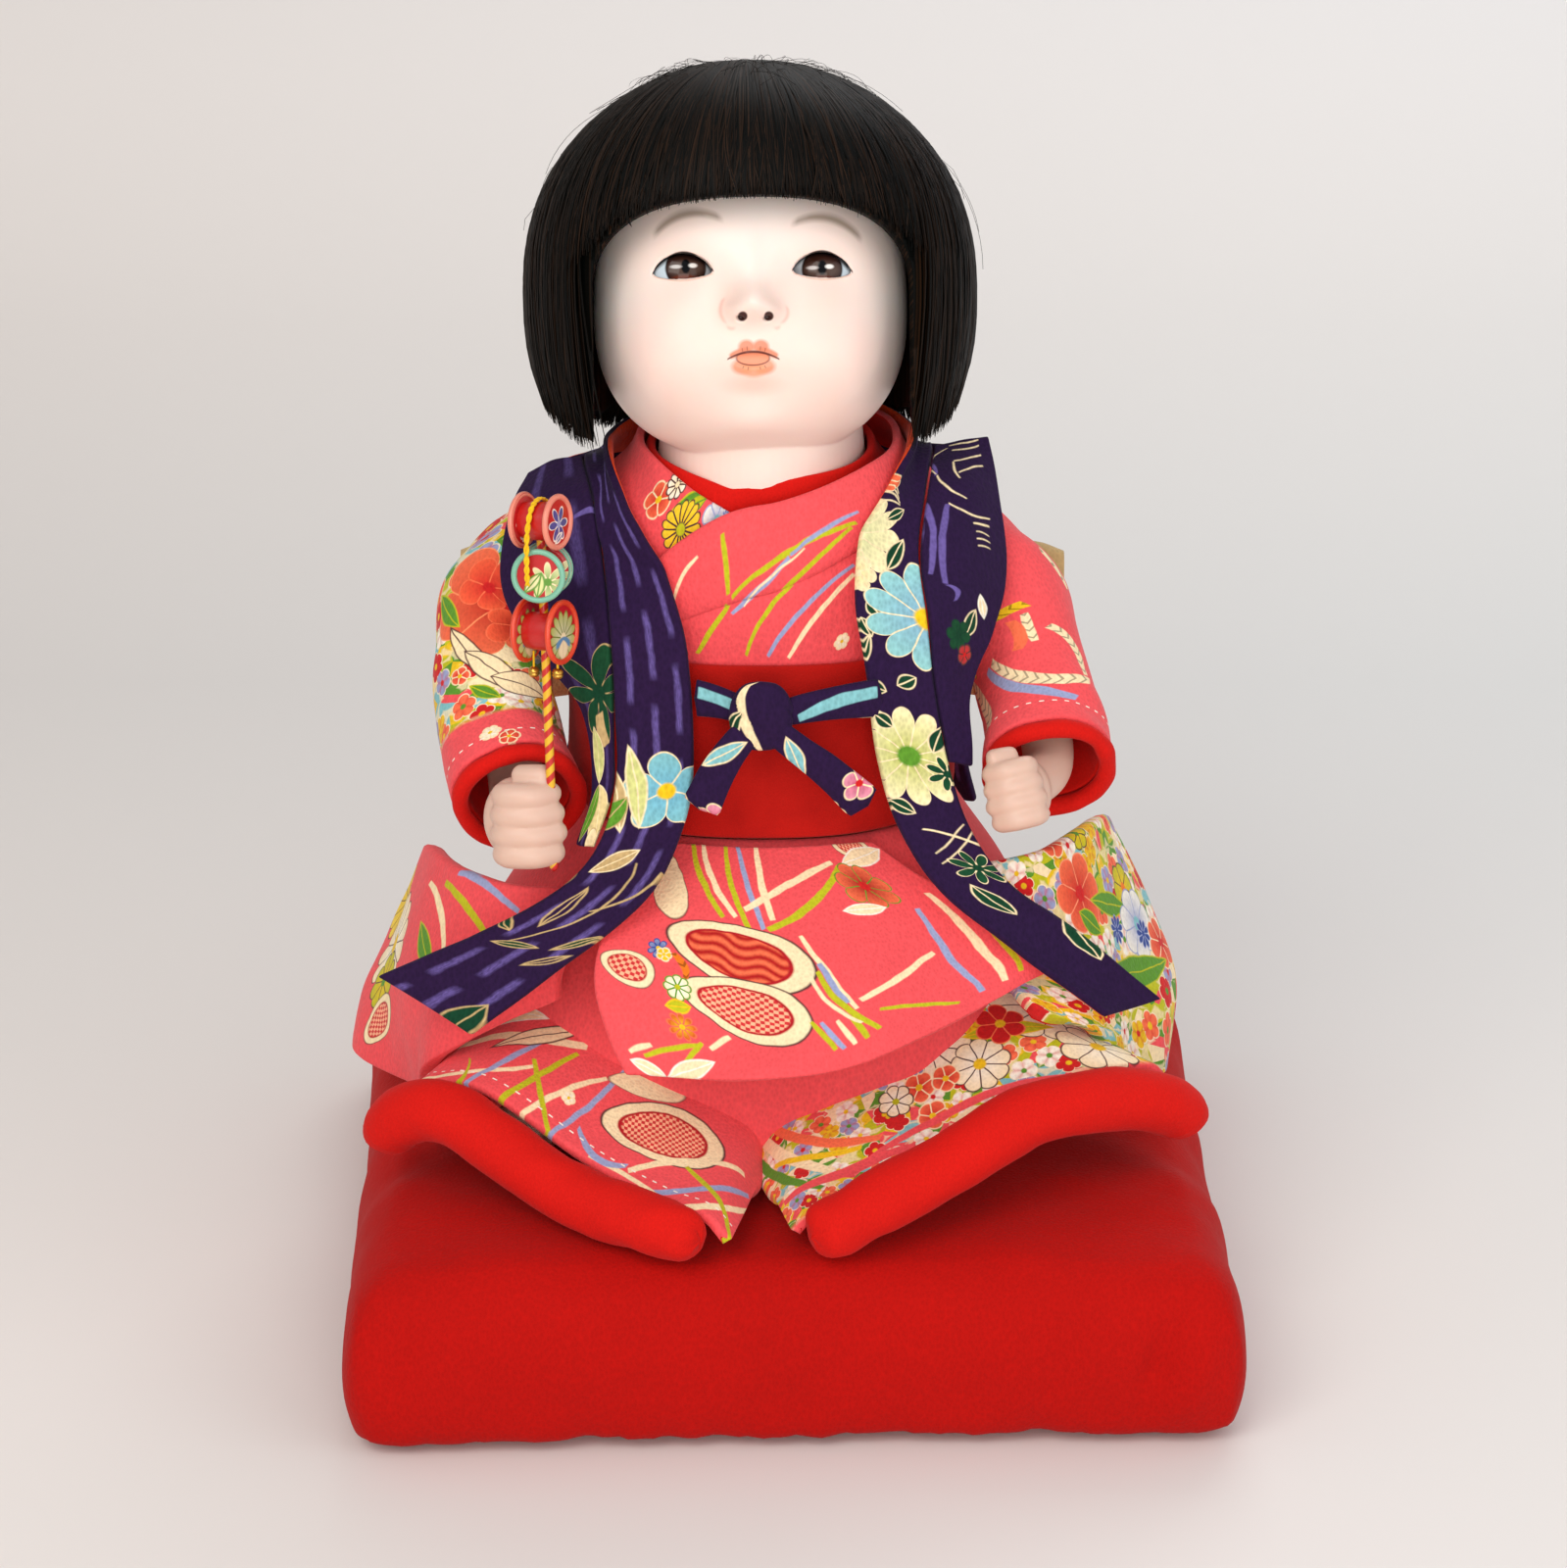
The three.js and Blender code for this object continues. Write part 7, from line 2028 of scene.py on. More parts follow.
@dataclass(frozen=True)
class Tie:
    """The coat's tie: a knot, two straps and two tails."""

    wall: float = 3.0
    half: float = 5.4
    knot: float = 8.6
    at: tuple[float, float, float] = (0, -0.585, 0.657)
    strap_end: tuple[float, float, float] = (-0.18, -0.525, 0.672)

    def build(self, f: Finishes) -> None:
        """Makes the tie."""
        knot = place(self.at)
        s = np.linspace(-1, 1, 29)
        rows = []
        for k in s:
            r = math.sqrt(max(1 - k * k, 0.0006)) ** 0.75
            around = np.arange(48) / 48 * math.tau
            crease = 1 - 0.10 * np.exp(-((np.sin(around * 1.5 + k * 2.4)) / 0.18) ** 2)
            x, y = np.cos(around) * self.knot * r * crease, np.sin(around) * self.wall * 1.2 * r * crease
            rows.append(knot + np.stack([x, y, np.full(48, k * self.knot * 1.15)], -1))
        pad(
            dress(grid_object("tie_knot", np.array(rows), True, False, True), f.tie), "doll",
            "vest_tie_knot", 0.8
        )
        for name, sign, out, tail in (
            ("right", 1, 1.0, ((-0.05, -0.60, 0.630), (-0.12, -0.62, 0.580), (-0.165, -0.62, 0.530))),
            ("left", -1, 1.8, ((0.06, -0.60, 0.630), (0.17, -0.61, 0.585), (0.285, -0.60, 0.530))),
        ):
            end = place((self.strap_end[0] * sign * out, self.strap_end[1], self.strap_end[2]))
            t = np.linspace(0, 1, 22)
            path = end + np.outer(t, knot - end) * 0.8
            path[:, 2] += np.sin(t * math.pi) * 0.6
            rings = [
                ring(
                    p, np.array([0, 1.0, 0]), np.array([0, 0, 1.0]), self.wall / 2 * w,
                    self.half * (1 - 0.3 * k) * w, 36, 3.0
                )
                for p, k, w in zip(path, t, round_ends(21, 0.06))
            ]
            grid = Crumple(0.3, 4, 12, 111).push(np.array(rings), 1.0, True)
            pad(
                dress(grid_object(f"tie_strap_{name}", grid, True, sign < 0, True), f.tie), "doll",
                f"vest_tie_strap_{name}", 0.5
            )
            points = place(tail)
            path = spline([knot * 0.5 + points[0] * 0.5, *points], 30)
            wide = unit(np.cross(points[-1] - points[0], (0, 1.0, 0)))
            rings = [
                ring(
                    p, np.array([0, 1.0, 0]), wide, self.wall / 2 * 0.8 * w,
                    self.half * (0.62 + 0.38 * k) * w, 36, 3.0
                )
                for p, k, w in zip(path, np.linspace(0, 1, 31), round_ends(30, 0.05))
            ]
            grid = Crumple(0.35, 4, 9, 113 + sign).push(np.array(rings), 1.0, True)
            pad(
                dress(grid_object(f"tie_tail_{name}", grid, True, False, True), f.tie_tail), "doll",
                f"vest_tie_tail_{name}", 0.5
            )


# Head


HEAD_AT = np.array([-9.0, 8.0, 281.0])
HEAD_HALF = 42.5
PITCH, YAW = 0.37, 0.03
HEAD_SHARES = {
    "up": 1.15, "down": 0.97, "nape": 0.80, "front": 0.87, "back": 1.0, "outline": 2.4, "depth": 2.1
}
RELIEF = (
    (0, -0.03, 0.11, 0.12, 0.13), (0, 0.18, 0.10, 0.18, 0.03), (0.115, -0.075, 0.07, 0.06, 0.045),
    (-0.115, -0.075, 0.07, 0.06, 0.045),
    (0, -0.39, 0.19, 0.12, 0.05), (0.60, -0.41, 0.30, 0.30, 0.10), (-0.60, -0.41, 0.30, 0.30, 0.10),
    (0, -0.78, 0.20, 0.13, 0.07),
    (0, -0.91, 0.46, 0.045, -0.035), (0.455, 0.18, 0.22, 0.15, -0.05), (-0.455, 0.18, 0.22, 0.15, -0.05),
    (0, 0.56, 0.60, 0.30, 0.04),
)


def head_axes() -> np.ndarray:
    """The head's own axes as rows: to its left, to its back and up."""
    cp, sp = math.cos(-PITCH), math.sin(-PITCH)
    pitch = np.array([[1, 0, 0], [0, cp, -sp], [0, sp, cp]])
    cy, sy = math.cos(YAW), math.sin(YAW)
    yaw = np.array([[cy, -sy, 0], [sy, cy, 0], [0, 0, 1]])
    return (yaw @ pitch).T


def head_point(x: Any, y: Any, z: Any) -> np.ndarray:
    """Points of the head from its own axes, in millimetres."""
    local = np.stack(
        np.broadcast_arrays(np.asarray(x, float), np.asarray(y, float), np.asarray(z, float)), -1
    )
    return HEAD_AT + local @ head_axes()


def relief(x: Any, z: Any) -> Any:
    """The face's relief, in half widths."""
    total = 0.0
    for cx, cz, sx, sz, height in RELIEF:
        total = total + height * np.exp(-(((x - cx) / sx) ** 2) - ((z - cz) / sz) ** 2)
    return total


def face_forward(x: Any, z: Any) -> Any:
    """How far forward the face is, in half widths."""
    h = HEAD_SHARES
    vertical = np.where(np.asarray(z) > 0, h["up"], h["down"])
    inside = np.abs(x) ** h["outline"] + np.abs(z / vertical) ** h["outline"]
    rest = np.maximum(1 - inside ** (h["depth"] / h["outline"]), 0) ** (1 / h["depth"])
    return h["front"] * rest + relief(x, z)


@dataclass(frozen=True)
class Head:
    """The shell-white head, its eyes and its neck."""

    eye_half: float = 8.4
    eye_spread: float = 18.4
    eye_lift: float = 7.4
    lid: float = 1.3
    opening: float = 7.8
    above: float = 0.66
    below: float = 0.2
    pinch: float = 1.15
    eye_deep: float = 0.75
    eye_tall: float = 1.0
    nostril: float = 1.1
    nostril_spread: float = 3.5
    nostril_height: float = -0.13
    mouth: float = 6.6
    mouth_height: float = -0.39
    neck: float = 28.0
    peg: float = 15.0
    peg_length: float = 24.0
    neck_top: float = 0.885

    def skull(self) -> np.ndarray:
        """The head's grid of points."""
        h = HEAD_SHARES
        lat = np.radians(np.linspace(-84, 84, 150))[:, None]
        lon = np.radians(np.arange(220) / 220 * 360)[None]
        dx, dy, dz = np.cos(lat) * np.sin(lon), -np.cos(lat) * np.cos(lon), np.sin(lat) + 0 * lon
        w = np.clip((dy + 0.2) / 0.7, 0, 1)
        low = h["down"] + (h["nape"] - h["down"]) * w * w * (3 - 2 * w)
        vertical = np.where(dz > 0, h["up"], low)
        deep = np.where(dy < 0, h["front"], h["back"])
        flat = (np.abs(dx) ** h["outline"] + np.abs(dz / vertical) ** h["outline"]) ** (1 / h["outline"])
        reach = (flat ** h["depth"] + np.abs(dy / deep) ** h["depth"]) ** (-1 / h["depth"])
        x, y, z = dx * reach, dy * reach, dz * reach
        push = np.where(dy < 0, relief(x, z) * np.minimum(1, -dy * 2), 0)
        return head_point(x * HEAD_HALF, (y - push) * HEAD_HALF, z * HEAD_HALF)

    def eye_place(self, sign: int) -> tuple[np.ndarray, np.ndarray]:
        """An eyeball's centre in the head's axes, and its radii."""
        radii = np.array([1, self.eye_deep, self.eye_tall]) * self.eye_half
        front = -float(face_forward(self.eye_spread / HEAD_HALF, self.eye_lift / HEAD_HALF)) * HEAD_HALF
        return np.array([sign * self.eye_spread, front + self.lid + radii[1], self.eye_lift]), radii

    def ball(self, name: str, centre: np.ndarray, radii: np.ndarray, n: int = 64) -> bpy.types.Object:
        """An ellipsoid in the head's axes."""
        lat = np.radians(np.linspace(-88, 88, n // 2))[:, None]
        lon = np.arange(n)[None] / n * math.tau
        x = centre[0] + radii[0] * np.cos(lat) * np.sin(lon)
        y = centre[1] + radii[1] * np.sin(lat) + 0 * lon
        z = centre[2] + radii[2] * np.cos(lat) * np.cos(lon)
        return grid_object(name, head_point(x, y, z), True, True, True)

    def cutters(self) -> list[bpy.types.Object]:
        """The eye openings, nostrils and mouth as cutting bodies."""
        out = []
        for sign in (-1, 1):
            centre, radii = self.eye_place(sign)
            out.append(self.ball("eye_room", centre, radii + 0.3, 48))
            around = np.arange(64) / 64 * math.tau
            tall = np.where(np.sin(around) > 0, self.above, self.below)
            x = sign * self.eye_spread + np.cos(around) * self.opening
            z = self.eye_lift + power(np.sin(around), self.pinch) * tall * self.opening
            front = centre[1] - self.lid - radii[1]
            grid = np.array([head_point(x, y, z) for y in np.linspace(front - 6, front + radii[1], 6)])
            out.append(grid_object("eye_window", grid, True, True, True))
            nx, nz = sign * self.nostril_spread, self.nostril_height * HEAD_HALF
            ny = -float(face_forward(nx / HEAD_HALF, nz / HEAD_HALF)) * HEAD_HALF
            path = np.array(
                [
                    head_point(nx, ny - 6 + k * (6 + self.nostril), nz - 6 + k * (6 + self.nostril))
                    for k in np.linspace(0, 1, 6)
                ]
            )
            out.append(grid_object("nostril", tube_grid(path, self.nostril, 16), True, False, True))
        front = -float(face_forward(0.0, self.mouth_height)) * HEAD_HALF
        out.append(
            self.ball(
                "mouth_cut", np.array([0, front, self.mouth_height * HEAD_HALF]),
                np.array([1, 0.22, 0.36]) * self.mouth, 32
            )
        )
        return out

    def build(self, f: Finishes) -> None:
        """Makes the head, neck and eyes."""
        head = grid_object("head_skin", self.skull(), True, False, True)
        carve(head, self.cutters())
        top = SEAT + self.neck_top * CLOTH_HEIGHT + CLEARANCE
        z = np.concatenate(
            [np.linspace(top - self.peg_length, top, 12), np.linspace(top + 0.01, HEAD_AT[2] - 8, 20)]
        )
        radius = np.where(
            z <= top, self.peg, self.neck * np.interp(z, [top, top + 12, top + 24], [1.05, 1.0, 0.96])
        )
        rings = [
            ring(np.array([BODY_X, BODY_Y, k]), np.array([1.0, 0, 0]), np.array([0, 1.0, 0]), r, r, 64)
            for k, r in zip(z, radius)
        ]
        neck = grid_object("neck_skin", np.array(rings), True, False, True)
        head = fuse(join_objects("head_skin", [head, neck]), 0.42, 3)
        hard(dress(head, f.face), "head", "shell_white", "head")
        for name, sign in (("right", -1), ("left", 1)):
            centre, radii = self.eye_place(sign)
            eye = dress(self.ball(f"eye_ball_{name}", centre, radii, 96), f.eye)
            hard(eye, "head", "eye_glass", f"eye_{name}")


WIG_SHARES = (
    (-0.68, 1.30, 1.02, 1.24), (-0.38, 1.38, 1.09, 1.31), (0, 1.42, 1.12, 1.36), (0.42, 1.40, 1.13, 1.37),
    (0.80, 1.28, 1.08, 1.30),
    (1.12, 1.05, 0.92, 1.11), (1.36, 0.74, 0.66, 0.80), (1.51, 0.38, 0.34, 0.42), (1.55, 0.10, 0.09, 0.12),
)


@dataclass(frozen=True)
class Wig:
    """The bobbed wig: a cap over the head and thousands of strands laid on it."""

    strands: int = 5200
    flyaways: int = 150
    middle: float = 0.05
    half: float = 1.0
    rise: float = 0.585
    squareness: float = 2.6
    keep_out: float = 49.0
    hollow: float = 43.4
    hem: float = -0.68
    hem_slope: float = 0.36
    side_lift: float = 0.15
    fringe_reach: float = 1.25
    fringe_half: float = 0.98

    def surface(self, angle: Any, rest: Any, grow: Any = 0.0) -> np.ndarray:
        """Points on the wig by angle about the head and place along the table, in half widths."""
        read = read_table([(i, *row) for i, row in enumerate(WIG_SHARES)], rest)
        z, half, front, back = (read[..., i] for i in range(4))
        deep = np.where(np.sin(angle) < 0, front, back)
        fall = np.minimum(np.sin(angle) * deep, 0) * np.clip(1 - rest / 1.6, 0, 1) * self.hem_slope
        lift = np.abs(np.cos(angle)) ** 6 * np.clip(1 - rest / 1.6, 0, 1) * self.side_lift
        rise = z + fall + lift + grow / HEAD_HALF * np.clip(z - 0.9, 0, 1)
        parts = np.cos(angle) * (half + grow / HEAD_HALF), np.sin(angle) * (deep + grow / HEAD_HALF), rise
        return np.stack(np.broadcast_arrays(*parts), -1)

    def arch(self, x: Any) -> Any:
        """The fringe's height over a place across the face."""
        k = np.clip(np.abs(x) / self.half, 0, 0.999)
        return self.middle + self.rise * (1 - k**self.squareness) ** (1 / self.squareness)

    def cap(self) -> bpy.types.Object:
        """The wig's body with room for the head, the face and the collar."""
        rest = np.linspace(0, len(WIG_SHARES) - 1, 90)[:, None]
        angle = np.arange(160)[None] / 160 * math.tau
        local = self.surface(angle, rest, -1.6) * HEAD_HALF
        cap = grid_object(
            "hair_cap", head_point(local[..., 0], local[..., 1], local[..., 2]), True, False, True
        )
        room = Head().skull()
        room = HEAD_AT + (room - HEAD_AT) * 1.02
        cutters = [grid_object("room", room, True, False, True)]
        x = np.cos(np.linspace(0, math.pi, 60)) * 0.999
        outline = np.concatenate(
            [np.stack([x * self.half, self.arch(x * self.half)], -1), [[-self.half, -2], [self.half, -2]]]
        )
        window = [
            head_point(
                outline[:, 0] * HEAD_HALF, np.full(len(outline), y * HEAD_HALF), outline[:, 1] * HEAD_HALF
            ) for y in (-2, 0)
        ]
        cutters.append(grid_object("window", np.array(window), True, False, True))
        around = np.arange(64) / 64 * math.tau
        hollow = [
            head_point(
                np.cos(around) * self.hollow,
                np.where(np.sin(around) < 0, 0.96, 1.07) * np.sin(around) * self.hollow,
                np.full(64, z)
            ) for z in (-68, 0)
        ]
        cutters.append(grid_object("hollow", np.array(hollow), True, False, True))
        rings = [
            ring(
                np.array([BODY_X, BODY_Y, z]), np.array([1.0, 0, 0]), np.array([0, 1.0, 0]), self.keep_out,
                self.keep_out, 96
            ) for z in (54, 250.3)
        ]
        cutters.append(grid_object("collar_room", np.array(rings), True, False, True))
        carve(cap, cutters)
        return cap

    def lay(self) -> bpy.types.Object:
        """The strands: ribbons from the whorl down to the hem or the fringe."""
        rng = np.random.default_rng(7)
        steps = 18
        n = self.strands
        angle = rng.uniform(0, math.tau, n)
        x_end = np.cos(angle) * self.fringe_reach
        fringe = (np.sin(angle) < -0.15) & (np.abs(x_end) < self.fringe_half)
        table = np.array(WIG_SHARES)
        stop_z = np.where(
            fringe, self.arch(x_end) - rng.uniform(-0.02, 0.05, n), self.hem - rng.uniform(-0.03, 0.05, n)
        )
        end = np.interp(np.maximum(stop_z, self.hem), table[:, 0], np.arange(len(table)))
        start = np.where(
            rng.random(n) < 0.6, len(table) - 1.02 - 0.3 * rng.random(n) ** 3,
            rng.uniform(end + 1.0, len(table) - 1.02)
        )
        start = np.maximum(start, end + 0.6)
        t = np.linspace(0, 1, steps)[None]
        rest = start[:, None] + (end - start)[:, None] * t
        drift = rng.normal(0, 0.05, n)[:, None] * t**2 + 0.012 * np.sin(
            t * rng.uniform(2, 7, n)[:, None] + rng.uniform(0, 6, n)[:, None]
        )
        out = rng.uniform(-0.4, 1.0, n)[:, None] * (0.4 + 0.6 * t) + 0.5 * (1 - t)
        local = self.surface(angle[:, None] + drift, rest, out)
        under = np.where(~fringe, np.maximum(self.hem - stop_z, 0), 0)[:, None]
        local[..., 2] -= under * t**6
        points = head_point(local[..., 0] * HEAD_HALF, local[..., 1] * HEAD_HALF, local[..., 2] * HEAD_HALF)
        points = self.clear_collar(points)
        centre = head_point(0, 0, 0.3 * HEAD_HALF)
        outward = unit(points - centre)
        ahead = unit(np.gradient(points, axis=1))
        side = unit(np.cross(outward, ahead))
        width = rng.uniform(0.22, 0.55, n)[:, None, None] * np.clip(
            np.minimum(t * 9 + 0.2, (1 - t) * 7 + 0.15), 0, 1
        )[..., None]
        grid = np.stack([points - side * width, points + outward * 0.12, points + side * width], 2)
        return self.ribbons("hair_strands", grid, rng)

    def clear_collar(self, points: np.ndarray) -> np.ndarray:
        """Keeps strands out of the collar's room under the wig."""
        low = points[..., 2] < 251
        flat = points[..., :2] - np.array([BODY_X, BODY_Y])
        reach = np.linalg.norm(flat, axis=-1)
        scale = np.where(
            low & (reach < self.keep_out + 0.6), (self.keep_out + 0.6) / np.maximum(reach, 1), 1
        )
        points[..., :2] = np.array([BODY_X, BODY_Y]) + flat * scale[..., None]
        return points

    def ribbons(self, name: str, grid: np.ndarray, rng: np.random.Generator) -> bpy.types.Object:
        """Makes strands by three points across from a grid of strands, steps and points."""
        n, steps = grid.shape[:2]
        base = (np.arange(n) * steps * 3)[:, None, None, None]
        i = np.arange(steps - 1)[None, :, None, None]
        j = np.arange(2)[None, None, :, None]
        corner = np.array([[0, 0], [0, 1], [1, 1], [1, 0]])
        faces = base + (i + corner[:, 0]) * 3 + j + corner[:, 1]
        u = rng.random(n)[:, None, None, None] * 0.5
        v = (i + corner[:, 0]) / (steps - 1)
        flat = np.stack(np.broadcast_arrays(u + (j + corner[:, 1]) * 0.001, v * 0.1 + 0 * faces), -1)
        return make_object(name, grid.reshape(-1, 3), faces.reshape(-1, 4).tolist(), flat.reshape(-1, 2))

    def fly(self) -> bpy.types.Object:
        """Fine hairs that stand off the wig."""
        rng = np.random.default_rng(9)
        n, steps = self.flyaways, 10
        t = np.linspace(0, 1, steps)[None]
        angle = rng.uniform(0, math.tau, n)[:, None] + rng.normal(0, 0.25, n)[:, None] * t
        rest = rng.uniform(3.6, 7.6, n)[:, None] - t * rng.uniform(0.6, 2.4, n)[:, None]
        rest = np.where(np.sin(angle) < 0, 5.6 + (rest - 1.2) * 0.3, rest)
        out = 0.6 + rng.uniform(0.8, 3.6, n)[:, None] * np.sin(
            t * math.pi * rng.uniform(0.5, 1.0, n)[:, None]
        )
        local = self.surface(angle, np.maximum(rest, 0.1), out)
        points = head_point(local[..., 0] * HEAD_HALF, local[..., 1] * HEAD_HALF, local[..., 2] * HEAD_HALF)
        side = unit(np.cross(np.gradient(points, axis=1), (0.3, 0.9, 0.2)))
        grid = np.stack(
            [points - side * 0.06, points + side[..., [1, 2, 0]] * 0.05, points + side * 0.06], 2
        )
        return self.ribbons("hair_flyaways", grid, rng)

    def build(self, f: Finishes) -> None:
        """Makes the wig."""
        cap = dress(self.cap(), f.hair_cap)
        hard(cap, "head", "hair", "hair")
        for obj in (self.lay(), self.fly()):
            hard(dress(obj, f.hair), "head", "hair")


# Rattle


@dataclass(frozen=True)
class Rattle:
    """The drum rattle: a striped stick, three small drums, a silk cord and two bells."""

    stick: float = 1.2
    length: float = 98.0
    grip_share: float = 0.875
    width: float = 12.0
    barrel: float = 4.5
    grip: tuple[float, float, float] = (7.8, -3.0, 0.0)
    drums: tuple[tuple[float, float, float], ...] = (
        (0.028, 7.5, 0.47), (0.168, 7.3, 1.73), (0.330, 8.7, 0.455)
    )
    cord: tuple[tuple[float, float], ...] = (
        (0.67, 1.35), (0.67, 0.85), (0.60, 0.20), (0.36, -0.34), (0, -0.50), (-0.36, -0.34), (-0.60, 0.20),
        (-0.70, 0.90),
    )

    @property
    def down(self) -> np.ndarray:
        """The way down the stick."""
        return unit((0.028, -0.155, -1))

    @property
    def top(self) -> np.ndarray:
        """The stick's top."""
        grip = place(FISTS["right"]) + np.array(self.grip)
        return grip - self.down * self.grip_share * self.length

    def axis(self, turn: float) -> np.ndarray:
        """A drum's axis by its turn about the stick."""
        across = unit(np.array([1.0, 0, 0]) - self.down * self.down[0])
        forward = unit(np.cross(across, self.down))
        if forward[1] > 0:
            forward = -forward
        return across * math.cos(turn) + forward * math.sin(turn)

    def turned(
        self, centre: np.ndarray, axis: np.ndarray, profile: Sequence[tuple[float, float]], n: int = 56
    ) -> np.ndarray:
        """A grid turned about an axis from places along it and radii."""
        across = unit(np.cross(self.down, axis))
        return np.array([ring(centre + axis * a, across, self.down, r, r, n) for a, r in profile])

    def drum(self, index: int, f: Finishes) -> None:
        """One drum: barrel, two rims and two skins."""
        share, radius, turn = self.drums[index]
        centre = self.top + self.down * share * self.length
        axis = self.axis(turn)
        half = self.width / 2
        swell = [
            (a, self.barrel + 0.7 * math.cos(a / half * 1.3))
            for a in np.linspace(-half + 0.9, half - 0.9, 12)
        ]
        barrel = dress(
            grid_object(f"drum_barrel_{index + 1}", self.turned(centre, axis, swell), True, False, True),
            f.lacquer
        )
        hard(barrel, "rattle", "lacquer_red", f"drum_{index + 1}")
        for name, sign in (("front", 1), ("back", -1)):
            edge = [
                (sign * (half - 0.8 + 0.8 * math.sin(a)), radius - 0.8 + 0.8 * math.cos(a))
                for a in np.linspace(0, math.tau, 19)
            ]
            rim = grid_object(f"drum_rim_{index + 1}_{name}", self.turned(centre, axis, edge), True)
            hard(dress(weld(rim, 0.005), f.rims[index]), "rattle", "lacquer_red")
            skin = [(sign * (half - 1.5), self.barrel), (sign * (half - 1.5), radius - 0.3)]
            skin += [
                (sign * (half - 0.75 + 0.05 * k), (radius - 0.5) * (1 - k / 8))
                for k in np.linspace(0, 7.9, 12)
            ]
            disc = grid_object(
                f"drum_skin_{index + 1}_{name}", self.turned(centre, axis, skin), True, False, True
            )
            face = Panel(
                f"drum_face_{index + 1}_{name}", rgb(186, 16, 20), centre, unit(np.cross(self.down, axis)),
                -self.down
            )
            hard(
                dress(disc, face.painted(DRUM_PICTURES[index], Roughness=0.35, Coat_Weight=0.2)), "rattle",
                "lacquer_red"
            )

    def build(self, f: Finishes) -> None:
        """Makes the rattle."""
        foot = self.top + self.down * self.length
        t = np.linspace(0, 1, 90)
        path = self.top + np.outer(t, foot - self.top)
        grid = tube_grid(path, self.stick * np.minimum(1, np.minimum(t, 1 - t) * 60 + 0.35), 20)
        twist = Panel(
            "stick_lacquer", rgb(228, 176, 20), self.top, unit(np.cross(self.down, (0, 1.0, 0))), self.down
        )
        across, along, _ = twist.tree.parts(twist.spot)
        twist.lay((along * 1.5 + across * 1.4).sin().above(0.1, 0.15), rgb(196, 24, 18))
        stick = grid_object("stick_lacquer", grid, True, False, True)
        hard(
            dress(stick, twist.painted((), Roughness=0.35, Coat_Weight=0.3)), "rattle", "lacquer_yellow",
            "rattle_stick"
        )
        for index in range(3):
            self.drum(index, f)
        turn = self.drums[0][2]
        fall, run = self.axis(turn + math.pi / 2), self.axis(turn)
        centre = self.top + self.down * self.drums[0][0] * self.length
        course = spline(
            [centre + fall * out * self.width + self.down * drop * self.width for out, drop in self.cord],
            100
        )
        strands = []
        for k in range(2):
            twist = np.linspace(0, 60, 101)[:, None]
            turns = twist + k * math.pi
            away = run * np.cos(turns) * 0.42 + np.cross(run, self.down) * np.sin(turns) * 0.2
            strands.append(
                grid_object(
                    "cord", tube_grid(course + away, 0.42 * round_ends(100, 0.03), 10, run), True, False,
                    True
                )
            )
        hard(dress(join_objects("silk_cord", strands), f.silk), "rattle", "silk_yellow", "rattle_tassel")
        low = self.top + self.down * self.drums[2][0] * self.length
        for name, sign in (("right", -1), ("left", 1)):
            hang = low + self.axis(self.drums[2][2]) * sign * 0.30 * self.width + self.down * (
                self.barrel + 0.45 + 0.6
            )
            end = hang - np.array([0, 0, 6.0])
            thread = grid_object(
                "bell_thread", tube_grid(hang + np.outer(np.linspace(0, 1, 12), end - hang), 0.3, 8), True,
                False, True
            )
            profile = [
                (1.6 * math.sin(a), 1.6 * math.cos(a) * (0.86 if abs(math.sin(a)) < 0.1 else 1))
                for a in np.linspace(-1.5, 1.5, 31)
            ]
            rings = [
                ring(
                    end + np.array([0, 0, 1.0]) * h, np.array([1.0, 0, 0]), np.array([0, 1.0, 0]), r, r, 28
                )
                for h, r in profile
            ]
            bell = grid_object("bell_shell", np.array(rings), True, False, True)
            obj = join_objects(f"bell_brass_{name}", [dress(bell, f.brass), dress(thread, f.silk)])
            hard(obj, f"bell_{name}", "bell_brass", f"bell_{name}")


# Finishes


def felt() -> bpy.types.Material:
    """The sash's felted scarlet."""
    tree = Tree("sash_felt")
    spot = tree.place()
    fuzz = tree.noise(spot, 2600.0, 2.0)
    slow = tree.noise(spot, 70.0, 3.0)
    colour = tree.mix(slow * 0.6 + fuzz * 0.3, rgb(150, 14, 10), rgb(205, 30, 20))
    return tree.finish(
        Base_Color=colour, Roughness=0.95, Specular_IOR_Level=0.1, Sheen_Weight=0.05, Sheen_Roughness=0.5,
        Normal=tree.bump(fuzz, 0.0002)
    )


def gofun(name: str = "shell_white") -> bpy.types.Material:
    """Polished shell white with a breath of pink."""
    tree = Tree(name)
    spot = tree.place()
    slow = tree.noise(spot, 30.0, 3.0)
    colour = tree.mix(slow * 0.5, rgb(218, 182, 162), rgb(208, 164, 144))
    return tree.finish(
        Base_Color=colour, Roughness=0.42, Subsurface_Weight=0.1, Subsurface_Scale=0.002,
        Normal=tree.bump(slow, 0.0004, 0.4)
    )


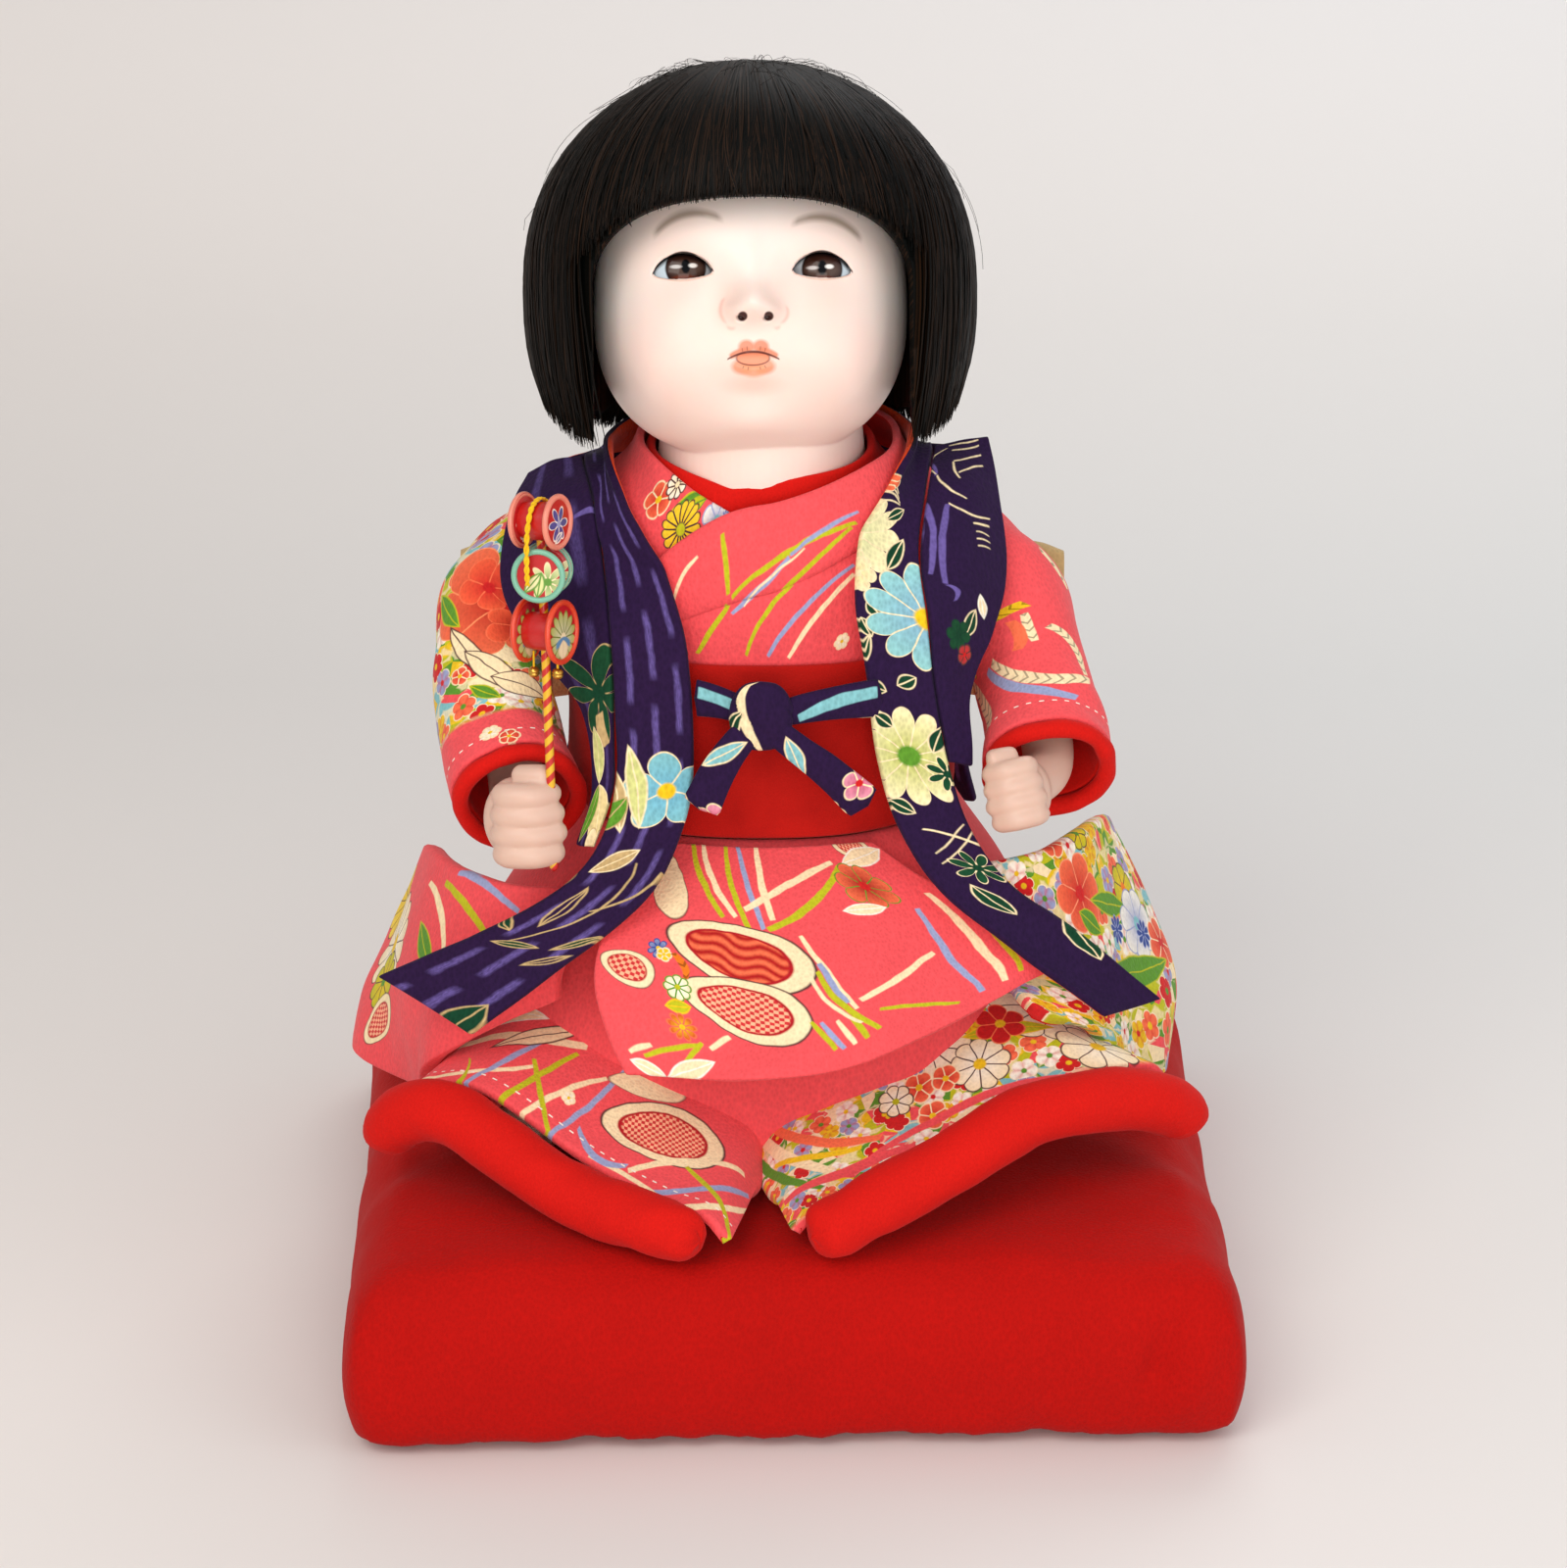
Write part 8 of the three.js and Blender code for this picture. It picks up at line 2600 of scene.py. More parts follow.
BROW, LASH, LIP = rgb(166, 144, 126), rgb(18, 12, 12), rgb(224, 124, 84)
LIP_LINE, NOSTRIL, WARM = rgb(92, 26, 14), rgb(58, 20, 14), rgb(238, 188, 164)
MAKEUP_AND_PAINTED_LIGHT = (
    # Painted light: pale dabs that lift the fringe's shade off the forehead and the hair's shade off the
    # sides of the face.
    Spot((0.0, 18.0), 36.0, 13.0, rgb(255, 238, 228), 0.9, 1.2),
    Spot((-42.0, -12.0), 13.0, 38.0, rgb(255, 240, 230), 1.0, 1.2),
    Spot((42.0, -12.0), 13.0, 38.0, rgb(255, 240, 230), 1.0, 1.2),
    Spot((-26.0, -14.0), 12.0, 10.0, rgb(252, 212, 198), 0.6, 1.5),
    Spot((26.0, -14.0), 12.0, 10.0, rgb(252, 212, 198), 0.6, 1.5),
    Spot((-17.0, 12.0), 13.0, 9.0, rgb(248, 210, 194), 0.5, 1.4),
    Spot((18.0, 11.0), 13.0, 9.0, rgb(248, 210, 194), 0.5, 1.4),
    # Painted shade: darker dabs beside the nose bridge, by the inner corners of the eyes.
    Spot((-7.5, 2.0), 3.0, 7.0, rgb(236, 200, 184), 0.5, 1.4),
    Spot((7.8, 2.0), 3.0, 7.0, rgb(240, 206, 192), 0.5, 1.4),
    # Painted shade under the lower lip.
    Spot((0.0, -22.6), 6.5, 2.0, rgb(232, 196, 178), 0.6, 1.2),
    Stroke((-26.4, 17.2), (-7.4, 21.0), 3.9, 1.05, BROW, Fill.PLAIN, 1.7, 0.8),
    Stroke((10.0, 19.6), (29.6, 15.8), 3.9, 1.05, BROW, Fill.PLAIN, 1.7, 0.8),
    Stroke((-25.0, 18.4), (-12.0, 22.4), 1.9, 0.5, BROW, Fill.PLAIN, 1.1, 0.5),
    Stroke((14.0, 21.4), (28.0, 17.2), 1.9, 0.5, BROW, Fill.PLAIN, 1.1, 0.5),
    Stroke((-26.6, 7.2), (-10.2, 7.3), 5.3, 0.42, LASH, Fill.PLAIN, 0.3, 0.95),
    Stroke((10.2, 7.3), (26.8, 7.2), 5.3, 0.42, LASH, Fill.PLAIN, 0.3, 0.95),
    Stroke((-26.4, 6.9), (-10.4, 6.9), -1.7, 0.16, WARM, Fill.PLAIN, 0.3, 0.8),
    Stroke((10.4, 6.9), (26.4, 6.9), -1.7, 0.16, WARM, Fill.PLAIN, 0.3, 0.8),
    Stroke((-7.4, 0.6), (-7.0, -6.8), -1.5, 0.35, rgb(222, 160, 142), Fill.PLAIN, 0.9, 0.6),
    Stroke((8.6, -1.6), (7.0, -6.8), 1.2, 0.35, rgb(222, 160, 142), Fill.PLAIN, 0.9, 0.6),
    Stroke((-7.4, -7.0), (-4.4, -7.6), -0.5, 0.3, rgb(214, 160, 142), Fill.PLAIN, 0.9, 0.6),
    Stroke((5.0, -7.6), (7.4, -7.0), -0.5, 0.3, rgb(214, 160, 142), Fill.PLAIN, 0.9, 0.6),
    Spot((-2.9, -4.8), 1.25, 1.15, NOSTRIL, 1.0, 0.3), Spot((4.0, -4.8), 1.25, 1.15, NOSTRIL, 1.0, 0.3),
    Spot((-1.9, -12.7), 2.1, 1.9, LIP, 0.85, 0.5), Spot((1.9, -12.7), 2.1, 1.9, LIP, 0.85, 0.5),
    Stroke((-6.6, -15.4), (-0.6, -13.4), 0.4, 0.9, LIP, Fill.PLAIN, 0.7, 0.9),
    Stroke((0.6, -13.4), (6.6, -15.4), 0.4, 0.9, LIP, Fill.PLAIN, 0.7, 0.9),
    Spot((-2.9, -17.7), 2.9, 2.0, rgb(232, 140, 98), 0.85, 0.5),
    Spot((2.7, -17.7), 2.9, 2.0, rgb(232, 140, 98), 0.85, 0.5),
    Spot((0.0, -18.4), 3.4, 2.0, rgb(240, 156, 112), 0.8, 0.5),
    Stroke((-2.9, -14.0), (-3.1, -12.8), 0.0, 0.12, LIP_LINE, Fill.PLAIN, 0.2, 0.6),
    Stroke((-1.7, -13.7), (-1.8, -12.4), 0.0, 0.12, LIP_LINE, Fill.PLAIN, 0.2, 0.6),
    Stroke((1.7, -13.7), (1.8, -12.4), 0.0, 0.12, LIP_LINE, Fill.PLAIN, 0.2, 0.6),
    Stroke((2.9, -14.0), (3.1, -12.8), 0.0, 0.12, LIP_LINE, Fill.PLAIN, 0.2, 0.6),
    Stroke((-2.6, -17.4), (-3.0, -18.4), 0.0, 0.12, LIP_LINE, Fill.PLAIN, 0.2, 0.6),
    Stroke((-1.4, -17.7), (-1.6, -18.8), 0.0, 0.12, LIP_LINE, Fill.PLAIN, 0.2, 0.6),
    Stroke((1.6, -17.7), (1.8, -18.7), 0.0, 0.12, LIP_LINE, Fill.PLAIN, 0.2, 0.6),
    Stroke((2.8, -17.4), (3.2, -18.3), 0.0, 0.12, LIP_LINE, Fill.PLAIN, 0.2, 0.6),
    Spot((-0.2, -15.6), 4.5, 1.95, LIP_LINE, 0.9, 0.12),
    Spot((-0.2, -15.5), 4.2, 1.7, rgb(248, 152, 116), 1.0, 0.15),
    Stroke((-7.1, -15.9), (6.9, -16.0), 2.0, 0.3, LIP_LINE, Fill.PLAIN, 0.25, 0.95),
)
EYE_PICTURE_AND_PAINTED_LIGHT = tuple(
    motif for x, z in ((-17.6, 8.8), (18.5, 8.2)) for motif in (
        Spot((x, z), 5.4, 5.4, rgb(26, 10, 6), 1.0, 0.08),
        Spot((x, z), 4.9, 4.9, rgb(50, 24, 16), 1.0, 0.2),
        # Painted reflection: a greyish band across the middle of the iris.
        Spot((x, z - 0.2), 4.7, 2.1, rgb(104, 84, 74), 0.5, 0.5),
        Spot((x, z - 3.4), 3.8, 1.5, rgb(112, 42, 12), 0.9, 0.5),
        Spot((x, z + 0.4), 1.2, 1.9, rgb(5, 5, 8), 1.0, 0.3),
        # Painted highlights: two pale glints beside the pupil.
        Spot((x - 2.6, z + 0.3), 1.5, 0.5, rgb(226, 220, 216), 0.7, 0.6),
        Spot((x + 1.9, z + 0.6), 1.1, 0.6, rgb(250, 246, 240), 0.9, 0.6),
        Spot((x, z + 0.5), 0.5, 0.9, rgb(5, 5, 8), 0.9, 0.3),
        # Painted shadow of the upper lid across the top of the eyeball.
        Stroke((x - 9.4, 7.6), (x + 8.0, 7.8), 5.4, 1.3, rgb(10, 8, 10), Fill.PLAIN, 1.2, 0.95),
    )
)
DRUM_PICTURES = (
    (
        Bloom((0.0, -0.5), 5.0, 6, NAVY, NAVY, PALE_BLUE, WHITE, 0.6, 1.2),
        Leaf((-2.0, -3.0), (2.0, -5.5), 1.2, NAVY, WHITE)
    ),
    (
        Bloom((-2.6, -1.6), 5.4, 8, LEAF_GREEN, rgb(236, 228, 170), LEAF_GREEN, CREAM, 0.6, 1.2),
        Leaf((-1.0, 1.0), (0.6, -6.0), 1.6, rgb(222, 222, 150), LEAF_GREEN),
        Leaf((-1.0, 1.0), (4.0, -4.6), 1.5, rgb(236, 228, 170), LEAF_GREEN)
    ),
    (
        Bloom(
            (0.0, -1.5), 7.4, 13, rgb(222, 210, 180), rgb(170, 176, 70), CREAM, rgb(120, 130, 50), 0.3, 0.8
        ),
        Stroke((-4.0, -4.0), (4.0, -3.4), 1.4, 1.1, rgb(96, 140, 176)),
        Leaf((0.0, -2.0), (0.0, -7.4), 2.6, CREAM, rgb(230, 200, 160))
    ),
)


def makeup() -> bpy.types.Material:
    """The painted face over polished shell white, with painted light lifting the shade on the forehead and
    at the sides, and painted shade beside the nose and under the lower lip.
    """
    left, _, up = head_axes()
    face = Panel("face_white", rgb(246, 218, 204), HEAD_AT, left, up)
    slow = face.tree.noise(face.tree.place(), 30.0, 3.0)
    return face.painted(
        MAKEUP_AND_PAINTED_LIGHT, Roughness=0.4, Subsurface_Weight=0.12, Subsurface_Scale=0.003,
        Normal=face.tree.bump(slow, 0.0004, 0.3)
    )


def glass_eyes() -> bpy.types.Material:
    """Brown glass eyes, painted from behind, with painted highlights, a painted reflection and the lid's
    painted shadow.
    """
    left, _, up = head_axes()
    eye = Panel("eye_glass_brown", rgb(198, 212, 220), HEAD_AT, left, up)
    return eye.painted(EYE_PICTURE_AND_PAINTED_LIGHT, Roughness=0.1, Specular_IOR_Level=0.22)


def silk_hair(name: str, gloss: float) -> bpy.types.Material:
    """Black silk hair with a brown strand here and there."""
    tree = Tree(name)
    strand, *_ = tree.parts(tree.flat())
    chance = tree.node(
        "ShaderNodeTexWhiteNoise", {"noise_dimensions": "1D"}, {"W": (strand * 1990.0).math("FLOOR")}
    )
    colour = tree.mix(chance**4.0 * 0.9, rgb(3, 4, 3), rgb(50, 32, 20))
    return tree.finish(Base_Color=colour, Roughness=0.5, Specular_IOR_Level=gloss)


def lacquer(name: str, colour: tuple[float, float, float]) -> bpy.types.Material:
    """Brushed lacquer."""
    tree = Tree(name)
    slow = tree.noise(tree.place(), 300.0, 3.0)
    made = tree.mix(slow * 0.5, colour, tuple(c * 0.6 for c in colour))
    return tree.finish(Base_Color=made, Roughness=0.38, Coat_Weight=0.25, Normal=tree.bump(slow, 0.0002))


# Motifs of each piece

COLLAR_RIGHT_PRINT = (
    Bloom((93.5, 13.0), 4.4, 5, ROSE, CORAL, SUN_YELLOW, CREAM),
    Bloom((96.0, 17.8), 3.4, 9, CREAM, WHITE, CREAM, INK),
    Leaf((99.5, 13.6), (107.7, 20.8), 2.2, LEAF_GREEN, CHARTREUSE),
    Leaf((103.2, 15.5), (108.2, 19.0), 2.0, CHARTREUSE, LEAF_GREEN),
    Bloom((114.1, 16.5), 4.5, 6, PALE_BLUE, WHITE, SKY, PALE_BLUE),
    Bloom((117.0, 17.7), 1.6, 9, NAVY, NAVY, NAVY, PALE_BLUE, 0.5),
    Bloom((107.4, 6.1), 4.3, 5, CORAL, CORAL, ROSE, INK),
    Bloom((104.8, 1.6), 2.5, 5, ROSE, CORAL, SUN_YELLOW, CREAM),
    Bloom((104.8, 11.6), 6.1, 15, SUN_YELLOW, rgb(240, 200, 50), CHARTREUSE, INK),
)
COLLAR_LEFT_PRINT = (
    Stroke((35.3, 14.8), (37.8, 2.3), 0.7, 0.7, CHARTREUSE),
    Stroke((37.7, 0.5), (25.6, -7.6), 0.3, 0.8, CHARTREUSE),
    Stroke((38.6, 1.5), (73.1, 7.3), 4.1, 0.7, CHARTREUSE),
    Stroke((38.2, -1.7), (53.9, 7.3), -0.7, 0.7, PALE_BLUE),
    Stroke((53.9, 7.5), (75.4, 9.4), 1.3, 0.5, PALE_BLUE),
    Stroke((41.9, -0.9), (58.2, 7.7), 1.1, 0.3, CREAM),
    Stroke((39.8, -10.9), (71.3, 7.0), 3.4, 0.7, CHARTREUSE),
    Stroke((46.3, -12.5), (70.0, -2.5), 1.9, 0.7, PALE_BLUE),
    Stroke((53.1, -16.0), (69.9, -4.8), 1.4, 0.8, CREAM),
    Stroke((21.6, 5.3), (28.9, 12.5), 1.2, 0.6, CREAM),
    Bloom((67.1, -19.8), 2.0, 6, WHITE, CREAM, SUN_YELLOW, CREAM),
)
FRONT_PRINT = (
    Stroke((29.9, 98.2), (31.2, 76.0), 0.1, 0.9, CHARTREUSE),
    Stroke((31.2, 73.0), (21.9, 60.1), 0.1, 0.9, CHARTREUSE),
    Stroke((32.0, 74.7), (70.1, 79.4), 7.0, 0.8, CHARTREUSE),
    Stroke((31.9, 69.5), (47.9, 82.0), -0.1, 0.9, PALE_BLUE),
    Stroke((47.9, 82.3), (72.0, 81.5), 2.1, 0.6, PALE_BLUE),
    Stroke((35.3, 70.9), (52.3, 82.4), 2.2, 0.3, CREAM),
    Stroke((35.6, 55.2), (68.1, 79.1), 7.9, 0.8, CHARTREUSE),
    Stroke((41.5, 54.0), (65.6, 70.1), 3.6, 0.8, PALE_BLUE),
    Stroke((47.3, 52.0), (65.5, 67.8), 2.0, 0.9, CREAM),
    Stroke((16.5, 81.0), (23.2, 92.9), 1.4, 0.7, CREAM),
    Bloom((62.9, 51.0), 2.2, 6, WHITE, CREAM, SUN_YELLOW, CREAM),
)
SLEEVE_RIGHT_PRINT = (
    Meadow(9.0, -5.0, 74.0),
    Bloom((28.7, 31.9), 20.8, 7, rgb(170, 20, 18), CORAL, ROSE, rgb(250, 150, 100), 0.3, 0.5),
    Bloom((22.7, 26.1), 8.9, 5, ROSE, rgb(240, 96, 60), ROSE, CORAL, 0.35, 0.5, 0.6),
    Bloom((34.8, 39.0), 9.7, 5, rgb(170, 20, 18), rgb(240, 96, 60), ROSE, CORAL, 0.35, 0.5),
    Leaf((15.9, 40.9), (28.7, 58.7), 3.1, CREAM, INK),
    Leaf((21.2, 49.0), (37.3, 64.8), 4.0, CREAM, INK),
    Leaf((28.7, 59.4), (46.3, 65.1), 4.5, CREAM, INK),
    Leaf((7.4, 32.7), (19.1, 41.1), 3.0, LEAF_GREEN, CHARTREUSE),
    Bloom((20.4, 57.5), 3.2, 5, ROSE, CORAL, SUN_YELLOW, CREAM),
    Leaf((22.8, 61.5), (32.4, 68.2), 2.3, LEAF_GREEN, CHARTREUSE),
    Bloom((34.3, 86.7), 3.0, 5, CORAL, ROSE, SUN_YELLOW, CREAM),
    Bloom((29.4, 82.7), 3.0, 6, WHITE, CREAM, SUN_YELLOW, CREAM),
    RunningStitch(84.0),
)
SLEEVE_LEFT_PRINT = (
    Stroke((30.8, 25.2), (5.7, 44.1), 7.4, 2.4, SUN_YELLOW, Fill.PLAITED),
    Stroke((28.7, 28.2), (29.5, 40.0), 0.1, 1.6, CREAM, Fill.PLAITED),
    Stroke((24.4, 29.3), (23.9, 42.4), -2.0, 2.0, CORAL),
    Stroke((15.6, 43.3), (43.5, 55.9), 6.7, 2.3, CREAM, Fill.PLAITED),
    Stroke((13.2, 45.3), (37.5, 63.9), 4.8, 1.9, PALE_BLUE),
    Stroke((34.5, 34.6), (42.4, 54.2), -4.1, 1.8, CREAM, Fill.PLAITED),
    Stroke((1.6, 44.5), (9.8, 66.0), -1.0, 2.7, CREAM, Fill.PLAITED),
    Leaf((-7.0, 37.3), (1.6, 46.7), 3.8, CHARTREUSE, SUN_YELLOW),
    Stroke((54.8, 6.3), (54.3, 8.9), -0.4, 1.2, CREAM),
    Stroke((47.5, 17.4), (52.2, 25.9), 0.3, 1.4, CREAM, Fill.PLAITED),
    RunningStitch(66.0),
)
LAP_PRINT = (
    Stroke((14.8, -1.1), (32.6, 24.5), 0.0, 1.0, CHARTREUSE),
    Stroke((19.4, -1.4), (36.4, 24.1), 0.4, 1.0, CREAM),
    Stroke((29.8, -1.8), (40.1, 28.2), -0.1, 1.0, CHARTREUSE),
    Stroke((34.8, -2.0), (44.1, 27.5), -1.2, 1.0, PALE_BLUE),
    Stroke((43.7, -2.1), (47.3, 24.8), -0.3, 1.2, CREAM),
    Stroke((39.1, 21.5), (78.2, 7.0), -1.6, 1.1, CREAM),
    Stroke((45.2, 27.5), (79.9, 8.6), 1.4, 1.1, CHARTREUSE),
    Shell((84.3, 2.0), (102.6, -0.1), 6.1, Fill.DOTTED),
    Leaf((81.4, 8.0), (106.4, 3.3), 3.2, CREAM, WHITE),
    Bloom((83.0, 16.4), 9.1, 7, rgb(150, 16, 16), CORAL, ROSE, LEAF_GREEN, 0.3),
    Leaf((69.1, 24.0), (82.7, 25.0), 2.2, CREAM, WHITE),
    Shell((7.7, 4.9), (20.1, 26.9), 5.1, Fill.PLAIN),
    Shell((16.7, 30.5), (54.2, 40.3), 9.3, Fill.FEATHERED),
    Shell((20.4, 45.3), (48.1, 54.5), 8.5, Fill.DOTTED),
    Shell((1.3, 40.2), (14.4, 45.3), 4.6, Fill.DOTTED),
    Bloom((15.2, 36.6), 2.9, 7, NAVY, PALE_BLUE, SUN_YELLOW, NAVY, 0.5),
    Bloom((16.8, 38.0), 2.1, 5, SUN_YELLOW, SUN_YELLOW, SUN_YELLOW, CREAM),
    Stroke((18.8, 37.1), (21.9, 44.0), -1.4, 1.0, ORANGE, Fill.PLAITED),
    Bloom((19.8, 46.4), 3.4, 8, WHITE, CREAM, CHARTREUSE, LEAF_GREEN),
    Leaf((15.6, 51.3), (21.9, 50.8), 1.9, CHARTREUSE, SUN_YELLOW),
    Bloom((18.0, 56.0), 3.4, 9, SUN_YELLOW, ROSE, SUN_YELLOW, CORAL, 0.45),
    Stroke((6.5, 63.5), (21.4, 59.7), -0.3, 0.6, CHARTREUSE),
    Stroke((21.5, 59.2), (15.7, 64.8), 0.1, 0.6, CHARTREUSE),
    Stroke((3.4, 62.9), (9.4, 60.9), -0.3, 0.6, CREAM),
    Stroke((22.7, 60.8), (28.4, 57.3), -0.1, 0.7, CREAM),
    Leaf((2.7, 64.4), (9.8, 68.3), 1.9, CREAM, WHITE),
    Leaf((9.7, 68.5), (23.3, 63.9), 2.4, CREAM, WHITE),
    Stroke((47.4, 54.1), (51.7, 62.7), 0.2, 0.7, CHARTREUSE),
    Stroke((49.7, 54.5), (53.8, 63.0), 0.5, 0.7, PALE_BLUE),
    Stroke((53.4, 54.7), (56.4, 62.4), 0.4, 0.7, CREAM),
    Stroke((56.8, 54.5), (59.5, 61.8), 0.3, 0.8, CHARTREUSE),
    Stroke((53.4, 29.7), (59.2, 53.1), -0.1, 0.8, CREAM),
    Stroke((55.2, 38.3), (57.8, 50.9), 0.2, 0.9, PALE_BLUE),
    Stroke((53.9, 40.5), (62.5, 60.2), 1.9, 0.9, CHARTREUSE),
    Stroke((51.8, 41.7), (58.7, 57.1), 1.7, 0.6, CREAM),
    Stroke((90.7, 27.0), (88.5, 62.7), 3.0, 1.0, PALE_BLUE),
    Stroke((99.7, 21.6), (94.4, 62.6), 2.0, 1.2, CREAM),
    Stroke((106.4, 23.3), (98.7, 61.6), 2.1, 0.9, CHARTREUSE),
    Stroke((60.7, 50.8), (83.9, 42.3), 0.6, 0.9, CREAM),
    Stroke((63.7, 54.7), (82.8, 63.0), -1.2, 0.6, CHARTREUSE),
)
SKIRT_LEFT_PRINT = (
    Meadow(7.5, -5.0, 72.0, 31.0),
    Bloom((41.3, 45.5), 16.4, 11, WHITE, CREAM, CHARTREUSE, INK, 0.16),
    Bloom((76.3, 41.0), 12.0, 12, WHITE, CREAM, CHARTREUSE, INK, 0.16),
    Bloom((68.4, 54.5), 8.2, 9, WHITE, CREAM, SUN_YELLOW, INK, 0.18),
    Bloom((40.9, 64.8), 10.3, 8, WHITE, CREAM, SUN_YELLOW, INK),
    Bloom((119.4, 15.5), 14.5, 8, rgb(190, 24, 20), CORAL, ROSE, rgb(250, 160, 120), 0.3),
    Bloom((95.1, 20.1), 6.1, 7, WHITE, CREAM, SUN_YELLOW, INK),
    Leaf((67.8, 44.2), (45.9, 54.9), 2.9, CHARTREUSE, SUN_YELLOW),
    Bloom((57.3, 47.0), 6.9, 6, ROSE, rgb(200, 30, 30), SUN_YELLOW, CORAL, 0.35),
    Bloom((84.9, 49.4), 5.0, 5, ROSE, CORAL, SUN_YELLOW, CREAM),
    Bloom((77.6, 51.8), 4.2, 5, ROSE, CORAL, SUN_YELLOW, CREAM),
    Bloom((86.0, 59.1), 4.6, 5, ROSE, CORAL, SUN_YELLOW, CREAM),
    Bloom((92.5, 49.1), 5.3, 7, WHITE, CREAM, CHARTREUSE, INK),
    Bloom((21.1, 47.2), 8.8, 8, PALE_BLUE, WHITE, NAVY, PALE_BLUE, 0.4),
    Bloom((81.9, 42.9), 3.4, 8, NAVY, PALE_BLUE, SUN_YELLOW, CREAM),
    Stroke((132.0, 20.4), (117.3, 60.3), -4.1, 1.8, CREAM),
    Stroke((136.4, 23.1), (121.9, 65.2), -4.6, 1.5, LEAF_GREEN),
    Stroke((127.8, 22.9), (101.2, 57.9), -6.8, 1.7, CORAL),
    Stroke((132.4, 41.8), (107.2, 57.6), -1.9, 1.1, SUN_YELLOW),
    Stroke((135.1, 60.2), (95.9, 65.5), 0.4, 1.8, SALMON),
    Stroke((109.7, 63.7), (48.2, 76.0), 8.0, 1.3, SALMON),
)
SKIRT_RIGHT_PRINT = (
    Stroke((24.7, 73.2), (56.1, 59.4), 4.5, 0.8, CREAM),
    Stroke((17.6, 56.0), (65.5, 44.8), 3.6, 1.5, CREAM),
    Stroke((43.4, 77.5), (55.0, 49.3), -0.4, 0.8, PALE_BLUE),
    Stroke((53.7, 79.5), (64.2, 48.5), -1.3, 0.9, CHARTREUSE),
    Stroke((59.7, 79.5), (74.7, 49.2), -2.3, 0.8, CREAM),
    Stroke((54.9, 57.2), (69.1, 75.2), 0.3, 0.8, CHARTREUSE),
    Stroke((69.1, 75.2), (78.2, 42.9), 0.5, 0.8, PALE_BLUE),
    Stroke((29.5, 76.7), (38.8, 63.8), 9.5, 0.9, CHARTREUSE),
    Stroke((48.8, 38.7), (63.4, 29.1), -4.0, 1.8, SUN_YELLOW, Fill.PLAITED),
    Leaf((22.9, 47.6), (51.7, 43.5), 3.8, CREAM, WHITE),
    Leaf((42.5, 59.4), (62.8, 40.1), 3.0, CREAM, INK),
    Shell((77.9, 60.3), (114.6, 46.7), 9.7, Fill.DOTTED),
    Shell((74.7, 49.2), (97.0, 37.7), 3.7, Fill.PLAIN),
    Stroke((91.7, 71.0), (123.5, 48.0), -2.7, 1.1, CREAM),
    Stroke((96.8, 76.2), (127.8, 52.5), 1.1, 1.1, PALE_BLUE),
    Stroke((105.9, 77.5), (131.4, 55.3), 2.7, 1.1, CREAM),
    Stroke((105.9, 59.5), (129.5, 75.7), -1.7, 1.0, CHARTREUSE),
    Stroke((80.4, 73.5), (108.8, 76.9), -2.4, 0.8, CREAM),
    Bloom((68.2, 61.8), 2.2, 5, WHITE, CREAM, SUN_YELLOW, CREAM),
    Stroke((74.3, 67.3), (91.1, 69.6), 4.1, 1.2, PALE_BLUE),
    RunningStitch(70.0),
)
DROP_LEFT_PRINT = (
    Meadow(9.0, -5.0, 80.0, 64.0),
    Bloom((37.3, 15.2), 11.3, 6, rgb(196, 24, 24), CORAL, ROSE, rgb(250, 150, 110), 0.3),
    Bloom((31.5, -1.4), 5.4, 5, ROSE, CORAL, SUN_YELLOW, CREAM),
    Bloom((45.5, 0.0), 5.2, 6, SUN_YELLOW, CHARTREUSE, LEAF_GREEN, INK),
    Bloom((67.8, 19.8), 7.1, 6, SUN_YELLOW, CHARTREUSE, ORANGE, INK),
    Leaf((42.0, 17.7), (66.1, 24.6), 3.3, LEAF_GREEN, CHARTREUSE),
    Leaf((33.7, 19.4), (43.3, 27.1), 3.5, LEAF_GREEN, CHARTREUSE),
    Bloom((68.9, 30.0), 10.0, 7, PALE_BLUE, WHITE, SKY, PALE_BLUE),
    Bloom((54.9, 28.2), 4.3, 9, NAVY, NAVY, NAVY, PALE_BLUE, 0.5),
    Bloom((70.6, 33.2), 4.2, 9, NAVY, NAVY, NAVY, PALE_BLUE, 0.5),
    Bloom((79.5, 38.9), 7.8, 6, ROSE, CORAL, ROSE, CREAM, 0.3),
    Leaf((38.7, 37.6), (78.0, 43.7), 4.5, LEAF_GREEN, CHARTREUSE),
)
DROP_RIGHT_PRINT = (
    Bloom((109.3, 17.1), 13.0, 13, SUN_YELLOW, rgb(240, 204, 70), CHARTREUSE, INK),
    Bloom((93.5, 27.1), 14.0, 12, WHITE, CREAM, SUN_YELLOW, INK),
    Bloom((89.9, 36.2), 7.9, 8, SUN_YELLOW, CHARTREUSE, LEAF_GREEN, INK),
    Shell((88.2, 53.8), (79.5, 38.4), 5.9, Fill.DOTTED),
    Stroke((71.4, 7.1), (47.9, 24.7), 4.2, 1.3, CREAM),
    Stroke((59.9, 4.9), (28.9, 18.3), 2.4, 1.2, CHARTREUSE),
    Stroke((53.4, 1.2), (20.3, 9.1), 3.0, 1.1, PALE_BLUE),
    Leaf((68.9, 16.9), (52.5, 27.7), 3.3, LEAF_GREEN, CHARTREUSE),
)
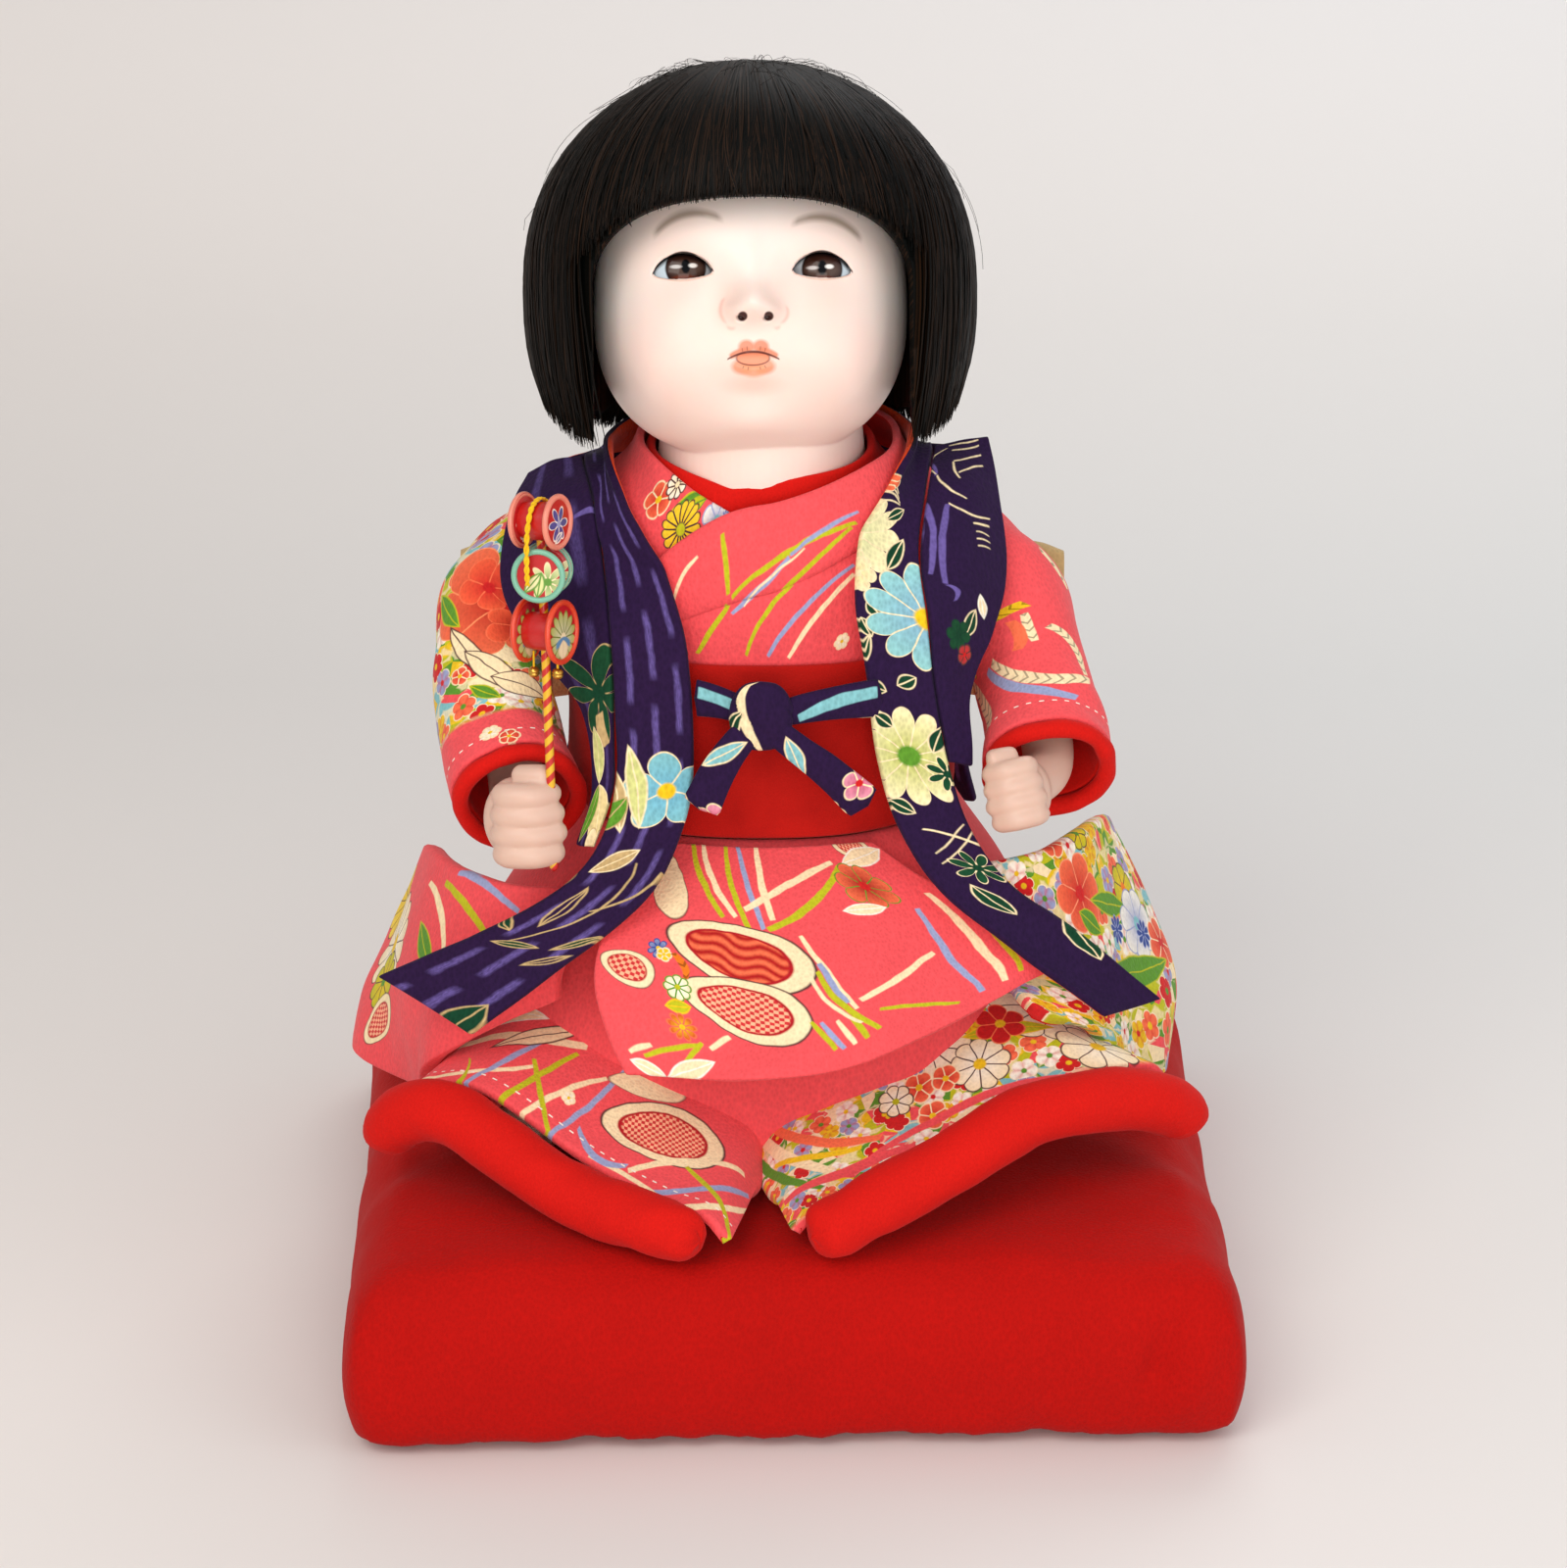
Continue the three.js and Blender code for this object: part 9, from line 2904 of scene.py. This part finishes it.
BAND_RIGHT_PRINT = (
    Dashes(5.6, 26.0),
    Bloom((5.5, 179.5), 11.0, 5, rgb(110, 176, 200), SKY, SUN_YELLOW, CREAM, 0.42, 0.7, 0.4),
    Leaf((15.5, 166.6), (9.9, 189.7), 2.5, rgb(206, 206, 130), CREAM),
    Leaf((19.7, 171.8), (14.2, 190.6), 2.3, TAN, CREAM),
    Leaf((20.2, 190.6), (14.7, 180.4), 3.2, LEAF_GREEN, TAN),
    Leaf((15.8, 202.8), (7.5, 195.6), 3.1, TAN, CREAM),
    Stroke((7.6, 218.0), (-0.1, 203.5), -1.7, 0.4, TAN),
    Stroke((12.2, 235.2), (6.8, 199.9), -3.2, 0.3, TAN),
    Leaf((11.8, 227.1), (13.0, 208.1), 1.7, DEEP_PURPLE, TAN),
    Leaf((4.7, 236.0), (-0.7, 226.7), 1.3, DARK_LEAF, TAN),
    Leaf((21.1, 223.0), (20.2, 208.9), 1.7, DEEP_PURPLE, TAN),
    Leaf((14.8, 236.9), (6.5, 236.0), 1.6, DARK_LEAF, TAN),
    Leaf((5.7, 243.9), (0.4, 235.9), 1.2, DEEP_PURPLE, TAN),
    Leaf((14.8, 230.7), (22.9, 221.5), 1.7, DARK_LEAF, TAN),
    Leaf((3.7, 281.0), (2.3, 260.0), 3.2, DARK_LEAF, TAN),
    Leaf((19.1, 210.8), (19.3, 199.8), 1.6, DARK_LEAF, TAN),
)
OUTER_RIGHT_PRINT = (
    Dashes(8.0, 34.0, 0.5),
    Stroke((3.8, 24.0), (-2.9, 25.1), 2.1, 0.9, BRUSH),
    Bloom((5.0, 74.0), 14.0, 7, DARK_LEAF, rgb(26, 74, 44), DARK_LEAF, TAN, 0.72, 1.1, 0.3),
    Stroke((6.4, 79.1), (3.7, 88.2), -1.7, 2.8, TAN),
    Leaf((11.6, 82.4), (10.3, 98.6), 4.9, rgb(206, 206, 130), CREAM),
    Leaf((27.0, 87.6), (30.4, 103.9), 3.9, LEAF_GREEN, TAN),
    Leaf((10.3, 98.6), (-1.0, 117.8), 6.3, rgb(224, 200, 140), CREAM),
    Leaf((15.7, 115.2), (10.3, 98.6), 4.3, LEAF_GREEN, TAN),
    Bloom((1.4, 120.6), 11.0, 6, TAN, CREAM, SUN_YELLOW, TAN, 0.4),
)
BAND_LEFT_PRINT = (
    Stroke((-9.1, 94.2), (4.6, 95.4), -2.9, 0.3, CREAM),
    Stroke((-7.6, 96.3), (6.0, 97.4), -3.1, 0.3, CREAM),
    Stroke((-6.1, 97.8), (7.0, 98.7), -2.9, 0.3, CREAM),
    Stroke((-3.0, 99.6), (7.3, 99.3), -1.4, 0.3, CREAM),
    Bloom((-1.1, 91.9), 3.4, 5, CORAL, CORAL, ROSE, CREAM),
    Bloom((-2.3, 110.7), 12.7, 9, rgb(206, 208, 150), rgb(244, 228, 178), CREAM, CREAM, 0.3, 0.6),
    Bloom((-0.5, 121.4), 5.2, 6, rgb(236, 214, 150), CREAM, CREAM, CREAM, 0.3),
    Leaf((7.2, 119.0), (11.5, 109.3), 2.2, DARK_LEAF, CREAM),
    Leaf((4.6, 104.4), (9.0, 100.5), 2.4, DARK_LEAF, CREAM),
    Stroke((3.4, 118.7), (7.9, 121.6), -0.7, 0.3, CREAM),
    Leaf((2.1, 128.1), (5.4, 132.2), 2.2, DARK_LEAF, CREAM),
    Leaf((4.7, 128.6), (8.5, 126.3), 1.7, DARK_LEAF, CREAM),
    Leaf((0.4, 133.0), (2.4, 137.9), 2.0, DARK_LEAF, CREAM),
    Leaf((-1.9, 146.4), (2.0, 136.9), 1.5, DARK_LEAF, CREAM),
    Bloom((16.0, 130.8), 15.1, 11, rgb(124, 164, 190), rgb(144, 200, 196), SUN_YELLOW, CREAM, 0.3, 0.7),
    Leaf((-0.8, 150.6), (4.0, 152.8), 2.0, DARK_LEAF, CREAM),
    Leaf((6.6, 151.0), (11.9, 148.1), 2.1, DARK_LEAF, CREAM),
    Bloom((7.1, 170.5), 13.9, 12, rgb(176, 182, 80), rgb(244, 232, 180), LEAF_GREEN, CREAM, 0.32, 0.7),
    Leaf((-0.0, 159.1), (4.6, 162.5), 2.2, DARK_LEAF, CREAM),
    Leaf((16.5, 161.4), (12.8, 169.6), 2.3, DARK_LEAF, CREAM),
    Bloom((14.9, 174.9), 5.1, 7, DARK_LEAF, rgb(26, 74, 44), DARK_LEAF, CREAM, 0.7, 1.1),
    Leaf((-0.6, 182.9), (4.8, 186.9), 2.3, DARK_LEAF, CREAM),
    Stroke((4.4, 191.6), (22.5, 210.0), -5.6, 0.4, CREAM),
    Stroke((4.6, 202.6), (17.0, 190.5), 0.4, 0.2, CREAM),
    Stroke((4.5, 199.4), (15.0, 188.9), 0.1, 0.2, CREAM),
    Stroke((22.5, 210.0), (20.1, 221.1), -1.0, 0.4, CREAM),
    Bloom((20.0, 192.2), 4.0, 6, DARK_LEAF, rgb(26, 74, 44), DARK_LEAF, CREAM, 0.4),
    Bloom((11.8, 203.5), 6.1, 7, DARK_LEAF, rgb(26, 74, 44), DARK_LEAF, CREAM, 0.7, 1.1),
    Leaf((7.1, 209.3), (9.0, 223.2), 2.7, DARK_LEAF, CREAM),
    Leaf((17.4, 226.5), (13.3, 247.1), 3.1, DARK_LEAF, CREAM),
)
OUTER_LEFT_PRINT = (
    Stroke((4.6, 25.3), (4.7, 48.7), 0.5, 0.8, BRUSH),
    Stroke((4.7, 48.7), (6.7, 52.8), -2.0, 0.7, BRUSH),
    Stroke((-2.3, 21.6), (1.4, 46.9), -2.3, 0.8, BRUSH),
    Stroke((-1.2, 30.5), (-1.1, 40.4), 0.5, 1.5, BRUSH),
    Stroke((-6.4, 7.2), (1.4, 15.4), -2.6, 0.6, BRUSH),
    Stroke((-7.7, 3.7), (2.4, -2.8), -3.7, 0.3, CREAM),
    Stroke((15.8, 1.3), (4.5, 2.1), -0.2, 0.3, CREAM),
    Stroke((5.5, 4.6), (15.4, 3.2), 0.4, 0.3, CREAM),
    Stroke((4.4, 3.0), (1.6, 15.1), 4.0, 0.3, CREAM),
    Stroke((1.6, 15.1), (9.3, 23.1), 1.4, 0.3, CREAM),
    Stroke((5.7, 9.6), (15.4, 6.3), 0.2, 0.3, CREAM),
    Stroke((5.7, 9.6), (7.5, 16.7), 0.5, 0.3, CREAM),
    Stroke((7.1, 14.5), (15.3, 10.0), -0.4, 0.3, CREAM),
    Stroke((4.6, 25.0), (15.9, 26.0), 1.7, 0.3, CREAM),
    Stroke((10.8, 29.7), (15.7, 28.4), -0.1, 0.3, CREAM),
    Stroke((11.5, 31.9), (15.5, 31.3), -0.3, 0.2, CREAM),
    Stroke((11.8, 33.8), (15.7, 33.1), -0.3, 0.2, CREAM),
    Stroke((12.1, 35.6), (15.7, 34.8), -0.2, 0.2, CREAM),
    Leaf((10.9, 61.7), (13.1, 52.9), 2.1, DARK_LEAF, CREAM),
    Leaf((13.6, 48.3), (16.1, 54.6), 1.4, CREAM, WHITE),
    Bloom((8.6, 61.2), 4.3, 6, DARK_LEAF, rgb(26, 74, 44), DARK_LEAF, DARK_LEAF, 0.4),
    Bloom((12.2, 65.8), 3.1, 5, ROSE, rgb(160, 60, 60), ROSE, INK),
)
BACK_PRINT = (
    Dashes(5.6, 26.0), Bloom((60.0, 60.0), 14.0, 11, rgb(124, 164, 190), SKY, SUN_YELLOW, CREAM, 0.3, 0.7),
)
TIE_PRINT = (
    Stroke((8.0, 4.0), (12.0, 26.0), 1.0, 1.6, SKY), Stroke((24.0, 2.0), (18.0, 26.0), 1.0, 1.2, CREAM),
    Leaf((14.0, 4.0), (20.0, 16.0), 2.0, DARK_LEAF, CREAM)
)
TAIL_PRINT = (
    Leaf((8.0, 6.0), (14.0, 18.0), 2.4, SKY, CREAM),
    Bloom((6.0, 30.0), 4.6, 5, rgb(200, 90, 120), rgb(226, 150, 170), ROSE, CREAM, 0.35),
    Bloom((17.0, 31.0), 4.6, 5, rgb(190, 100, 130), rgb(214, 160, 176), ROSE, CREAM, 0.35),
    Leaf((24.0, 20.0), (30.0, 30.0), 2.4, DARK_LEAF, CREAM),
)


def brass() -> bpy.types.Material:
    """Gilt brass."""
    tree = Tree("bell_gilt")
    slow = tree.noise(tree.place(), 900.0, 2.0)
    return tree.finish(
        Base_Color=tree.mix(slow, rgb(222, 176, 84), rgb(186, 136, 50)), Metallic=1.0,
        Roughness=slow * 0.2 + 0.22
    )


def make_finishes() -> Finishes:
    """Makes every finish once."""
    crepe = Crepe()
    coat = Crepe(0.0010, 0.00018, 0.88, 0.04, 0.4)
    scarlet = Crepe(0.0006, 0.0001, 0.85, 0.03, 0.16).plain("lining_scarlet", SCARLET)

    def pink(name: str, motifs: Sequence[Any]) -> bpy.types.Material:
        """Salmon crepe with a print."""
        return Print(name, SALMON).dyed(motifs, crepe)

    def purple(name: str, motifs: Sequence[Any]) -> bpy.types.Material:
        """Deep purple crepe with a print."""
        return Print(name, DEEP_PURPLE).dyed(motifs, coat)

    front = pink("front_print", FRONT_PRINT)
    return Finishes(
        crepe=crepe.plain("pink_crepe_plain", SALMON),
        collar_right=pink("collar_right_print", COLLAR_RIGHT_PRINT),
        collar_left=pink("collar_left_print", COLLAR_LEFT_PRINT),
        sleeve_right=pink("sleeve_right_print", SLEEVE_RIGHT_PRINT),
        sleeve_left=pink("sleeve_left_print", SLEEVE_LEFT_PRINT), lap=pink("lap_print", LAP_PRINT),
        skirt_right=pink("skirt_right_print", SKIRT_RIGHT_PRINT),
        skirt_left=pink("skirt_left_print", SKIRT_LEFT_PRINT),
        drop_right=pink("drop_right_print", DROP_RIGHT_PRINT),
        drop_left=pink("drop_left_print", DROP_LEFT_PRINT), front=front,
        scarlet=scarlet, felt=felt(), brocade=crepe.plain("bow_brocade", TAN),
        vest_right=purple("band_right_print", BAND_RIGHT_PRINT),
        vest_left=purple("band_left_print", BAND_LEFT_PRINT),
        vest_outer_right=purple("outer_right_print", OUTER_RIGHT_PRINT),
        vest_outer_left=purple("outer_left_print", OUTER_LEFT_PRINT),
        vest_back=purple("coat_back_print", BACK_PRINT),
        vest_lining=crepe.plain("coat_lining", rgb(226, 70, 16)),
        tie=purple("tie_print", TIE_PRINT), tie_tail=purple("tail_print", TAIL_PRINT), skin=gofun(),
        face=makeup(),
        eye=glass_eyes(), hair=silk_hair("hair_silk", 0.09), hair_cap=silk_hair("hair_cap_silk", 0.05),
        cotton=crepe.plain("cotton", rgb(232, 224, 210)),
        pulp=crepe.plain("pulp", rgb(190, 160, 120)),
        lacquer=lacquer("drum_red", rgb(200, 22, 16)),
        rims=(
            lacquer("rim_salmon", rgb(240, 140, 116)), lacquer("rim_mint", rgb(126, 190, 160)),
            lacquer("rim_orange", rgb(230, 66, 26))
        ),
        silk=crepe.plain("cord_silk", rgb(240, 190, 30)), brass=brass(),
        cushion=Crepe(0.0009, 0.00016, 0.85, 0.03, 0.2).plain("cushion_crepe", rgb(176, 10, 4)),
    )


# Studio


FOCAL_PIXELS = 5100
FRAME_PIXELS = 1600
SENSOR = 36.0
CAMERA_AT = (0, -1.2902, 0.6796)
CAMERA_TILT = 22.5
LAMPS = (
    ("key", (-0.7, -1.3, 1.5), (0, 0, 0.15), 1.1, 15.0, (1.0, 0.97, 0.93)),
    ("fill", (1.2, -1.0, 0.9), (0, 0, 0.15), 1.4, 6.0, (0.93, 0.96, 1.0)),
    ("front", (0.1, -1.7, 0.55), (0, 0, 0.2), 0.9, 9.0, (1.0, 0.98, 0.95)),
    ("back", (0.3, 1.1, 1.3), (0, 0, 0.2), 1.0, 7.0, (1.0, 1.0, 1.0)),
)


class Studio:
    """The floor, backdrop, lamps and camera."""

    def camera(self) -> None:
        """Aims the camera as the photograph was taken, over a 1599 by 1600 frame."""
        data = bpy.data.cameras.new("camera")
        data.sensor_fit = "AUTO"
        data.sensor_width = SENSOR
        data.lens = FOCAL_PIXELS / FRAME_PIXELS * SENSOR
        data.clip_end = 20
        camera = bpy.data.objects.new("camera", data)
        camera.location = CAMERA_AT
        tilt = math.radians(CAMERA_TILT)
        camera.rotation_euler = (math.pi / 2 - tilt, 0, 0)
        bpy.context.scene.collection.objects.link(camera)
        bpy.context.scene.camera = camera

    def stand(self) -> None:
        """A pale floor that sweeps up into a backdrop and keeps the shadow, with painted shade behind the
        doll and painted light graded across.
        """
        y = np.concatenate(
            [
                np.linspace(-3000, 900, 30), 900 + 600 * np.sin(np.linspace(0.05, math.pi / 2, 20)),
                np.full(8, 1500)
            ]
        )
        z = np.concatenate(
            [
                np.zeros(30), 600 - 600 * np.cos(np.linspace(0.05, math.pi / 2, 20)),
                np.linspace(700, 2600, 8)
            ]
        )
        x = np.linspace(-3000, 3000, 20)
        grid = np.stack(
            [
                np.broadcast_to(x[None], (len(y), 20)), np.broadcast_to(y[:, None], (len(y), 20)),
                np.broadcast_to(z[:, None], (len(y), 20))
            ],
            -1
        )
        floor = grid_object("studio_floor", grid)
        tree = Tree("studio_paper_painted_shade")
        x, y, z = tree.parts(tree.place())
        # Painted shade and light: the floor is darker in a band behind the doll, and the paper is darker
        # and warmer on the left and lighter and cooler on the right, as the light falls.
        far = (abs(y - 0.45) / -0.7 + 1).clamp()
        across = (x * 0.9 + 0.5).clamp()
        near_tint = tree.mix(across, rgb(229, 221, 214), rgb(231, 227, 223))
        painted_shade_tint = tree.mix(across, rgb(206, 199, 193), rgb(219, 220, 218))
        high = tree.mix(across, rgb(221, 215, 210), rgb(229, 230, 232))
        colour = tree.mix((z * 4.0).clamp(), tree.mix(far, near_tint, painted_shade_tint), high)
        dress(floor, tree.finish(Base_Color=colour, Roughness=0.9))

    def lamp(
        self, name: str, at: Sequence[float], aim: Sequence[float], size: float, watts: float,
        tint: Sequence[float]
    ) -> None:
        """A soft square lamp."""
        data = bpy.data.lights.new(name, "AREA")
        data.size = size
        data.energy = watts
        data.color = tint
        obj = bpy.data.objects.new(name, data)
        obj.location = at
        obj.rotation_euler = (Vector(aim) - Vector(at)).to_track_quat("-Z", "Y").to_euler()
        bpy.context.scene.collection.objects.link(obj)

    def build(self) -> None:
        """Sets the studio up."""
        scene = bpy.context.scene
        scene.view_settings.view_transform = "Standard"
        world = bpy.data.worlds.new("studio_air")
        world.use_nodes = True
        world.node_tree.nodes["Background"].inputs[0].default_value = (0.95, 0.96, 1.0, 1)
        world.node_tree.nodes["Background"].inputs[1].default_value = 0.55
        scene.world = world
        for lamp in LAMPS:
            self.lamp(*lamp)
        self.camera()
        self.stand()


def main() -> None:
    """Builds the dressed doll around the frame."""
    logging.basicConfig(level=logging.INFO, format="%(message)s")
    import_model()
    Studio().build()
    f = make_finishes()
    steps: tuple[tuple[str, Callable[[], Any]], ...] = (
        ("cushion", lambda: Cushion().build(f.cushion)),
        ("kimono", lambda: Kimono().build(f)),
        ("sash", lambda: Sash().build(f)),
        ("skirt", lambda: Skirt().build(f)),
        ("drops", lambda: SleeveDrops().build(f)),
        ("legs", lambda: Legs().build(f)),
        ("right arm", lambda: Arm("right", RIGHT_SLEEVE).build(f)),
        ("left arm", lambda: Arm("left", LEFT_SLEEVE).build(f)),
        ("coat", lambda: Vest().build(f)),
        ("tie", lambda: Tie().build(f)),
        ("head", lambda: Head().build(f)),
        ("wig", lambda: Wig().build(f)),
        ("rattle", lambda: Rattle().build(f)),
    )
    for name, step in steps:
        step()
        log.info("%s made", name)
    dress(bpy.data.objects["torso"], f.pulp)


if __name__ == "__main__":
    main()
